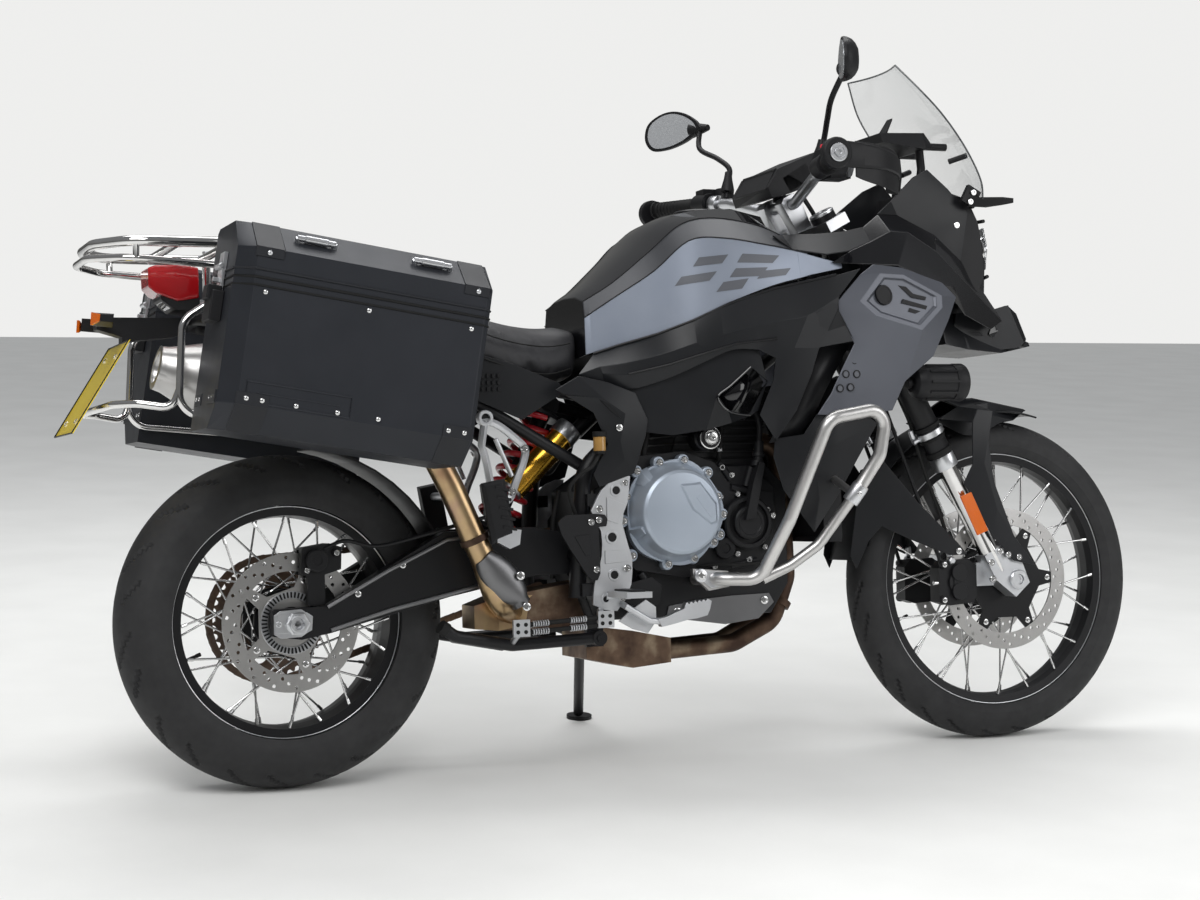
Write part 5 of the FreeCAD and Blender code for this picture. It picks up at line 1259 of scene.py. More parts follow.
def nose_panels():
    """The gloss panels from the tank to the beak, and the matt ones under the screen."""
    corners = {
        "a": (1112, -212, 1014), "b": (1160, -206, 1040), "c": (1215, -192, 1062),
        "d": (1268, -180, 1086), "e": (1318, -168, 1086), "f": (1396, -150, 1050),
        "g": (1463, -132, 1000), "h": (1536, -112, 946), "i": (1590, -96, 908),
        "j": (1552, -108, 888), "k": (1463, -150, 915), "l": (1420, -180, 944),
        "m": (1378, -200, 974), "n": (1262, -219, 1010), "o": (1190, -229, 1010),
        "p": (1290, -196, 1050), "q": (1430, -160, 975)}
    net("nose_blades", corners, [
        "a b o", "b c n o", "c d p n", "d e p", "e f q p", "n p q m", "m q l", "l q k",
        "f g q", "g h k q", "h i j k"], "gloss_black", bevel=1.6)
    shoulder = {"a": (1020, -219, 1038), "b": (1100, -215, 1030), "c": (1160, -206, 1040),
                "d": (1215, -192, 1062), "e": (1215, -162, 1096), "f": (1160, -168, 1084),
                "g": (1100, -171, 1078), "h": (1020, -170, 1074), "i": (985, -200, 1068)}
    net("tank_shoulders", shoulder, ["a b g h", "b c f g", "c d e f", "a h i"], "plastic_side")
    roof = {"b": (1160, -206, 1040), "c": (1215, -192, 1062), "d": (1268, -180, 1086),
            "e": (1318, -168, 1086), "f": (1396, -150, 1050), "g": (1463, -132, 1000),
            "h": (1536, -112, 946), "i": (1590, -96, 908),
            "s": (1215, -162, 1096), "t": (1262, -140, 1126), "u": (1322, -118, 1128),
            "v": (1412, -116, 1090), "w": (1478, -113, 1036), "x": (1550, -92, 966)}
    net("nose_roofs", roof, ["b c s", "c d t s", "d e u t", "e f v u", "f g w v", "g h x w",
                             "h i x"], "gloss_black", bevel=1.6)
    upper = {"a": (1262, -140, 1126), "b": (1322, -117, 1128), "c": (1412, -115, 1088),
             "d": (1478, -112, 1034), "e": (1548, -92, 968), "f": (1552, -92, 1040),
             "g": (1500, -112, 1140), "h": (1452, -112, 1190), "i": (1408, -102, 1232),
             "j": (1366, -112, 1212), "k": (1300, -130, 1156), "l": (1420, -124, 1140)}
    net("screen_cheeks", upper, ["a b k", "b l j k", "b c l", "c d g l", "d e f g", "l g h",
                                 "l h i j"], "plastic_side", bevel=2.5)


def bodywork():
    """All the side panels, from the nose back to the seat."""
    fairings()
    mid_covers()
    cowls()
    nose_panels()


# Luggage

CASE_TILT = math.radians(9.3)
CASE_LONG = 462.0
CASE_IN = 262.0
CASE_OUT = 480.0
CASE_TALL = 268.0


def case_point(along, up, side):
    """A point of the right case: along its seam, up from it, and out from the wheel plane."""
    c, s = math.cos(CASE_TILT), math.sin(CASE_TILT)
    return Vector((-178 + along * c + up * s, -side, 944 - along * s + up * c))


def case_turn():
    """Turns a box's own axes into the case's."""
    return Matrix.Rotation(CASE_TILT, 3, "Y")


def case_strip(start, end, low, high):
    """Four corners along the right case, between two edges given as (up, side)."""
    return [case_point(a, *edge)
            for a, edge in ((start, low), (end, low), (end, high), (start, high))]


STRAP_LOW = 44 - CASE_TALL
STRAP_HIGH = 66 - CASE_TALL
RIVET_UP = 56 - CASE_TALL
CASE_FACE = CASE_OUT + 1.6
CASE_SKIN = CASE_OUT - 2


def case_straps():
    """The corner plates at the foot of each case: outside, round the lower edge, and behind."""
    plates = Shape()
    for start, end in ((26, 84), (CASE_LONG - 62, CASE_LONG - 8)):
        plates.rings([case_strip(start, end, (STRAP_LOW, face), (STRAP_HIGH, face))
                      for face in (CASE_FACE, CASE_SKIN)])
        plates.rings([
            case_strip(start, end, (STRAP_LOW + 1, CASE_FACE), (-CASE_TALL - 1.6, CASE_OUT - 45)),
            case_strip(start, end, (STRAP_LOW + 3, CASE_SKIN), (-CASE_TALL + 2, CASE_OUT - 47))])
    for inner, outer in ((CASE_IN + 6, CASE_IN + 62), (CASE_OUT - 104, CASE_OUT - 36)):
        corners = ((STRAP_LOW, inner), (STRAP_LOW, outer), (STRAP_HIGH, outer), (STRAP_HIGH, inner))
        plates.rings([
            [case_point(-1.2 if s < 430 else 32 * (s - 446) / 34 - 1.2, u, s) for u, s in corners],
            [case_point(3.0, u, s) for u, s in corners]])
    plates.mirror()
    plates.make("case_corner_plates", "chassis", "case_corner", bevel=0.8)


def case_body():
    """Corner plates, the lower band, rivets and the sunk blank panel of the cases."""
    case_straps()
    seam = Shape()
    for up, radius in ((-2.5, 2.4), (-16, 2.0)):
        seam.tube([case_point(a, up, s) for a, s in (
            (-0.2, CASE_IN + 10), (-0.2, CASE_OUT - 36), (30, CASE_OUT + 0.2),
            (CASE_LONG - 12, CASE_OUT + 0.2), (CASE_LONG + 0.2, CASE_OUT - 12))], radius, 8)
    seam.mirror()
    seam.make("case_seams", "chassis", "rubber_black")
    rivets = Shape()
    out_way = (0, -1, 0)
    for a in (52, 238, CASE_LONG - 34):
        rivets.rivet(case_point(a, -26, CASE_OUT - 0.2), out_way, 5.0)
    for a in (44, 72, 132, 206, 280, CASE_LONG - 52, CASE_LONG - 22):
        rivets.rivet(case_point(a, RIVET_UP, CASE_OUT + 1.2), out_way, 5.0)
    back_way = case_point(-1, 0, 0) - case_point(0, 0, 0)
    for s in (CASE_IN + 20, CASE_IN + 44, CASE_OUT - 88, CASE_OUT - 66, CASE_OUT - 46):
        rivets.rivet(case_point(-1.0, RIVET_UP, s), back_way, 3.8)
    rivets.mirror()
    rivets.make("case_rivets", "chassis", "steel_bright")
    panel = Shape()
    edge = [case_point(a, u, CASE_OUT - 0.4) for a, u in (
        (42, -182), (228, -182), (228, -218), (42, -218))]
    panel.tube(edge, 2.0, 8, closed=True)
    panel.tube([case_point(a, -200, CASE_OUT - 0.4) for a in (62, 208)], 1.5, 8)
    panel.mirror()
    panel.make("case_sunk_panels", "chassis", "case_coat")


def case_lid(side, body):
    """Corner caps, edge trim, rivets, and the two silver strap brackets of one lid."""
    caps = Shape()
    for start, end in ((26, 76), (CASE_LONG - 56, CASE_LONG - 8)):
        caps.rings([case_strip(start, end, (34, face), (51, face))
                    for face in (CASE_OUT + 1.8, CASE_SKIN)])
        caps.rings([case_strip(start, end, (51, CASE_OUT + 1.8), (101.5, CASE_OUT - 69)),
                    case_strip(start, end, (49, CASE_SKIN), (98, CASE_OUT - 70))])
    caps.tube([case_point(a, 12, s) for a, s in (
        (-1, CASE_IN + 8), (-1, CASE_OUT - 36), (30, CASE_OUT + 0.6),
        (CASE_LONG - 12, CASE_OUT + 0.6), (CASE_LONG + 0.6, CASE_OUT - 12))], 2.2, 8)
    brackets = Shape()
    slope = (case_point(0, 50, CASE_OUT) - case_point(0, 100, CASE_OUT - 70)).normalized()
    rise = slope.cross(Vector((1, 0, 0))).normalized()
    if rise.y > 0:
        rise = -rise
    for a in (104, 318):
        for step in (0, 66):
            foot = case_point(a + step, 72, CASE_OUT - 38)
            brackets.turned(foot - rise * 1.5, rise, ((0, 11), (3, 11), (4.5, 9), (4.5, 0.1)), 20)
            brackets.rod(foot + rise * 3, foot + rise * 13, 5.0, 14)
        start = case_point(a - 2, 72, CASE_OUT - 38) + rise * 12
        end = case_point(a + 68, 72, CASE_OUT - 38) + rise * 12
        brackets.rod(start, end, 5.6, 14)
        brackets.rod(start.lerp(end, 0.2), start.lerp(end, 0.8), 6.8, 14)
    for a in (50, CASE_LONG - 30):
        brackets.rivet(case_point(a, 42, CASE_OUT + 1.4), (0, -1, 0), 5.0)
    if side > 0:
        caps.flip()
        brackets.flip()
    name = "left" if side > 0 else "right"
    caps.make("lid_caps_" + name, body, "case_corner", bevel=0.8)
    brackets.make("lid_brackets_" + name, body, "alloy_satin")


LATCH_SIDE = CASE_OUT - 118


def case_latches():
    """The rear latch: a black lever body on the case under a silver bracket."""
    turn = case_turn()
    black = Shape()
    black.box(case_point(-11, -52, LATCH_SIDE), (22, 62, 54), turn)
    black.box(case_point(-16, -28, LATCH_SIDE), (26, 40, 26), turn)
    black.mirror()
    black.make("latch_bodies", "chassis", "plastic_black", bevel=2.5)
    bright = Shape()
    bright.box(case_point(-4, -12, LATCH_SIDE), (6, 34, 40), turn)
    bright.box(case_point(-12, -4, LATCH_SIDE), (14, 12, 8), turn)
    bright.mirror()
    bright.make("latch_brackets", "chassis", "alloy_satin", bevel=1.2)
    for side, body in ((-1, "pannier_lid_right"), (1, "pannier_lid_left")):
        catch = Shape()
        catch.box(case_point(-4, 26, LATCH_SIDE), (7, 34, 40), turn)
        catch.rod(case_point(-10, 20, LATCH_SIDE - 20),
                  case_point(-10, 20, LATCH_SIDE + 20), 5.0, 14)
        if side > 0:
            catch.flip()
        catch.make("lid_catch_" + ("left" if side > 0 else "right"), body, "alloy_satin", bevel=1.0)


def luggage():
    """Both cases with their lids and latches."""
    case_body()
    case_lid(-1, "pannier_lid_right")
    case_lid(1, "pannier_lid_left")
    case_latches()


# Engine and what hangs on it

CLUTCH = (771, 512)
PUMP = (935, 487)
CLUTCH_BOLTS = ((666, 592), (690, 595), (739, 612), (793, 616), (846, 590), (866, 541),
                (877, 505), (869, 465), (854, 450), (810, 419), (753, 409), (676, 428),
                (659, 497), (667, 545))


def clutch():
    """The light cover: a flange with bolt ears, a domed drum, ribs, and one oblique facet."""
    x, z = CLUTCH
    cover = Shape()
    outline = []
    for t in turns(72):
        reach = 106 + 3 * math.cos(5 * t)
        outline.append((x + reach * math.cos(t), z + reach * math.sin(t)))
    cover.slab(outline, -157, -136.5)
    cover.turned((x, -150, z), (0, -1, 0), (
        (0, 102), (8, 100), (16, 94), (24, 90), (40, 87), (46, 84), (50, 78), (52, 60), (52.5, 30),
        (52.6, 0.1)), 96)
    for bx, bz in CLUTCH_BOLTS[1:]:
        cover.turned((bx, -136.5, bz), (0, -1, 0),
                     ((0, 12.5), (19, 12.5), (21, 10.5), (21, 0.1)), 20)
    cover.rings([[(x + a, -156, z + b)
                  for a, b in ((-104, -34), (-84, -54), (-60, -44), (-74, -14))],
                 [(x + a, -188, z + b)
                  for a, b in ((-88, -30), (-78, -42), (-66, -36), (-72, -20))]])
    cover.rings([[(x + a, -156, z + b) for a, b in ((-86, 58), (-64, 66), (-58, 92), (-74, 84))],
                 [(x + a, -182, z + b) for a, b in ((-66, 50), (-54, 56), (-52, 66), (-62, 62))]])
    cover.make("clutch_case", "chassis", "cover_blue_grey", ("clutch_cover",),
               angle=24, bevel=1.2)
    facet = Shape()
    base = ((760, 571), (810, 574), (846, 529), (847, 488), (829, 482), (786, 512))
    top = ((768, 563), (806, 566), (838, 526), (839, 494), (829, 490), (792, 518))
    facet.rings([[(a, -198, b) for a, b in base], [(a, -206.5, b) for a, b in top]])
    facet.make("clutch_facet", "chassis", "cover_blue_grey", bevel=1.2)
    mark = Shape()
    for shift in (0, 13, 26):
        mark.rings([[(800 + shift * 0.75 + a, -y, 540 - shift + b) for a, b in (
            (-3, 0), (4, 5), (15, -9), (8, -14))] for y in (205.5, 207.3)])
    mark.make("clutch_mark", "chassis", "cover_blue_grey", bevel=0.5)
    bolts = Shape()
    for bx, bz in CLUTCH_BOLTS[1:]:
        bolts.bolt((bx, -157, bz), (0, -1, 0), 7.6, 6.5)
    bolts.make("clutch_bolts", "chassis", "steel_bright")


def side_cases():
    """The black cases round the cover, with ribs, the pump ring and the small covers."""
    black = Shape()
    black.slab(((650, 600), (700, 626), (800, 634), (870, 610), (906, 560), (1000, 548),
                (1000, 430), (960, 398), (880, 392), (800, 380), (690, 398), (652, 440)),
               -140, -118)
    x, z = PUMP
    black.turned((x, -136, z), (0, -1, 0),
                 ((0, 54), (18, 54), (22, 51), (22, 44), (14, 43), (14, 0.1)), 48)
    black.turned((x, -136, z), (0, -1, 0),
                 ((0, 34), (26, 34), (29, 31), (29, 26), (27, 24), (27, 0.1)), 40)
    black.turned((885, -138, 436), (0, -1, 0),
                 ((0, 22), (12, 22), (14, 20), (14, 10), (11, 9), (11, 0.1)), 32)
    for a, b, r in (((905, 560), (960, 545), 8), ((880, 610), (905, 575), 7),
                    ((940, 560), (952, 600), 9),
                    ((900, 400), (960, 410), 6), ((700, 392), (720, 360), 9)):
        black.rod((a[0], -138, a[1]), (b[0], -140, b[1]), r, 14)
    for i in range(7):
        z0 = 632 + 16 * i
        shift = (z0 - 600) * 0.29
        black.rings([[(px + shift, y, z0 + h) for px, y in (
            (776, -122), (968, -122), (972, -110), (972, 110), (968, 122), (776, 122), (772, 110),
            (772, -110))] for h in (0, 3.5)])
    black.slab(((668, 372), (720, 384), (742, 366), (736, 330), (690, 322), (660, 338)), -150, -118)
    black.box((806, -119, 700), (44, 14, 60))
    black.make("side_cases", "chassis", "engine_black", ("engine_covers",),
               angle=28, bevel=1.2)
    plug = Shape()
    plug.slab(((922, 492), (944, 496), (958, 560), (968, 606), (956, 610), (940, 566)), -172, -150)
    plug.rod((963, -150, 604), (968, -146, 652), 10.0, 20)
    plug.rod((960, -150, 600), (962, -149, 612), 13.5, 20)
    plug.rod((964, -149, 620), (965, -148, 628), 13.0, 20)
    plug.tube(curved([(968, -146, 650), (972, -138, 690), (960, -124, 730), (930, -108, 760)], 5),
              6.0, 12)
    plug.make("pump_pipe", "chassis", "plastic_black", bevel=1.0)
    left = Shape()
    left.turned((890, 120.3, 480), (0, 1, 0), (
        (0, 96), (30, 95), (44, 90), (52, 80), (54, 66), (60, 64), (66, 52), (68, 30), (68, 0.1)),
                72)
    left.slab(((612, 378), (690, 378), (722, 440), (702, 522), (640, 542), (610, 500)), 120.3, 141)
    left.slab(((700, 560), (800, 590), (960, 560), (1000, 480), (960, 390), (820, 372), (720, 400)),
              118, 136)
    left.make("left_cases", "chassis", "engine_black", bevel=1.5)
    bolts = Shape()
    for bx, bz in ((905, 584), (884, 600), (879, 540), (878, 503), (918, 545),
                   (984, 512), (976, 436),
                   (940, 412), (914, 424), (862, 400), (996, 500)):
        bolts.bolt((bx, -140, bz), (0, -1, 0), 6.6, 7.0)
    for i in range(10):
        place = around(Vector((890, 0, 480)), 88, 36 * i, 150)
        bolts.bolt(place, (0, 1, 0), 6.5, 8.0)
    for bx, bz in ((632, 395), (690, 400), (705, 450), (690, 510), (640, 525)):
        bolts.bolt((bx, 140, bz), (0, 1, 0), 6.0, 4.0)
    bolts.make("case_bolts", "chassis", "steel_bright")
    boss = Shape()
    boss.turned((846, -118, 660), (0, -1, 0),
                ((0, 26), (34, 26), (38, 22), (56, 22), (58, 20), (58, 9), (50, 8.5)), 40)
    boss.mirror()
    boss.make("engine_boss", "chassis", "frame_black", bevel=0.8)
    washer = Shape()
    washer.turned((846, -170, 660), (0, -1, 0),
                  ((0, 23), (4, 23), (5, 21), (5, 15), (9, 15), (9, 12), (16, 11.5),
                   (17, 10), (17, 6), (10, 5.5)), 36)
    washer.mirror()
    washer.make("engine_boss_bolt", "chassis", "steel_bright")


def hoses_and_wires():
    """Short fixed hoses and wires round the engine, and their clips."""
    black = Shape()
    for route, radius in (
            (((885, -126, 614), (884, -136, 640), (890, -130, 680), (900, -112, 720)), 5.0),
            (((960, -128, 400), (990, -134, 440), (1004, -132, 500), (996, -128, 560)), 5.5),
            (((720, -126, 620), (716, -136, 640), (730, -132, 690), (760, -118, 730)), 6.5),
            (((790, -124, 396), (860, -150, 404), (930, -150, 402), (990, -140, 408)), 3.0),
            (((1096, -150, 700), (1060, -140, 720), (1010, -120, 700)), 14.0),
            (((1096, 150, 480), (1050, 140, 450), (1000, 125, 440)), 14.0),
            (((560, -60, 560), (540, -72, 480), (556, -82, 420), (580, -80, 380)), 5.0),
            (((640, 120, 640), (600, 100, 600), (560, 60, 620), (540, 0, 640)), 6.0)):
        black.tube(curved(route, 6), radius, 12)
    black.make("engine_hoses", "chassis", "rubber_black")
    clips = Shape()
    for place, along in (((884, -134, 632), (0, 0, 1)), ((716, -134, 644), (0, 0, 1)),
                         ((800, -128, 397), (1, -0.3, 0.1)), ((986, -140, 407), (1, 0.2, 0))):
        clips.rod(place, Vector(place) + Vector(along).normalized() * 9, 6.6, 16)
    clips.make("hose_clips", "chassis", "alloy_satin")


def radiator():
    """Fins, the frame round them, and the fan behind."""
    fins = Shape()
    for i in range(34):
        z = 462 + 9 * i
        fins.box((1134.0, 0, z), (3, 320, 2.2))
    for side in (-1, 1):
        fins.box((1116, side * 172, 610), (42, 12, 322))
    for z in (448, 772):
        fins.box((1116, 0, z), (42, 350, 10))
    fins.make("radiator_fins", "chassis", "engine_black")
    fan = Shape()
    fan.turned((1094, 0, 610), (-1, 0, 0),
               ((0, 120), (16, 120), (18, 116), (18, 108), (4, 106)), 48)
    for i in range(7):
        t = 2 * math.pi * i / 7
        fan.box((1084, 60 * math.cos(t), 610 + 60 * math.sin(t)), (4, 24, 100),
                Matrix.Rotation(t - math.pi / 2, 3, "X"))
    fan.make("radiator_fan", "chassis", "plastic_black")


SILENCER_MOUTH = Vector((181, -178, 690.5))
SILENCER_TAIL = Vector((-262, -178, 800))


def exhaust_parts():
    """Shield bolts, pipe bands, and the silencer's rings, five-sided cone and dark outlet."""
    bolts = Shape()
    for x, side, z, radius, height in (
            (421, -206, 398, 8.0, 3.5), (432, -206, 338, 8.0, 3.5), (786, -123.6, 311, 8.5, 4.0),
            (981, -123.6, 327, 8.5, 4.0), (452, -160, 300, 7.0, 8.0)):
        bolts.bolt((x, side, z), (0, -1, 0), radius, height)
    bolts.make("shield_bolts", "chassis", "steel_bright")
    bands = Shape()
    for side in (-42, 42):
        bands.turned((1057, side, 318), (0.62, 0, 1), ((-7, 24), (7, 24)), 24)
    bands.turned((340, -175, 470), (-61, -2, 135), ((-6, 29), (6, 29)), 28)
    bands.make("pipe_bands", "chassis", "exhaust_brown")
    along = (SILENCER_TAIL - SILENCER_MOUTH).normalized()
    can = Shape()
    can.turned(SILENCER_MOUTH, along, ((356, 71), (359, 71.6), (366, 71.6), (369, 71)), 64,
               caps=False)
    can.turned(SILENCER_MOUTH, along, ((20, 69), (23, 69.6), (29, 69.6), (32, 69)), 64, caps=False)
    can.make("silencer_rings", "chassis", "steel_bright")
    cone = Shape()
    side, up = cross_axes(along)
    rings = []
    for distance, radius, dent in ((370, 68, 0.0), (376, 67, 0.02), (440, 44, 0.14),
                                   (458, 41, 0.14)):
        middle = SILENCER_MOUTH + along * distance
        ring = []
        for t in turns(60):
            reach = radius * (1 - dent * 0.25 * (1 - math.cos(5 * t)))
            ring.append(middle + (side * math.cos(t) + up * math.sin(t)) * reach)
        rings.append(ring)
    cone.rings(rings, caps=False)
    cone.turned(SILENCER_MOUTH, along, (
        (458, 41), (459, 38), (459, 30), (457, 28.5), (400, 28.5)), 60, caps=False)
    cone.make("silencer_cone", "chassis", "steel_brushed", angle=22)
    hole = Shape()
    hole.turned(SILENCER_MOUTH, along, ((392, 0.1), (392, 28.6), (456, 28.6)), 40, caps=False)
    hole.make("silencer_hole", "chassis", "engine_black")


SPRING_ROUNDS = 8
SPRING_STEPS = 20
SPRING_RADIUS = 38


def shock():
    """The gold reservoir with its silver cap, and the red spring on the damper."""
    bright = Shape()
    gold = Shape()
    low, high = Vector((465, -50, 565)), Vector((572, -50, 668))
    along = (high - low).normalized()
    gold.rod(low, high, 27.0, 40)
    gold.turned(low + along * 30, along, ((0, 28.2), (5, 28.2)), 40)
    gold.make("shock_reservoir", "chassis", "gold_alloy", ("rear_shock",))
    bright.turned(high, along, ((-2, 29), (24, 29), (28, 27), (28, 22), (25, 21), (25, 0.1)), 40)
    bright.rod(low - along * 6, low + along * 4, 24.0, 32)
    bright.make("shock_cap", "chassis", "alloy_satin")
    foot, head = Vector((430, 0, 470)), Vector((560, 0, 735))
    run = (head - foot).normalized()
    side, up = cross_axes(run)
    coil = []
    length = (head - foot).length - 60
    steps = SPRING_ROUNDS * SPRING_STEPS
    for i in range(steps + 1):
        t = 2 * math.pi * i / SPRING_STEPS
        coil.append(foot + run * (30 + length * i / steps)
                    + (side * math.cos(t) + up * math.sin(t)) * SPRING_RADIUS)
    spring = Shape()
    spring.tube(coil, 6.5, 12)
    spring.make("shock_spring", "chassis", "spring_red")
    rodding = Shape()
    rodding.rod(foot, head, 17.0, 28)
    for share in (0.06, 0.93):
        middle = foot.lerp(head, share)
        rodding.turned(middle - run * 5, run, ((0, 44), (8, 44), (10, 40)), 40)
    rodding.rod(foot + Vector((0, -24, 0)), foot + Vector((0, 24, 0)), 20.0, 28)
    rodding.rod(head + Vector((0, -24, 0)), head + Vector((0, 24, 0)), 20.0, 28)
    rodding.make("shock_damper", "chassis", "alloy_black")


def brake_fluid():
    """The small amber jar behind the footrest plate, its caps and its hose."""
    jar = Shape()
    jar.rod((600, -186, 636), (600, -186, 664), 12.5, 24)
    jar.make("brake_fluid_jar", "chassis", "reservoir_amber")
    cap = Shape()
    cap.rod((600, -186, 664), (600, -186, 674), 14.0, 24)
    cap.rod((600, -186, 630), (600, -186, 637), 11.0, 24)
    hose = curved([(600, -186, 632), (584, -184, 606), (562, -180, 592), (540, -170, 560),
                   (560, -160, 500)], 6)
    cap.tube(hose, 4.0, 10)
    cap.make("brake_fluid_cap", "chassis", "rubber_black")


def powertrain():
    """Engine covers, hoses, radiator, exhaust, shock and brake fluid."""
    clutch()
    side_cases()
    hoses_and_wires()
    radiator()
    exhaust_parts()
    shock()
    brake_fluid()


# Front end and cockpit

def skin(name, body, corners, faces, material, depth=3.0, bevel=2.0):
    """A smaller creased panel, on any body."""
    net(name, corners, faces, material, depth=depth, bevel=bevel, body=body, smooth=34.0)


def fender():
    """The mudguard: crown, forward blade, side skirts, rear stays and fork guards."""
    crown = Shape()
    bend = math.sin(math.radians(62))
    leans = [math.radians(-62 + 124 * j / 12) for j in range(13)]
    rings = []
    for i in range(41):
        angle = 172 - 98 * i / 40
        ring = []
        for order, crest, half in ((leans, 373, 60), (leans[::-1], 370, 57)):
            for t in order:
                reach = crest - 13 * (1 - math.cos(t))
                ring.append(around(FRONT_AXLE, reach, angle, half * math.sin(t) / bend))
        rings.append(ring)
    crown.rings(rings)
    crown.make("fender_crown", "steering", "plastic_side", ("front_fender",))
    blade = {"a": (1433, -64, 693), "b": (1489, -66, 724), "c": (1567, -62, 733),
             "d": (1694, -16, 717), "e": (1640, -50, 694), "f": (1597, -60, 687),
             "g": (1540, -64, 660), "h": (1500, -68, 662), "i": (1560, -70, 706)}
    skin("fender_blades", "steering", blade, ["a b i h", "b c i", "c d i", "d e i", "e f i",
                                              "f g h i"], "plastic_side")
    cap = {"b": (1489, -66, 724), "c": (1567, -62, 733), "d": (1694, -16, 717),
           "m": (1489, 0, 742), "n": (1567, 0, 746), "o": (1700, 0, 720)}
    skin("fender_cap", "steering", cap, ["b m n c", "c n o d"], "plastic_side")
    guard = {"a": (1489, -124, 688), "b": (1506, -118, 716), "c": (1545, -118, 712),
             "d": (1527, -127, 649), "e": (1536, -129, 559), "f": (1582, -129, 442),
             "g": (1635, -127, 377), "h": (1580, -129, 388), "i": (1526, -129, 444),
             "j": (1475, -125, 540), "k": (1462, -124, 556), "l": (1486, -124, 597),
             "m": (1512, -131, 600), "n": (1540, -132, 500)}
    skin("fork_guards", "steering", guard, ["a b c d", "a d m l", "l m j k", "m n i j", "d e m",
                                            "e f n m", "f g h n", "h i n"], "plastic_side")
    bridge = {"a": (1489, -124, 688), "b": (1506, -118, 716), "c": (1545, -118, 712),
              "p": (1489, -66, 724), "q": (1530, -64, 730), "r": (1440, -66, 697)}
    skin("guard_bridges", "steering", bridge, ["a b p r", "b c q p"], "plastic_side")
    stay = {"a": (1245, -66, 590), "b": (1300, -70, 610), "c": (1372, -84, 520),
            "d": (1462, -96, 430), "e": (1484, -98, 404), "f": (1440, -96, 404),
            "g": (1352, -84, 440), "h": (1290, -72, 470),
            "i": (1262, -66, 440), "j": (1232, -62, 380), "k": (1218, -61, 410)}
    skin("fender_stays", "steering", stay, ["a b c h", "c d f g", "d e f", "c g h", "h i a",
                                            "i j k a"], "plastic_side")
    reflector = Shape()
    reflector.rings([[(1447, y, 529), (1474, y, 538), (1514, y, 455), (1487, y, 445)]
                     for y in (-131, -136)])
    reflector.mirror()
    reflector.make("fork_reflectors", "steering", "lens_amber", bevel=1.0)
    bolts = Shape()
    for x, z in ((1566, 402), (1592, 396)):
        bolts.bolt((x, -129, z), (0, -1, 0), 6.5, 3.5)
    bolts.bolt((1462, -97, 412), (0, -1, 0), 7.0, 3.5)
    bolts.mirror()
    bolts.make("fender_bolts", "steering", "steel_bright")


FORK_AHEAD = 28.0
FORK_SIDE = 100.0


def fork_trim():
    """Fork rings, clips and caps, lug bolts, and both brake hoses with their fittings."""
    dark = Shape()
    bright = Shape()
    axis = steer_point(1, 0, 0) - steer_point(0, 0, 0)
    for side in (-1, 1):
        y = side * FORK_SIDE
        for low, high, radius in ((690, 700, 30.0), (724, 730, 29.0), (752, 760, 30.5),
                                  (1000, 1006, 28.2)):
            dark.turned(steer_point(low, FORK_AHEAD, y), axis, (
                (0, radius - 1), (1, radius), (high - low - 1, radius), (high - low, radius - 1)),
                        40)
        bright.turned(steer_point(733, FORK_AHEAD, y), axis, (
            (0, 30.5), (1, 31.5), (13, 31.5), (14, 30.5)), 40)
        bright.turned(steer_point(1262, FORK_AHEAD, y), axis, (
            (-1, 27), (4, 27), (6, 24), (6, 12), (4, 11), (4, 0.1)), 40)
        bright.rod(steer_point(740, FORK_AHEAD - 30, y),
                   steer_point(740, FORK_AHEAD - 46, y), 6.0, 16)
    dark.make("fork_rings", "steering", "rubber_black")
    bright.make("fork_clips", "steering", "alloy_satin")
    lugs = Shape()
    for side in (-1, 1):
        y = side * FORK_SIDE
        for a, u in ((440, 44), (398, -2), (430, 12)):
            place = steer_point(a, u, y + side * 20)
            lugs.bolt(place, (0, side, 0), 7.5, 5.0)
    lugs.make("fork_lug_bolts", "steering", "steel_bright")
    hoses = Shape()
    for side in (-1, 1):
        hoses.tube(curved([steer_point(974, 56, side * 78), steer_point(900, 60, side * 84),
                           (1312, side * 90, 790), (1352, side * 94, 690), (1368, side * 92, 640),
                           (1400, side * 84, 560), (1436, side * 80, 470), (1446, side * 88, 396)],
                          8),
                   4.2, 12)
    hoses.make("front_brake_hoses", "steering", "rubber_black")
    fittings = Shape()
    for side in (-1, 1):
        fittings.rod((1352, side * 96, 672), (1362, side * 93, 650), 6.0, 16)
        fittings.rod((1442, side * 84, 420), (1446, side * 88, 400), 6.5, 16)
        fittings.turned((1446, side * 88, 392), (0, side, 0),
                        ((0, 8), (10, 8), (12, 6), (12, 0.1)), 6)
    fittings.make("brake_fittings", "steering", "alloy_satin")


def front_calipers():
    """Piston bosses, bridges and bolts on the two front calipers."""
    black = Shape()
    for side in (-1, 1):
        black.rod((1462, side * 90, 366), (1462, side * 101, 366), 18.5, 32)
        black.rod((1462, side * 90, 326), (1462, side * 101, 326), 18.5, 32)
        black.slab(((1448, 330), (1476, 330), (1476, 362), (1448, 362)), side * 90, side * 99)
        black.rod((1424, side * 88, 308), (1424, side * 97, 308), 9.0, 20)
        black.rod((1426, side * 88, 384), (1426, side * 97, 384), 9.0, 20)
    black.make("caliper_bodies", "steering", "engine_black", bevel=1.2)
    bolts = Shape()
    for side in (-1, 1):
        for x, z in ((1424, 308), (1426, 384)):
            bolts.bolt((x, side * 97, z), (0, side, 0), 6.0, 3.0)
        bolts.rod((1404, side * 86, 345), (1420, side * 86, 345), 5.0, 14)
    bolts.make("caliper_bolts", "steering", "steel_bright")


MIRROR_MIDDLE = (88.0, 2.0)


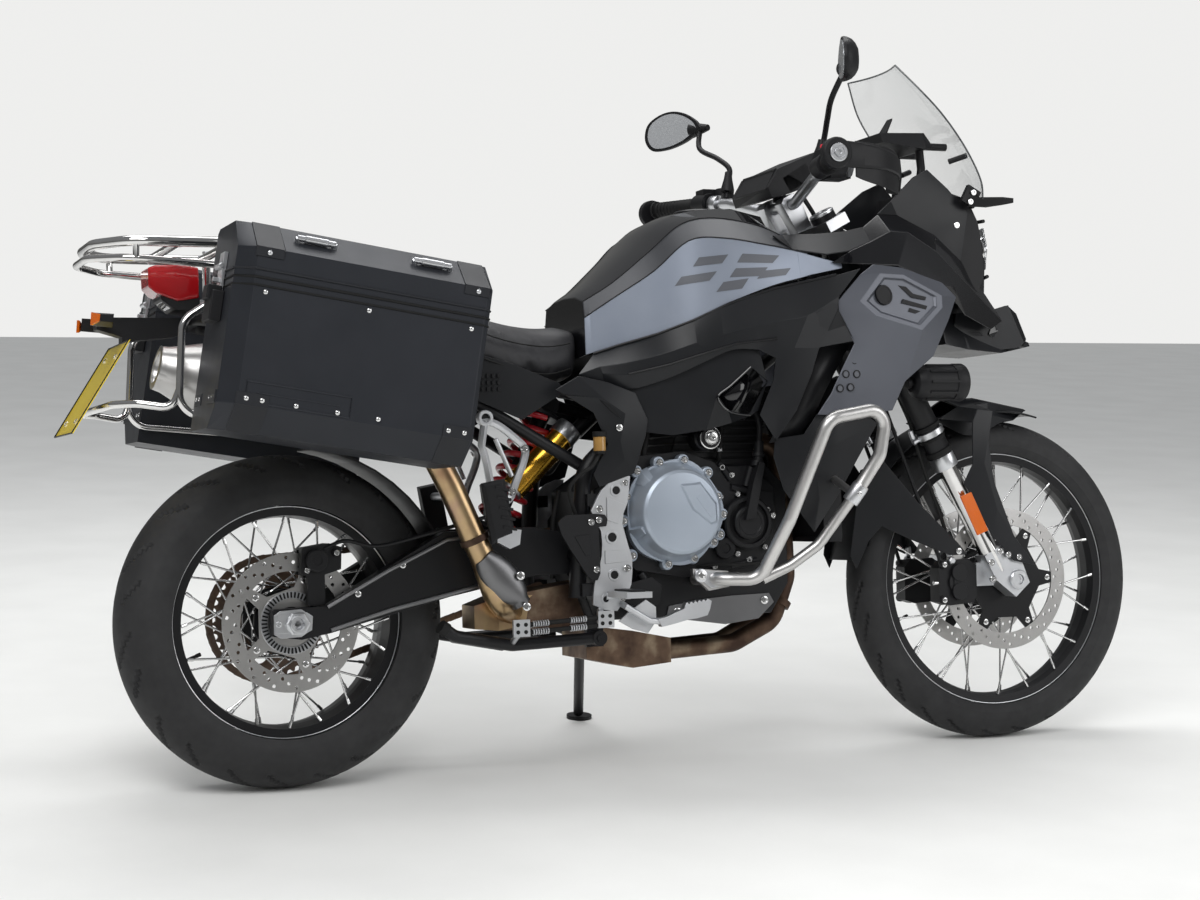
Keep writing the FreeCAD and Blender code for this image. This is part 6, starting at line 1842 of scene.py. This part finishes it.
def mirror_ring(centre, u_axis, outline, scale):
    """A ring of points from the mirror's outline, drawn in about its middle."""
    mid_u, mid_v = MIRROR_MIDDLE
    v_axis = Vector((0, 0, 1))
    return [centre + u_axis * (mid_u + (u - mid_u) * scale) + v_axis * (mid_v + (v - mid_v) * scale)
            for u, v in outline]


def mirrors():
    """Rounded shells with glass that faces back, on cranked stalks with rubber boots."""
    outline = [(p.x, p.z) for p in curved([(u, 0, v) for u, v in (
        (2, -2), (30, -22), (70, -36), (118, -42), (156, -36), (174, -10), (166, 22), (134, 40),
        (92, 46), (50, 36), (16, 16), (2, -2))], 5)][:-1]
    shells = Shape()
    glass = Shape()
    turn = math.radians(24)
    for side in (-1, 1):
        u_axis = Vector((-math.sin(turn), side * math.cos(turn), 0))
        back = Vector((-math.cos(turn), -side * math.sin(turn), 0))
        foot = Vector((1088, side * 332, 1384))
        rings = [mirror_ring(foot + back * depth, u_axis, outline, scale)
                 for depth, scale in ((-19, 0.3), (-17, 0.52), (-12, 0.72), (-5, 0.88), (4, 0.97),
                                      (10, 1.0), (14, 0.98), (14, 0.92))]
        shells.rings(rings)
        glass.rings([mirror_ring(foot + back * depth, u_axis, outline, 0.86)
                     for depth in (13.6, 15.0)])
        neck = foot + u_axis * 14 + back * 2 + Vector((0, 0, -4))
        route = curved([(1082, side * 215, 1204), (1090, side * 221, 1240),
                        (1096, side * 226, 1272),
                        (1084, side * 262, 1300), (1066, side * 315, 1330), tuple(neck),
                        tuple(foot + u_axis * 40)], 6)
        shells.tube(route, 6.0, 16)
        shells.turned((1085, side * 216, 1218), (6, side * 5, 40), (
            (0, 15), (6, 15), (30, 9.5), (46, 7.5), (46, 6)), 28)
        shells.turned(neck - u_axis * 26, u_axis, ((0, 7), (8, 9), (34, 15), (48, 18)), 24)
    shells.make("mirror_shells", "steering", "plastic_black", ("mirrors",), angle=50)
    glass.make("mirror_glass", "steering", "mirror_glass")


GUARD_HALVES = [26, 25, 21, 19, 17, 14]


def way_out(spine, i):
    """The level way square to a spine at one of its points."""
    before, after = spine[max(0, i - 1)], spine[min(len(spine) - 1, i + 1)]
    along = (after - before).normalized()
    return along.cross(Vector((0, 0, 1))).normalized()


def hand_guards():
    """A stout arm from the bar end round to the front, with a thin blade below and above it."""
    made = Shape()
    caps = Shape()
    for side in (-1, 1):
        spine = curved([(1000, side * 452, 1196), (1050, side * 449, 1194),
                        (1110, side * 436, 1190), (1160, side * 396, 1186),
                        (1195, side * 340, 1182), (1214, side * 264, 1178)], 6)
        rings = []
        for i, p in enumerate(spine):
            t = i / (len(spine) - 1) * 5
            k = min(4, int(t))
            half = GUARD_HALVES[k] + (GUARD_HALVES[k + 1] - GUARD_HALVES[k]) * (t - k)
            out = way_out(spine, i)
            rings.append([p + out * a * 6.5 + Vector((0, 0, b * half)) for a, b in (
                (-1, -0.8), (-0.6, -1), (0.6, -1), (1, -0.8), (1, 0.8), (0.6, 1),
                (-0.6, 1), (-1, 0.8))])
        made.rings(rings)
        bar_end = (-0.1, side, 0)
        made.turned((1002, side * 440, 1197), bar_end, (
            (0, 31), (14, 31), (18, 27), (18, 18), (15, 17)), 40)
        plate_spine = [p for p in spine if p.x > 1040]
        rings = []
        for i, p in enumerate(plate_spine):
            out = way_out(plate_spine, i)
            share = i / (len(plate_spine) - 1)
            low = 1132 + 20 * (2 * share - 1) ** 2
            high = 1222 - 18 * share
            rings.append([(p.x + out.x * a, p.y + out.y * a, z) for a, z in (
                (-1.8, low), (1.8, low), (1.8, high), (-1.8, high))])
        made.rings(rings)
        caps.turned((1001, side * 457, 1197), bar_end, (
            (0, 18), (3, 18), (4.5, 16.5), (4.5, 12), (3, 11.5), (3, 9), (5.5, 8.5), (5.5, 5),
            (2, 4.5), (2, 0.1)), 40)
    made.make("guard_shells", "steering", "plastic_black", ("hand_guards",),
              angle=34,
              bevel=1.4)
    caps.make("guard_bolts", "steering", "alloy_satin")


def controls():
    """Switch blocks, the brake master cylinder, clamps and the wiring behind the display."""
    black = Shape()
    for side in (-1, 1):
        black.rod((1056, side * 308, 1200), (1064, side * 262, 1198), 23.0, 28)
        black.box((1066, side * 286, 1222), (34, 40, 18))
        black.box((1094, side * 268, 1188), (46, 50, 28))
        black.rod((1080, side * 236, 1190), (1100, side * 246, 1236), 9.0, 16)
        black.turned((1100, side * 262, 1204), (0, 0, 1),
                     ((0, 21), (24, 21), (28, 19), (28, 0.1)), 28)
    for y in (-58, -20, 24, 60):
        black.tube(curved([(1130, y, 1170), (1150, y * 1.2, 1130), (1180, y * 1.1, 1080),
                           (1190, y, 1020)], 6), 5.0, 10)
    black.make("switch_blocks", "steering", "plastic_black", bevel=2.0)
    red = Shape()
    red.box((1064, -298, 1235), (26, 20, 8), Matrix.Rotation(0.2, 3, "Y"))
    red.make("red_switch", "steering", "switch_red", bevel=1.5)
    clamp = Shape()
    for side in (-1, 1):
        clamp.box((1101, side * 42, 1160), (40, 30, 10), Matrix.Rotation(-0.48, 3, "Y"))
        for step in (-14, 14):
            clamp.bolt((1099 + step * 0.88, side * 42, 1165 + step * 0.46),
                       (-0.47, 0, 0.88), 5.0, 4.0)
    clamp.turned(steer_point(1248, 0, 0), steer_point(1, 0, 0) - steer_point(0, 0, 0), (
        (0, 22), (8, 22), (10, 20), (10, 9), (6, 8.5)), 6)
    clamp.make("bar_clamps", "steering", "alloy_satin", bevel=1.0)
    ends = Shape()
    for side in (-1, 1):
        for i in range(12):
            share = i / 11
            a = Vector((1053, side * 320, 1200)).lerp(Vector((1008, side * 422, 1203)), share)
            ends.turned(a, (-0.42, side * 0.95, 0.03), ((0, 17.6), (3, 17.6)), 28)
        ends.turned((1007, side * 424, 1203), (-0.42, side, 0.03), ((0, 20), (6, 20), (7, 18)), 28)
    ends.make("grip_ribs", "steering", "rubber_black")


def display():
    """The tilted display: a glossy face in a frame, with brackets ahead of it."""
    glass = Shape()
    out = Vector((-0.86, 0, 0.5))
    face = [Vector(corner) for corner in (
        (1036.5, -76, 1181), (1059.5, -76, 1222.5), (1059.5, 76, 1222.5), (1036.5, 76, 1181))]
    glass.rings([[p + out * lift for p in face] for lift in (-0.5, 1.2)])
    glass.make("display_face", "steering", "display_glass", bevel=1.0)
    rim = Shape()
    rim.tube([p + out * 1.2 for p in face], 3.0, 8, closed=True)
    for side in (-1, 1):
        rim.box((1104, side * 84, 1206), (64, 8, 34), Matrix.Rotation(-0.55, 3, "Y"))
        rim.box((1140, side * 60, 1206), (30, 26, 26), Matrix.Rotation(-0.55, 3, "Y"))
    rim.make("display_rim", "steering", "plastic_black", bevel=2.0)


def headlight():
    """The lamp face: two lenses over bowls, rails above and below, and a ribbed vent."""
    lens = Shape()
    bowl = Shape()
    for side in (-1, 1):
        outline = ((28, 1010), (88, 1020), (96, 1070), (84, 1112), (34, 1104), (20, 1060))
        lens.rings([[(x, side * y, z) for y, z in outline] for x in (1551.5, 1556.5)])
        bowl.turned((1548, side * 58, 1062), (1, 0, 0),
                    ((0, 34), (9, 36), (9.4, 33), (3, 26), (2.5, 0.1)), 40)
    lens.make("headlight_lenses", "chassis", "lens_clear", bevel=1.5)
    bowl.make("headlight_bowls", "chassis", "chrome")
    trim = Shape()
    for z in (966, 976, 986):
        trim.box((1536, 0, z), (14, 120, 4))
    trim.tube([(1552, -100, 1004), (1554, -50, 998), (1554, 50, 998), (1552, 100, 1004)], 4.0, 10)
    trim.tube([(1546, -100, 1124), (1549, -50, 1126), (1549, 50, 1126), (1546, 100, 1124)], 4.0, 10)
    trim.make("headlight_trim", "chassis", "plastic_black")


def screen():
    """The clear screen with rolled edges, its side clips, winglets and bolts."""
    rows = ((1160, 1560, 138, 36), (1204, 1547, 156, 38), (1270, 1510, 162, 40),
            (1336, 1460, 158, 38), (1390, 1411, 142, 32), (1452, 1357, 104, 20))
    lines = curved([(x, half, z) for z, x, half, back in rows], 5)
    backs = curved([(back, 0, z) for z, x, half, back in rows], 5)
    made = Shape()
    rings = []
    for p, back in zip(lines, backs):
        ring = [(p.x - back.x * t * t, p.y * t, p.z) for t in (i / 12 for i in range(-12, 13))]
        ring += [(p.x - 4 - back.x * t * t, p.y * t,
                  p.z) for t in (i / 12 for i in range(12, -13, -1))]
        rings.append(ring)
    made.rings(rings)
    made.make("screen_sheet", "chassis", "screen_clear", ("windscreen",), angle=40)
    edge = Shape()
    border = [(p.x - 2 - b.x, -p.y, p.z) for p, b in zip(lines, backs)]
    last, cut = lines[-1], backs[-1]
    border += [(last.x - 2 - cut.x * t * t, last.y * t,
                last.z) for t in (i / 12 for i in range(-11, 12))]
    border += [(p.x - 2 - b.x, p.y, p.z) for p, b in reversed(list(zip(lines, backs)))]
    edge.tube(border, 1.9, 8)
    edge.make("screen_edge", "chassis", "screen_edge")
    clips = Shape()
    for side in (-1, 1):
        clips.box((1497, side * 128, 1172), (34, 12, 40), Matrix.Rotation(0.5, 3, "Y"))
        clips.rings([[(1488, side * 132, 1150), (1530, side * 137, 1148), (1528, side * 141, 1166),
                      (1492, side * 136, 1170)],
                     [(1560, side * 150, 1152), (1590, side * 152, 1158), (1588, side * 156, 1168),
                      (1562, side * 154, 1170)]])
        clips.rod((1462, side * 100, 1250), (1496, side * 122, 1262), 6.0, 14)
    clips.make("screen_clips", "chassis", "plastic_black", bevel=1.5)
    bolts = Shape()
    for side in (-1, 1):
        for x, y, z in ((1500, 135, 1180), (1492, 135, 1160)):
            bolts.bolt((x, side * y, z), (0, side, 0), 6.5, 4.0)
        bolts.bolt((1470, side * 112, 1112), (0, side, 0), 7.0, 4.0)
    bolts.make("screen_bolts", "chassis", "steel_bright")


def fog_lamps():
    """Ribbed bodies, brackets and glass of the two fog lamps."""
    ribs = Shape()
    glass = Shape()
    for side in (-1, 1):
        y = side * 186
        for i in range(10):
            t = 2 * math.pi * i / 10
            ribs.box((1372, y + 37 * math.cos(t), 769 + 37 * math.sin(t)), (76, 5, 5),
                     Matrix.Rotation(t, 3, "X"))
        ribs.turned((1398, y, 769), (1, 0, 0),
                    ((0, 38.5), (6, 40), (24, 40), (28, 38), (28, 32)), 40)
        ribs.rod((1305, y, 769), (1294, y, 766), 11.0, 20)
        ribs.box((1300, side * 192, 808), (24, 14, 34))
        glass.turned((1420, y, 769), (1, 0, 0), ((0, 31), (3, 31), (4.5, 28), (5, 0.1)), 40)
    ribs.make("fog_ribs", "chassis", "plastic_black", bevel=1.0)
    glass.make("fog_glass", "chassis", "lens_clear")


def beak_lines():
    """The raised gloss upper lips of the beak and its dark sides."""
    lip = {"a": (1588, -78, 934), "b": (1624, -66, 945), "c": (1649, -60, 928),
           "d": (1674, -58, 872), "e": (1661, -68, 853), "f": (1593, -74, 853),
           "g": (1560, -86, 880), "h": (1600, -80, 892)}
    skin("beak_lips", "chassis", lip, ["a b c h", "c d e h", "e f g h", "g a h"], "gloss_black",
         depth=3.0, bevel=1.6)
    under = {"a": (1464, -80, 888), "b": (1489, -78, 860), "c": (1582, -74, 843),
             "d": (1593, -74, 853),
             "e": (1540, -84, 884)}
    skin("beak_sides", "chassis", under, ["a b e", "b c e", "c d e"], "plastic_side", depth=3.0)


def front_end():
    """Everything from the fender up to the screen."""
    fender()
    fork_trim()
    front_calipers()
    mirrors()
    hand_guards()
    controls()
    display()
    headlight()
    screen()
    fog_lamps()
    beak_lines()


# Footrests, rear axle, tail and stands

def holed_plate(outline, near, far, holes, made, dark):
    """A flat plate with rimmed dark holes on its outer face."""
    made.slab(outline, near, far)
    outward = 1 if far > near else -1
    for x, z, radius in holes:
        made.turned((x, far, z), (0, outward, 0), (
            (0, radius + 5), (1.6, radius + 4.4), (1.6, radius + 0.4), (0.2, radius)), 28)
        dark.turned((x, far, z), (0, outward, 0), ((0, radius), (0.7, radius), (0.7, 0.1)), 28)


def footrests():
    """Pierced footrest plates, rubber guards, toothed rests, and the passenger's rests."""
    silver = Shape()
    dark = Shape()
    rubber = Shape()
    bolts = Shape()
    for side in (-1, 1):
        y = side * 182
        outline = ((646, 586), (664, 586), (661, 560), (657, 533), (648, 512), (645, 492),
                   (654, 458), (664, 424), (664, 398), (661, 372), (648, 346), (630, 321),
                   (604, 324), (579, 335), (580, 356), (583, 376), (592, 402), (599, 430),
                   (601, 454), (599, 478), (588, 500), (579, 519), (590, 540),
                   (602, 559), (622, 576))
        holed_plate(outline, y - side * 4, y + side * 3,
                    ((633, 558, 8), (622, 466, 9), (625, 392, 8), (606, 345, 6)), silver, dark)
        silver.slab(((612, 545), (650, 530), (636, 492), (612, 500)), y + side * 3, y + side * 5)
        silver.slab(((606, 440), (650, 440), (655, 418), (606, 414)), y + side * 3, y + side * 5)
        for x, z, radius in ((596, 522, 7.5), (652, 572, 6.5), (652, 404, 7.5), (640, 346, 6.5)):
            bolts.bolt((x, y + side * 3.5, z), (0, side, 0), radius, 4.5)
        guard = ((507, 497), (515, 506), (526, 512), (588, 513), (606, 511), (612, 502), (609, 488),
                 (592, 487), (593, 450), (594, 415), (594, 396), (588, 383), (576, 382), (566, 392),
                 (548, 420), (531, 445), (514, 474))
        rubber.slab(guard, side * 184, side * 191)
        rubber.slab(((540, 470), (574, 474), (574, 430), (562, 432)), side * 189, side * 192.5)
        for x, z in ((576, 497), (592, 501), (585, 404)):
            bolts.bolt((x, side * 191, z), (0, side, 0), 6.5, 3.5)
        teeth = [(612 - (i % 2) * 5, -186 - 8 * i) for i in range(14)]
        back = [(655 + (i % 2) * 5, -186 - 8 * i) for i in range(14)]
        silver.rings([[(x, -side * s, z) for x, s in teeth + back[::-1]] for z in (349, 361)])
        rubber.box((634, side * 240, 361), (26, 96, 8))
        silver.rod((606, side * 182, 352), (660, side * 182, 352), 9.0, 20)
        route = curved([(377, -145, 700), (404, -145, 690), (434, -145, 668), (458, -145, 645),
                        (455, -145, 618), (438, -145, 578), (424, -145, 546), (400, -145, 540),
                        (388, -145, 566), (378, -145, 620), (366, -145, 660)], 4)[:-1]
        silver.tube([(p.x, side * 145, p.z) for p in route], 8.0, 6, closed=True)
        silver.turned((377, side * 138, 704), (0, side, 0),
                      ((0, 16), (14, 16), (15.5, 14), (15.5, 9), (8, 8.5)), 28)
        dark.turned((377, side * 147, 704), (0, side, 0), ((0, 9), (1, 9), (1, 0.1)), 24)
        silver.rod((398, side * 146, 664), (430, side * 146, 590), 5.0, 12)
        silver.rod((384, side * 143, 556), (376, side * 200, 556), 8.0, 20)
        silver.rings([[(x, side * s, z)
                       for x, z in ((378, 492), (424, 486), (420, 458), (400, 450), (374, 464))]
                      for s in (190, 211)])
        bolts.bolt((456, side * 151, 644), (0, side, 0), 8.0, 5.0)
        bolts.bolt((428, side * 151, 560), (0, side, 0), 7.0, 5.0)
        rubber.rings([
            [(x, side * 190, z) for x, z in ((347, 574), (392, 582), (411, 474), (368, 463))],
            [(x, side * 206, z) for x, z in ((345, 577), (394, 586), (414, 473), (365, 459))],
            [(x, side * 212, z) for x, z in ((352, 570), (386, 576), (404, 482), (372, 470))]])
        for i in range(5):
            rubber.box((386 + 3.6 * i, side * 212, 566 - 19 * i), (30, 3, 6),
                       Matrix.Rotation(0.2, 3, "Y"))
    silver.make("footrest_plates", "chassis", "alloy_cast", ("footrests",), bevel=1.5)
    dark.make("footrest_holes", "chassis", "frame_black")
    rubber.make("footrest_rubbers", "chassis", "plastic_black", bevel=1.5)
    bolts.make("footrest_bolts", "chassis", "steel_bright")


def pedals():
    """The serrated brake pedal, the gear lever, and the twin beaded rods on the right."""
    silver = Shape()
    dark = Shape()
    for left, right in ((402, 436), (577, 611)):
        rise = (right - 402) * 0.056
        silver.slab(((left, 279 + rise), (right, 279 + rise), (right, 312 + rise),
                     (left, 312 + rise)),
                    -206, -214)
        for x in (left + 9, right - 9):
            for z in (288, 302):
                dark.turned((x, -214, z + rise), (0, -1, 0), ((0, 4), (0.6, 4), (0.6, 0.1)), 16)
    for z in (303, 288):
        dark.rod((436, -210, z + 1), (577, -210, z + 8), 4.6, 14)
        for start in (442, 520):
            for x in range(start, start + 35, 5):
                silver.turned((x, -210, z + 1 + (x - 436) * 0.05), (1, 0, 0.05),
                              ((0, 6.6), (2.6, 6.6)), 16)
    silver.rod((594, -210, 300), (594, -180, 326), 6.0, 14)
    silver.rod((419, -210, 294), (419, -160, 268), 6.0, 14)
    silver.make("lever_rods_silver", "chassis", "alloy_cast", bevel=0.8)
    dark.make("lever_rods_dark", "chassis", "rubber_black")
    pedal = Shape()
    outline = [(705, 303), (722, 306), (742, 314), (762, 321)]
    for i in range(6):
        outline += [(764 + 9 * i, 328 + 1.2 * i), (768 + 9 * i, 334 + 1.0 * i)]
    outline += [(822, 334), (818, 318), (812, 306), (790, 301), (770, 299), (740, 292), (713, 287)]
    pedal.slab(outline, -196, -212)
    pedal.slab(((630, 301), (648, 317), (688, 341), (709, 326), (709, 298), (691, 275), (660, 284)),
               -188, -193)
    pedal.tube([(716, -204, 298), (690, -204, 300), (640, -204, 330), (640, -186, 334)], 6.5, 14)
    pedal.tube([(640, 186, 334), (640, 206, 334), (700, 206, 322), (790, 206, 322),
                (796, 240, 322)], 6.0, 14)
    pedal.turned((796, 214, 322), (0, 1, 0), ((0, 10), (30, 10), (33, 8)), 20)
    pedal.make("pedals", "chassis", "alloy_cast", ("foot_controls",), bevel=1.2)


def rear_axle_trim():
    """Axle plates, ribs along the swing arm, the ring the sensor reads, and caliper trim."""
    silver = Shape()
    arm = Shape()
    for side in (-1, 1):
        y = side * 127
        silver.rings([[(x, y + side * lift, z) for x, z in (
            (-44, 302), (-32, 294), (8, 296), (22, 306), (22, 338), (8, 348), (-32, 346),
            (-44, 338))]
            for lift in (-1, 6)])
        silver.turned((0, y + side * 6, 321), (0, side, 0),
                      ((0, 22), (6, 22), (8, 19), (8, 11), (3, 10.5)), 40)
        silver.bolt((-36, y + side * 5, 321), (0, side, 0), 6.0, 3.5)
        for dx, dz, x2, z2 in ((60, 350, 300, 470), (66, 306, 306, 366)):
            arm.tube([(dx, y, dz), ((dx + x2) / 2, y, (dz + z2) / 2 + 4), (x2, y, z2),
                      (430, y, z2 + (14 if z2 > 400 else 26))], 5.0, 10)
    silver.make("axle_plates", "chassis", "alloy_satin", bevel=1.2)
    arm.make("arm_edges", "chassis", "cast_grey")
    ring = Shape()
    for i in range(48):
        angle = 360.0 * i / 48
        middle = around(REAR_AXLE, 53, angle, -91)
        ring.box(middle, (11, 2, 3.2), Matrix.Rotation(-math.radians(angle), 3, "Y"))
    ring.make("sensor_slots", "rear_wheel", "engine_black")
    caliper = Shape()
    caliper.turned((44, -118, 438), (0, -1, 0),
                   ((0, 22), (5, 22), (7, 19), (7, 9), (5, 8), (5, 0.1)), 36)
    caliper.rod((82, -114, 452), (82, -122, 452), 8.0, 18)
    caliper.tube(curved([(60, -112, 460), (100, -122, 474), (160, -128, 462), (250, -130, 480),
                         (330, -128, 500), (420, -120, 520)], 6), 4.0, 10)
    caliper.make("rear_caliper_trim", "chassis", "engine_black", bevel=1.0)
    pins = Shape()
    pins.bolt((82, -122, 452), (0, -1, 0), 5.5, 3.0)
    pins.bolt((26, -114, 420), (0, -1, 0), 5.5, 3.0)
    for x, z in ((120, 372), (210, 424)):
        pins.bolt((x, -128, z), (0, -1, 0), 6.0, 3.0)
    pins.make("rear_caliper_pins", "chassis", "steel_bright")


def tail_lamps():
    """Tail lamp, plate lamp, indicator lenses, and the plate's bolts and rim."""
    red = Shape()
    red.rings([
        [(-157, y, z)
         for y, z in ((-56, 940), (56, 940), (60, 972), (56, 998), (-56, 998), (-60, 972))],
        [(-196, y, z)
         for y, z in ((-55, 934), (55, 934), (58, 970), (55, 1003), (-55, 1003), (-58, 970))],
        [(-236, y, z)
         for y, z in ((-44, 950), (44, 950), (48, 976), (44, 1003), (-44, 1003), (-48, 976))],
        [(-249, y, z)
         for y, z in ((-36, 962), (36, 962), (40, 980), (36, 998), (-36, 998), (-40, 980))]])
    red.make("tail_lens", "chassis", "lens_red", ("tail_light",), bevel=3.0)
    base = Shape()
    base.rings([
        [(-155, y, z) for y, z in ((-54, 914), (54, 914), (54, 946), (-54, 946))],
        [(-200, y, z) for y, z in ((-50, 918), (50, 918), (50, 948), (-50, 948))],
        [(-226, y, z) for y, z in ((-40, 938), (40, 938), (40, 954), (-40, 954))]])
    base.make("tail_base", "chassis", "plastic_black", bevel=2.0)
    clear = Shape()
    clear.rings([[(-206, y, z) for y, z in ((-30, 922), (30, 922), (30, 940), (-30, 940))],
                 [(-222, y, z) for y, z in ((-28, 934), (28, 934), (28, 944), (-28, 944))]])
    clear.make("plate_lamp", "chassis", "lens_clear", bevel=1.0)
    amber = Shape()
    for side in (-1, 1):
        amber.rings([[(x, side * 84, z)
                      for x, z in ((-366, 884), (-360, 884), (-358, 908), (-364, 909))],
                     [(x, side * 107, z)
                      for x, z in ((-357, 889), (-352, 889), (-350, 903), (-355, 904))]])
    amber.make("indicator_lenses", "chassis", "lens_amber", bevel=1.0)
    bolts = Shape()
    for y in (-60, 60):
        for share in (0.16, 0.86):
            place = Vector((-299, y, 856)).lerp(Vector((-406, y, 684)), share)
            bolts.bolt(place, (-0.85, 0, 0.53), 5.5, 2.5)
    bolts.make("plate_bolts", "chassis", "steel_bright")
    rim = Shape()
    corners = ([Vector((-300, y, 855)) for y in (-108, 108)]
               + [Vector((-406, y, 685)) for y in (108, -108)])
    rim.tube(corners, 1.8, 8, closed=True)
    rim.make("plate_rim", "chassis", "plastic_black")


def rack_trim():
    """Clamp rings, bolts and mounting blocks of the luggage rack."""
    parts = Shape()
    for side in (-1, 1):
        for x in (-110, -210):
            parts.turned((x, side * 142, 1035), (0, side, 0), ((0, 10.5), (10, 10.5)), 20)
        parts.bolt((-110, side * 96, 1043), (0, 0, 1), 7.0, 4.0)
        parts.box((-110, side * 96, 940), (30, 22, 22))
    parts.make("rack_fittings", "chassis", "alloy_satin", bevel=1.0)


def stand_trim():
    """The side stand's spring and the centre stand's rubber feet."""
    springs = Shape()
    spring = [(585 - 40 * t, 138 + 4 * math.cos(40 * t), 300 - 20 * t + 4 * math.sin(40 * t))
              for t in (i / 120 for i in range(121))]
    springs.tube(spring, 1.6, 6)
    springs.make("side_stand_spring", "chassis", "steel_bright")
    foot = Shape()
    for side in (-1, 1):
        foot.rod((282, side * 171, 297), (268, side * 173, 306), 14.0, 24)
    foot.make("centre_stand_feet", "centre_stand", "rubber_black")


def seat_sides():
    """Dark panels between the seat and the frame tube, with a few drain slots."""
    panel = {"a": (352, -150, 832), "b": (430, -150, 812), "c": (533, -148, 772),
             "d": (548, -146, 756),
             "e": (455, -146, 700), "f": (352, -148, 742), "g": (430, -153, 762)}
    skin("seat_sides", "chassis", panel, ["a b g f", "b c g", "c d g", "d e g", "e f g"],
         "plastic_side")
    slots = Shape()
    for row in range(3):
        for column in range(4):
            slots.box((372 + 11 * column, -152, 786 - 13 * row), (6, 3, 8))
    slots.mirror()
    slots.make("seat_side_slots", "chassis", "frame_black", bevel=0.8)


def crash_bar_trim():
    """Plates, clamp rings and bolts of the crash bars."""
    made = Shape()
    bolts = Shape()
    for side in (-1, 1):
        made.slab(((800, 396), (826, 394), (872, 388), (872, 364), (834, 358), (804, 382)),
                  side * 182, side * 185)
        made.turned((812, side * 184, 384), (0, side, 0), ((0, 14), (4, 14), (5, 12)), 28)
        bolts.bolt((812, side * 188, 384), (0, side, 0), 8.0, 4.0)
        bolts.bolt((856, side * 185, 376), (0, side, 0), 6.5, 3.5)
        made.turned((1098, side * 286, 524), (22, side * 11, 34),
                    ((0, 16.6), (3, 17.2), (36, 17.2), (39, 16.6)), 32)
        bolts.bolt((1108, side * 308, 540), (0, side, 0), 5.0, 2.5)
    made.make("crash_bar_feet", "chassis", "alloy_satin", bevel=1.0)
    bolts.make("crash_bar_bolts", "chassis", "steel_bright")


def elbow_cover():
    """The rounded cover over the bend of the link pipe, and the long shield below."""
    made = Shape()
    arc = [math.pi * j / 16 for j in range(17)]
    spine = curved([(352, -176, 436), (374, -176, 412), (396, -176, 386), (418, -174, 362),
                    (432, -170, 342)], 6)
    rings = []
    for i, p in enumerate(spine):
        t = i / (len(spine) - 1)
        before, after = spine[max(0, i - 1)], spine[min(len(spine) - 1, i + 1)]
        along = (after - before).normalized()
        across = Vector((along.z, 0, -along.x))
        wide = 20 + 17 * math.sin(math.pi * min(1.0, t * 1.15)) ** 0.8
        ring = []
        for order, reach, high in ((arc, wide, 30), (arc[::-1], wide - 2.5, 27.5)):
            for a in order:
                ring.append(p + across * reach * math.cos(a)
                            + Vector((0, -high * math.sin(a) ** 0.7, 0)))
        rings.append(ring)
    made.rings(rings)
    made.slab(((767, 323), (800, 328), (826, 333), (910, 339), (993, 341), (1004, 322), (968, 290),
               (893, 281), (816, 292), (762, 300)), -120.3, -123.6)
    made.make("exhaust_covers", "chassis", "cast_grey", ("exhaust_heat_shield",), angle=40,
              bevel=0.8)


def rear_details():
    """Footrests, axle, lamps, rack, stands and the small covers."""
    footrests()
    pedals()
    rear_axle_trim()
    tail_lamps()
    rack_trim()
    stand_trim()
    crash_bar_trim()
    elbow_cover()
    seat_sides()


bpy.context.scene.view_settings.view_transform = "Standard"
make_camera()
make_light()
make_materials()
make_floor()
dress_nodes()
dress_zones()
wheels()
chain()
tank()
seat()
bodywork()
luggage()
powertrain()
front_end()
rear_details()
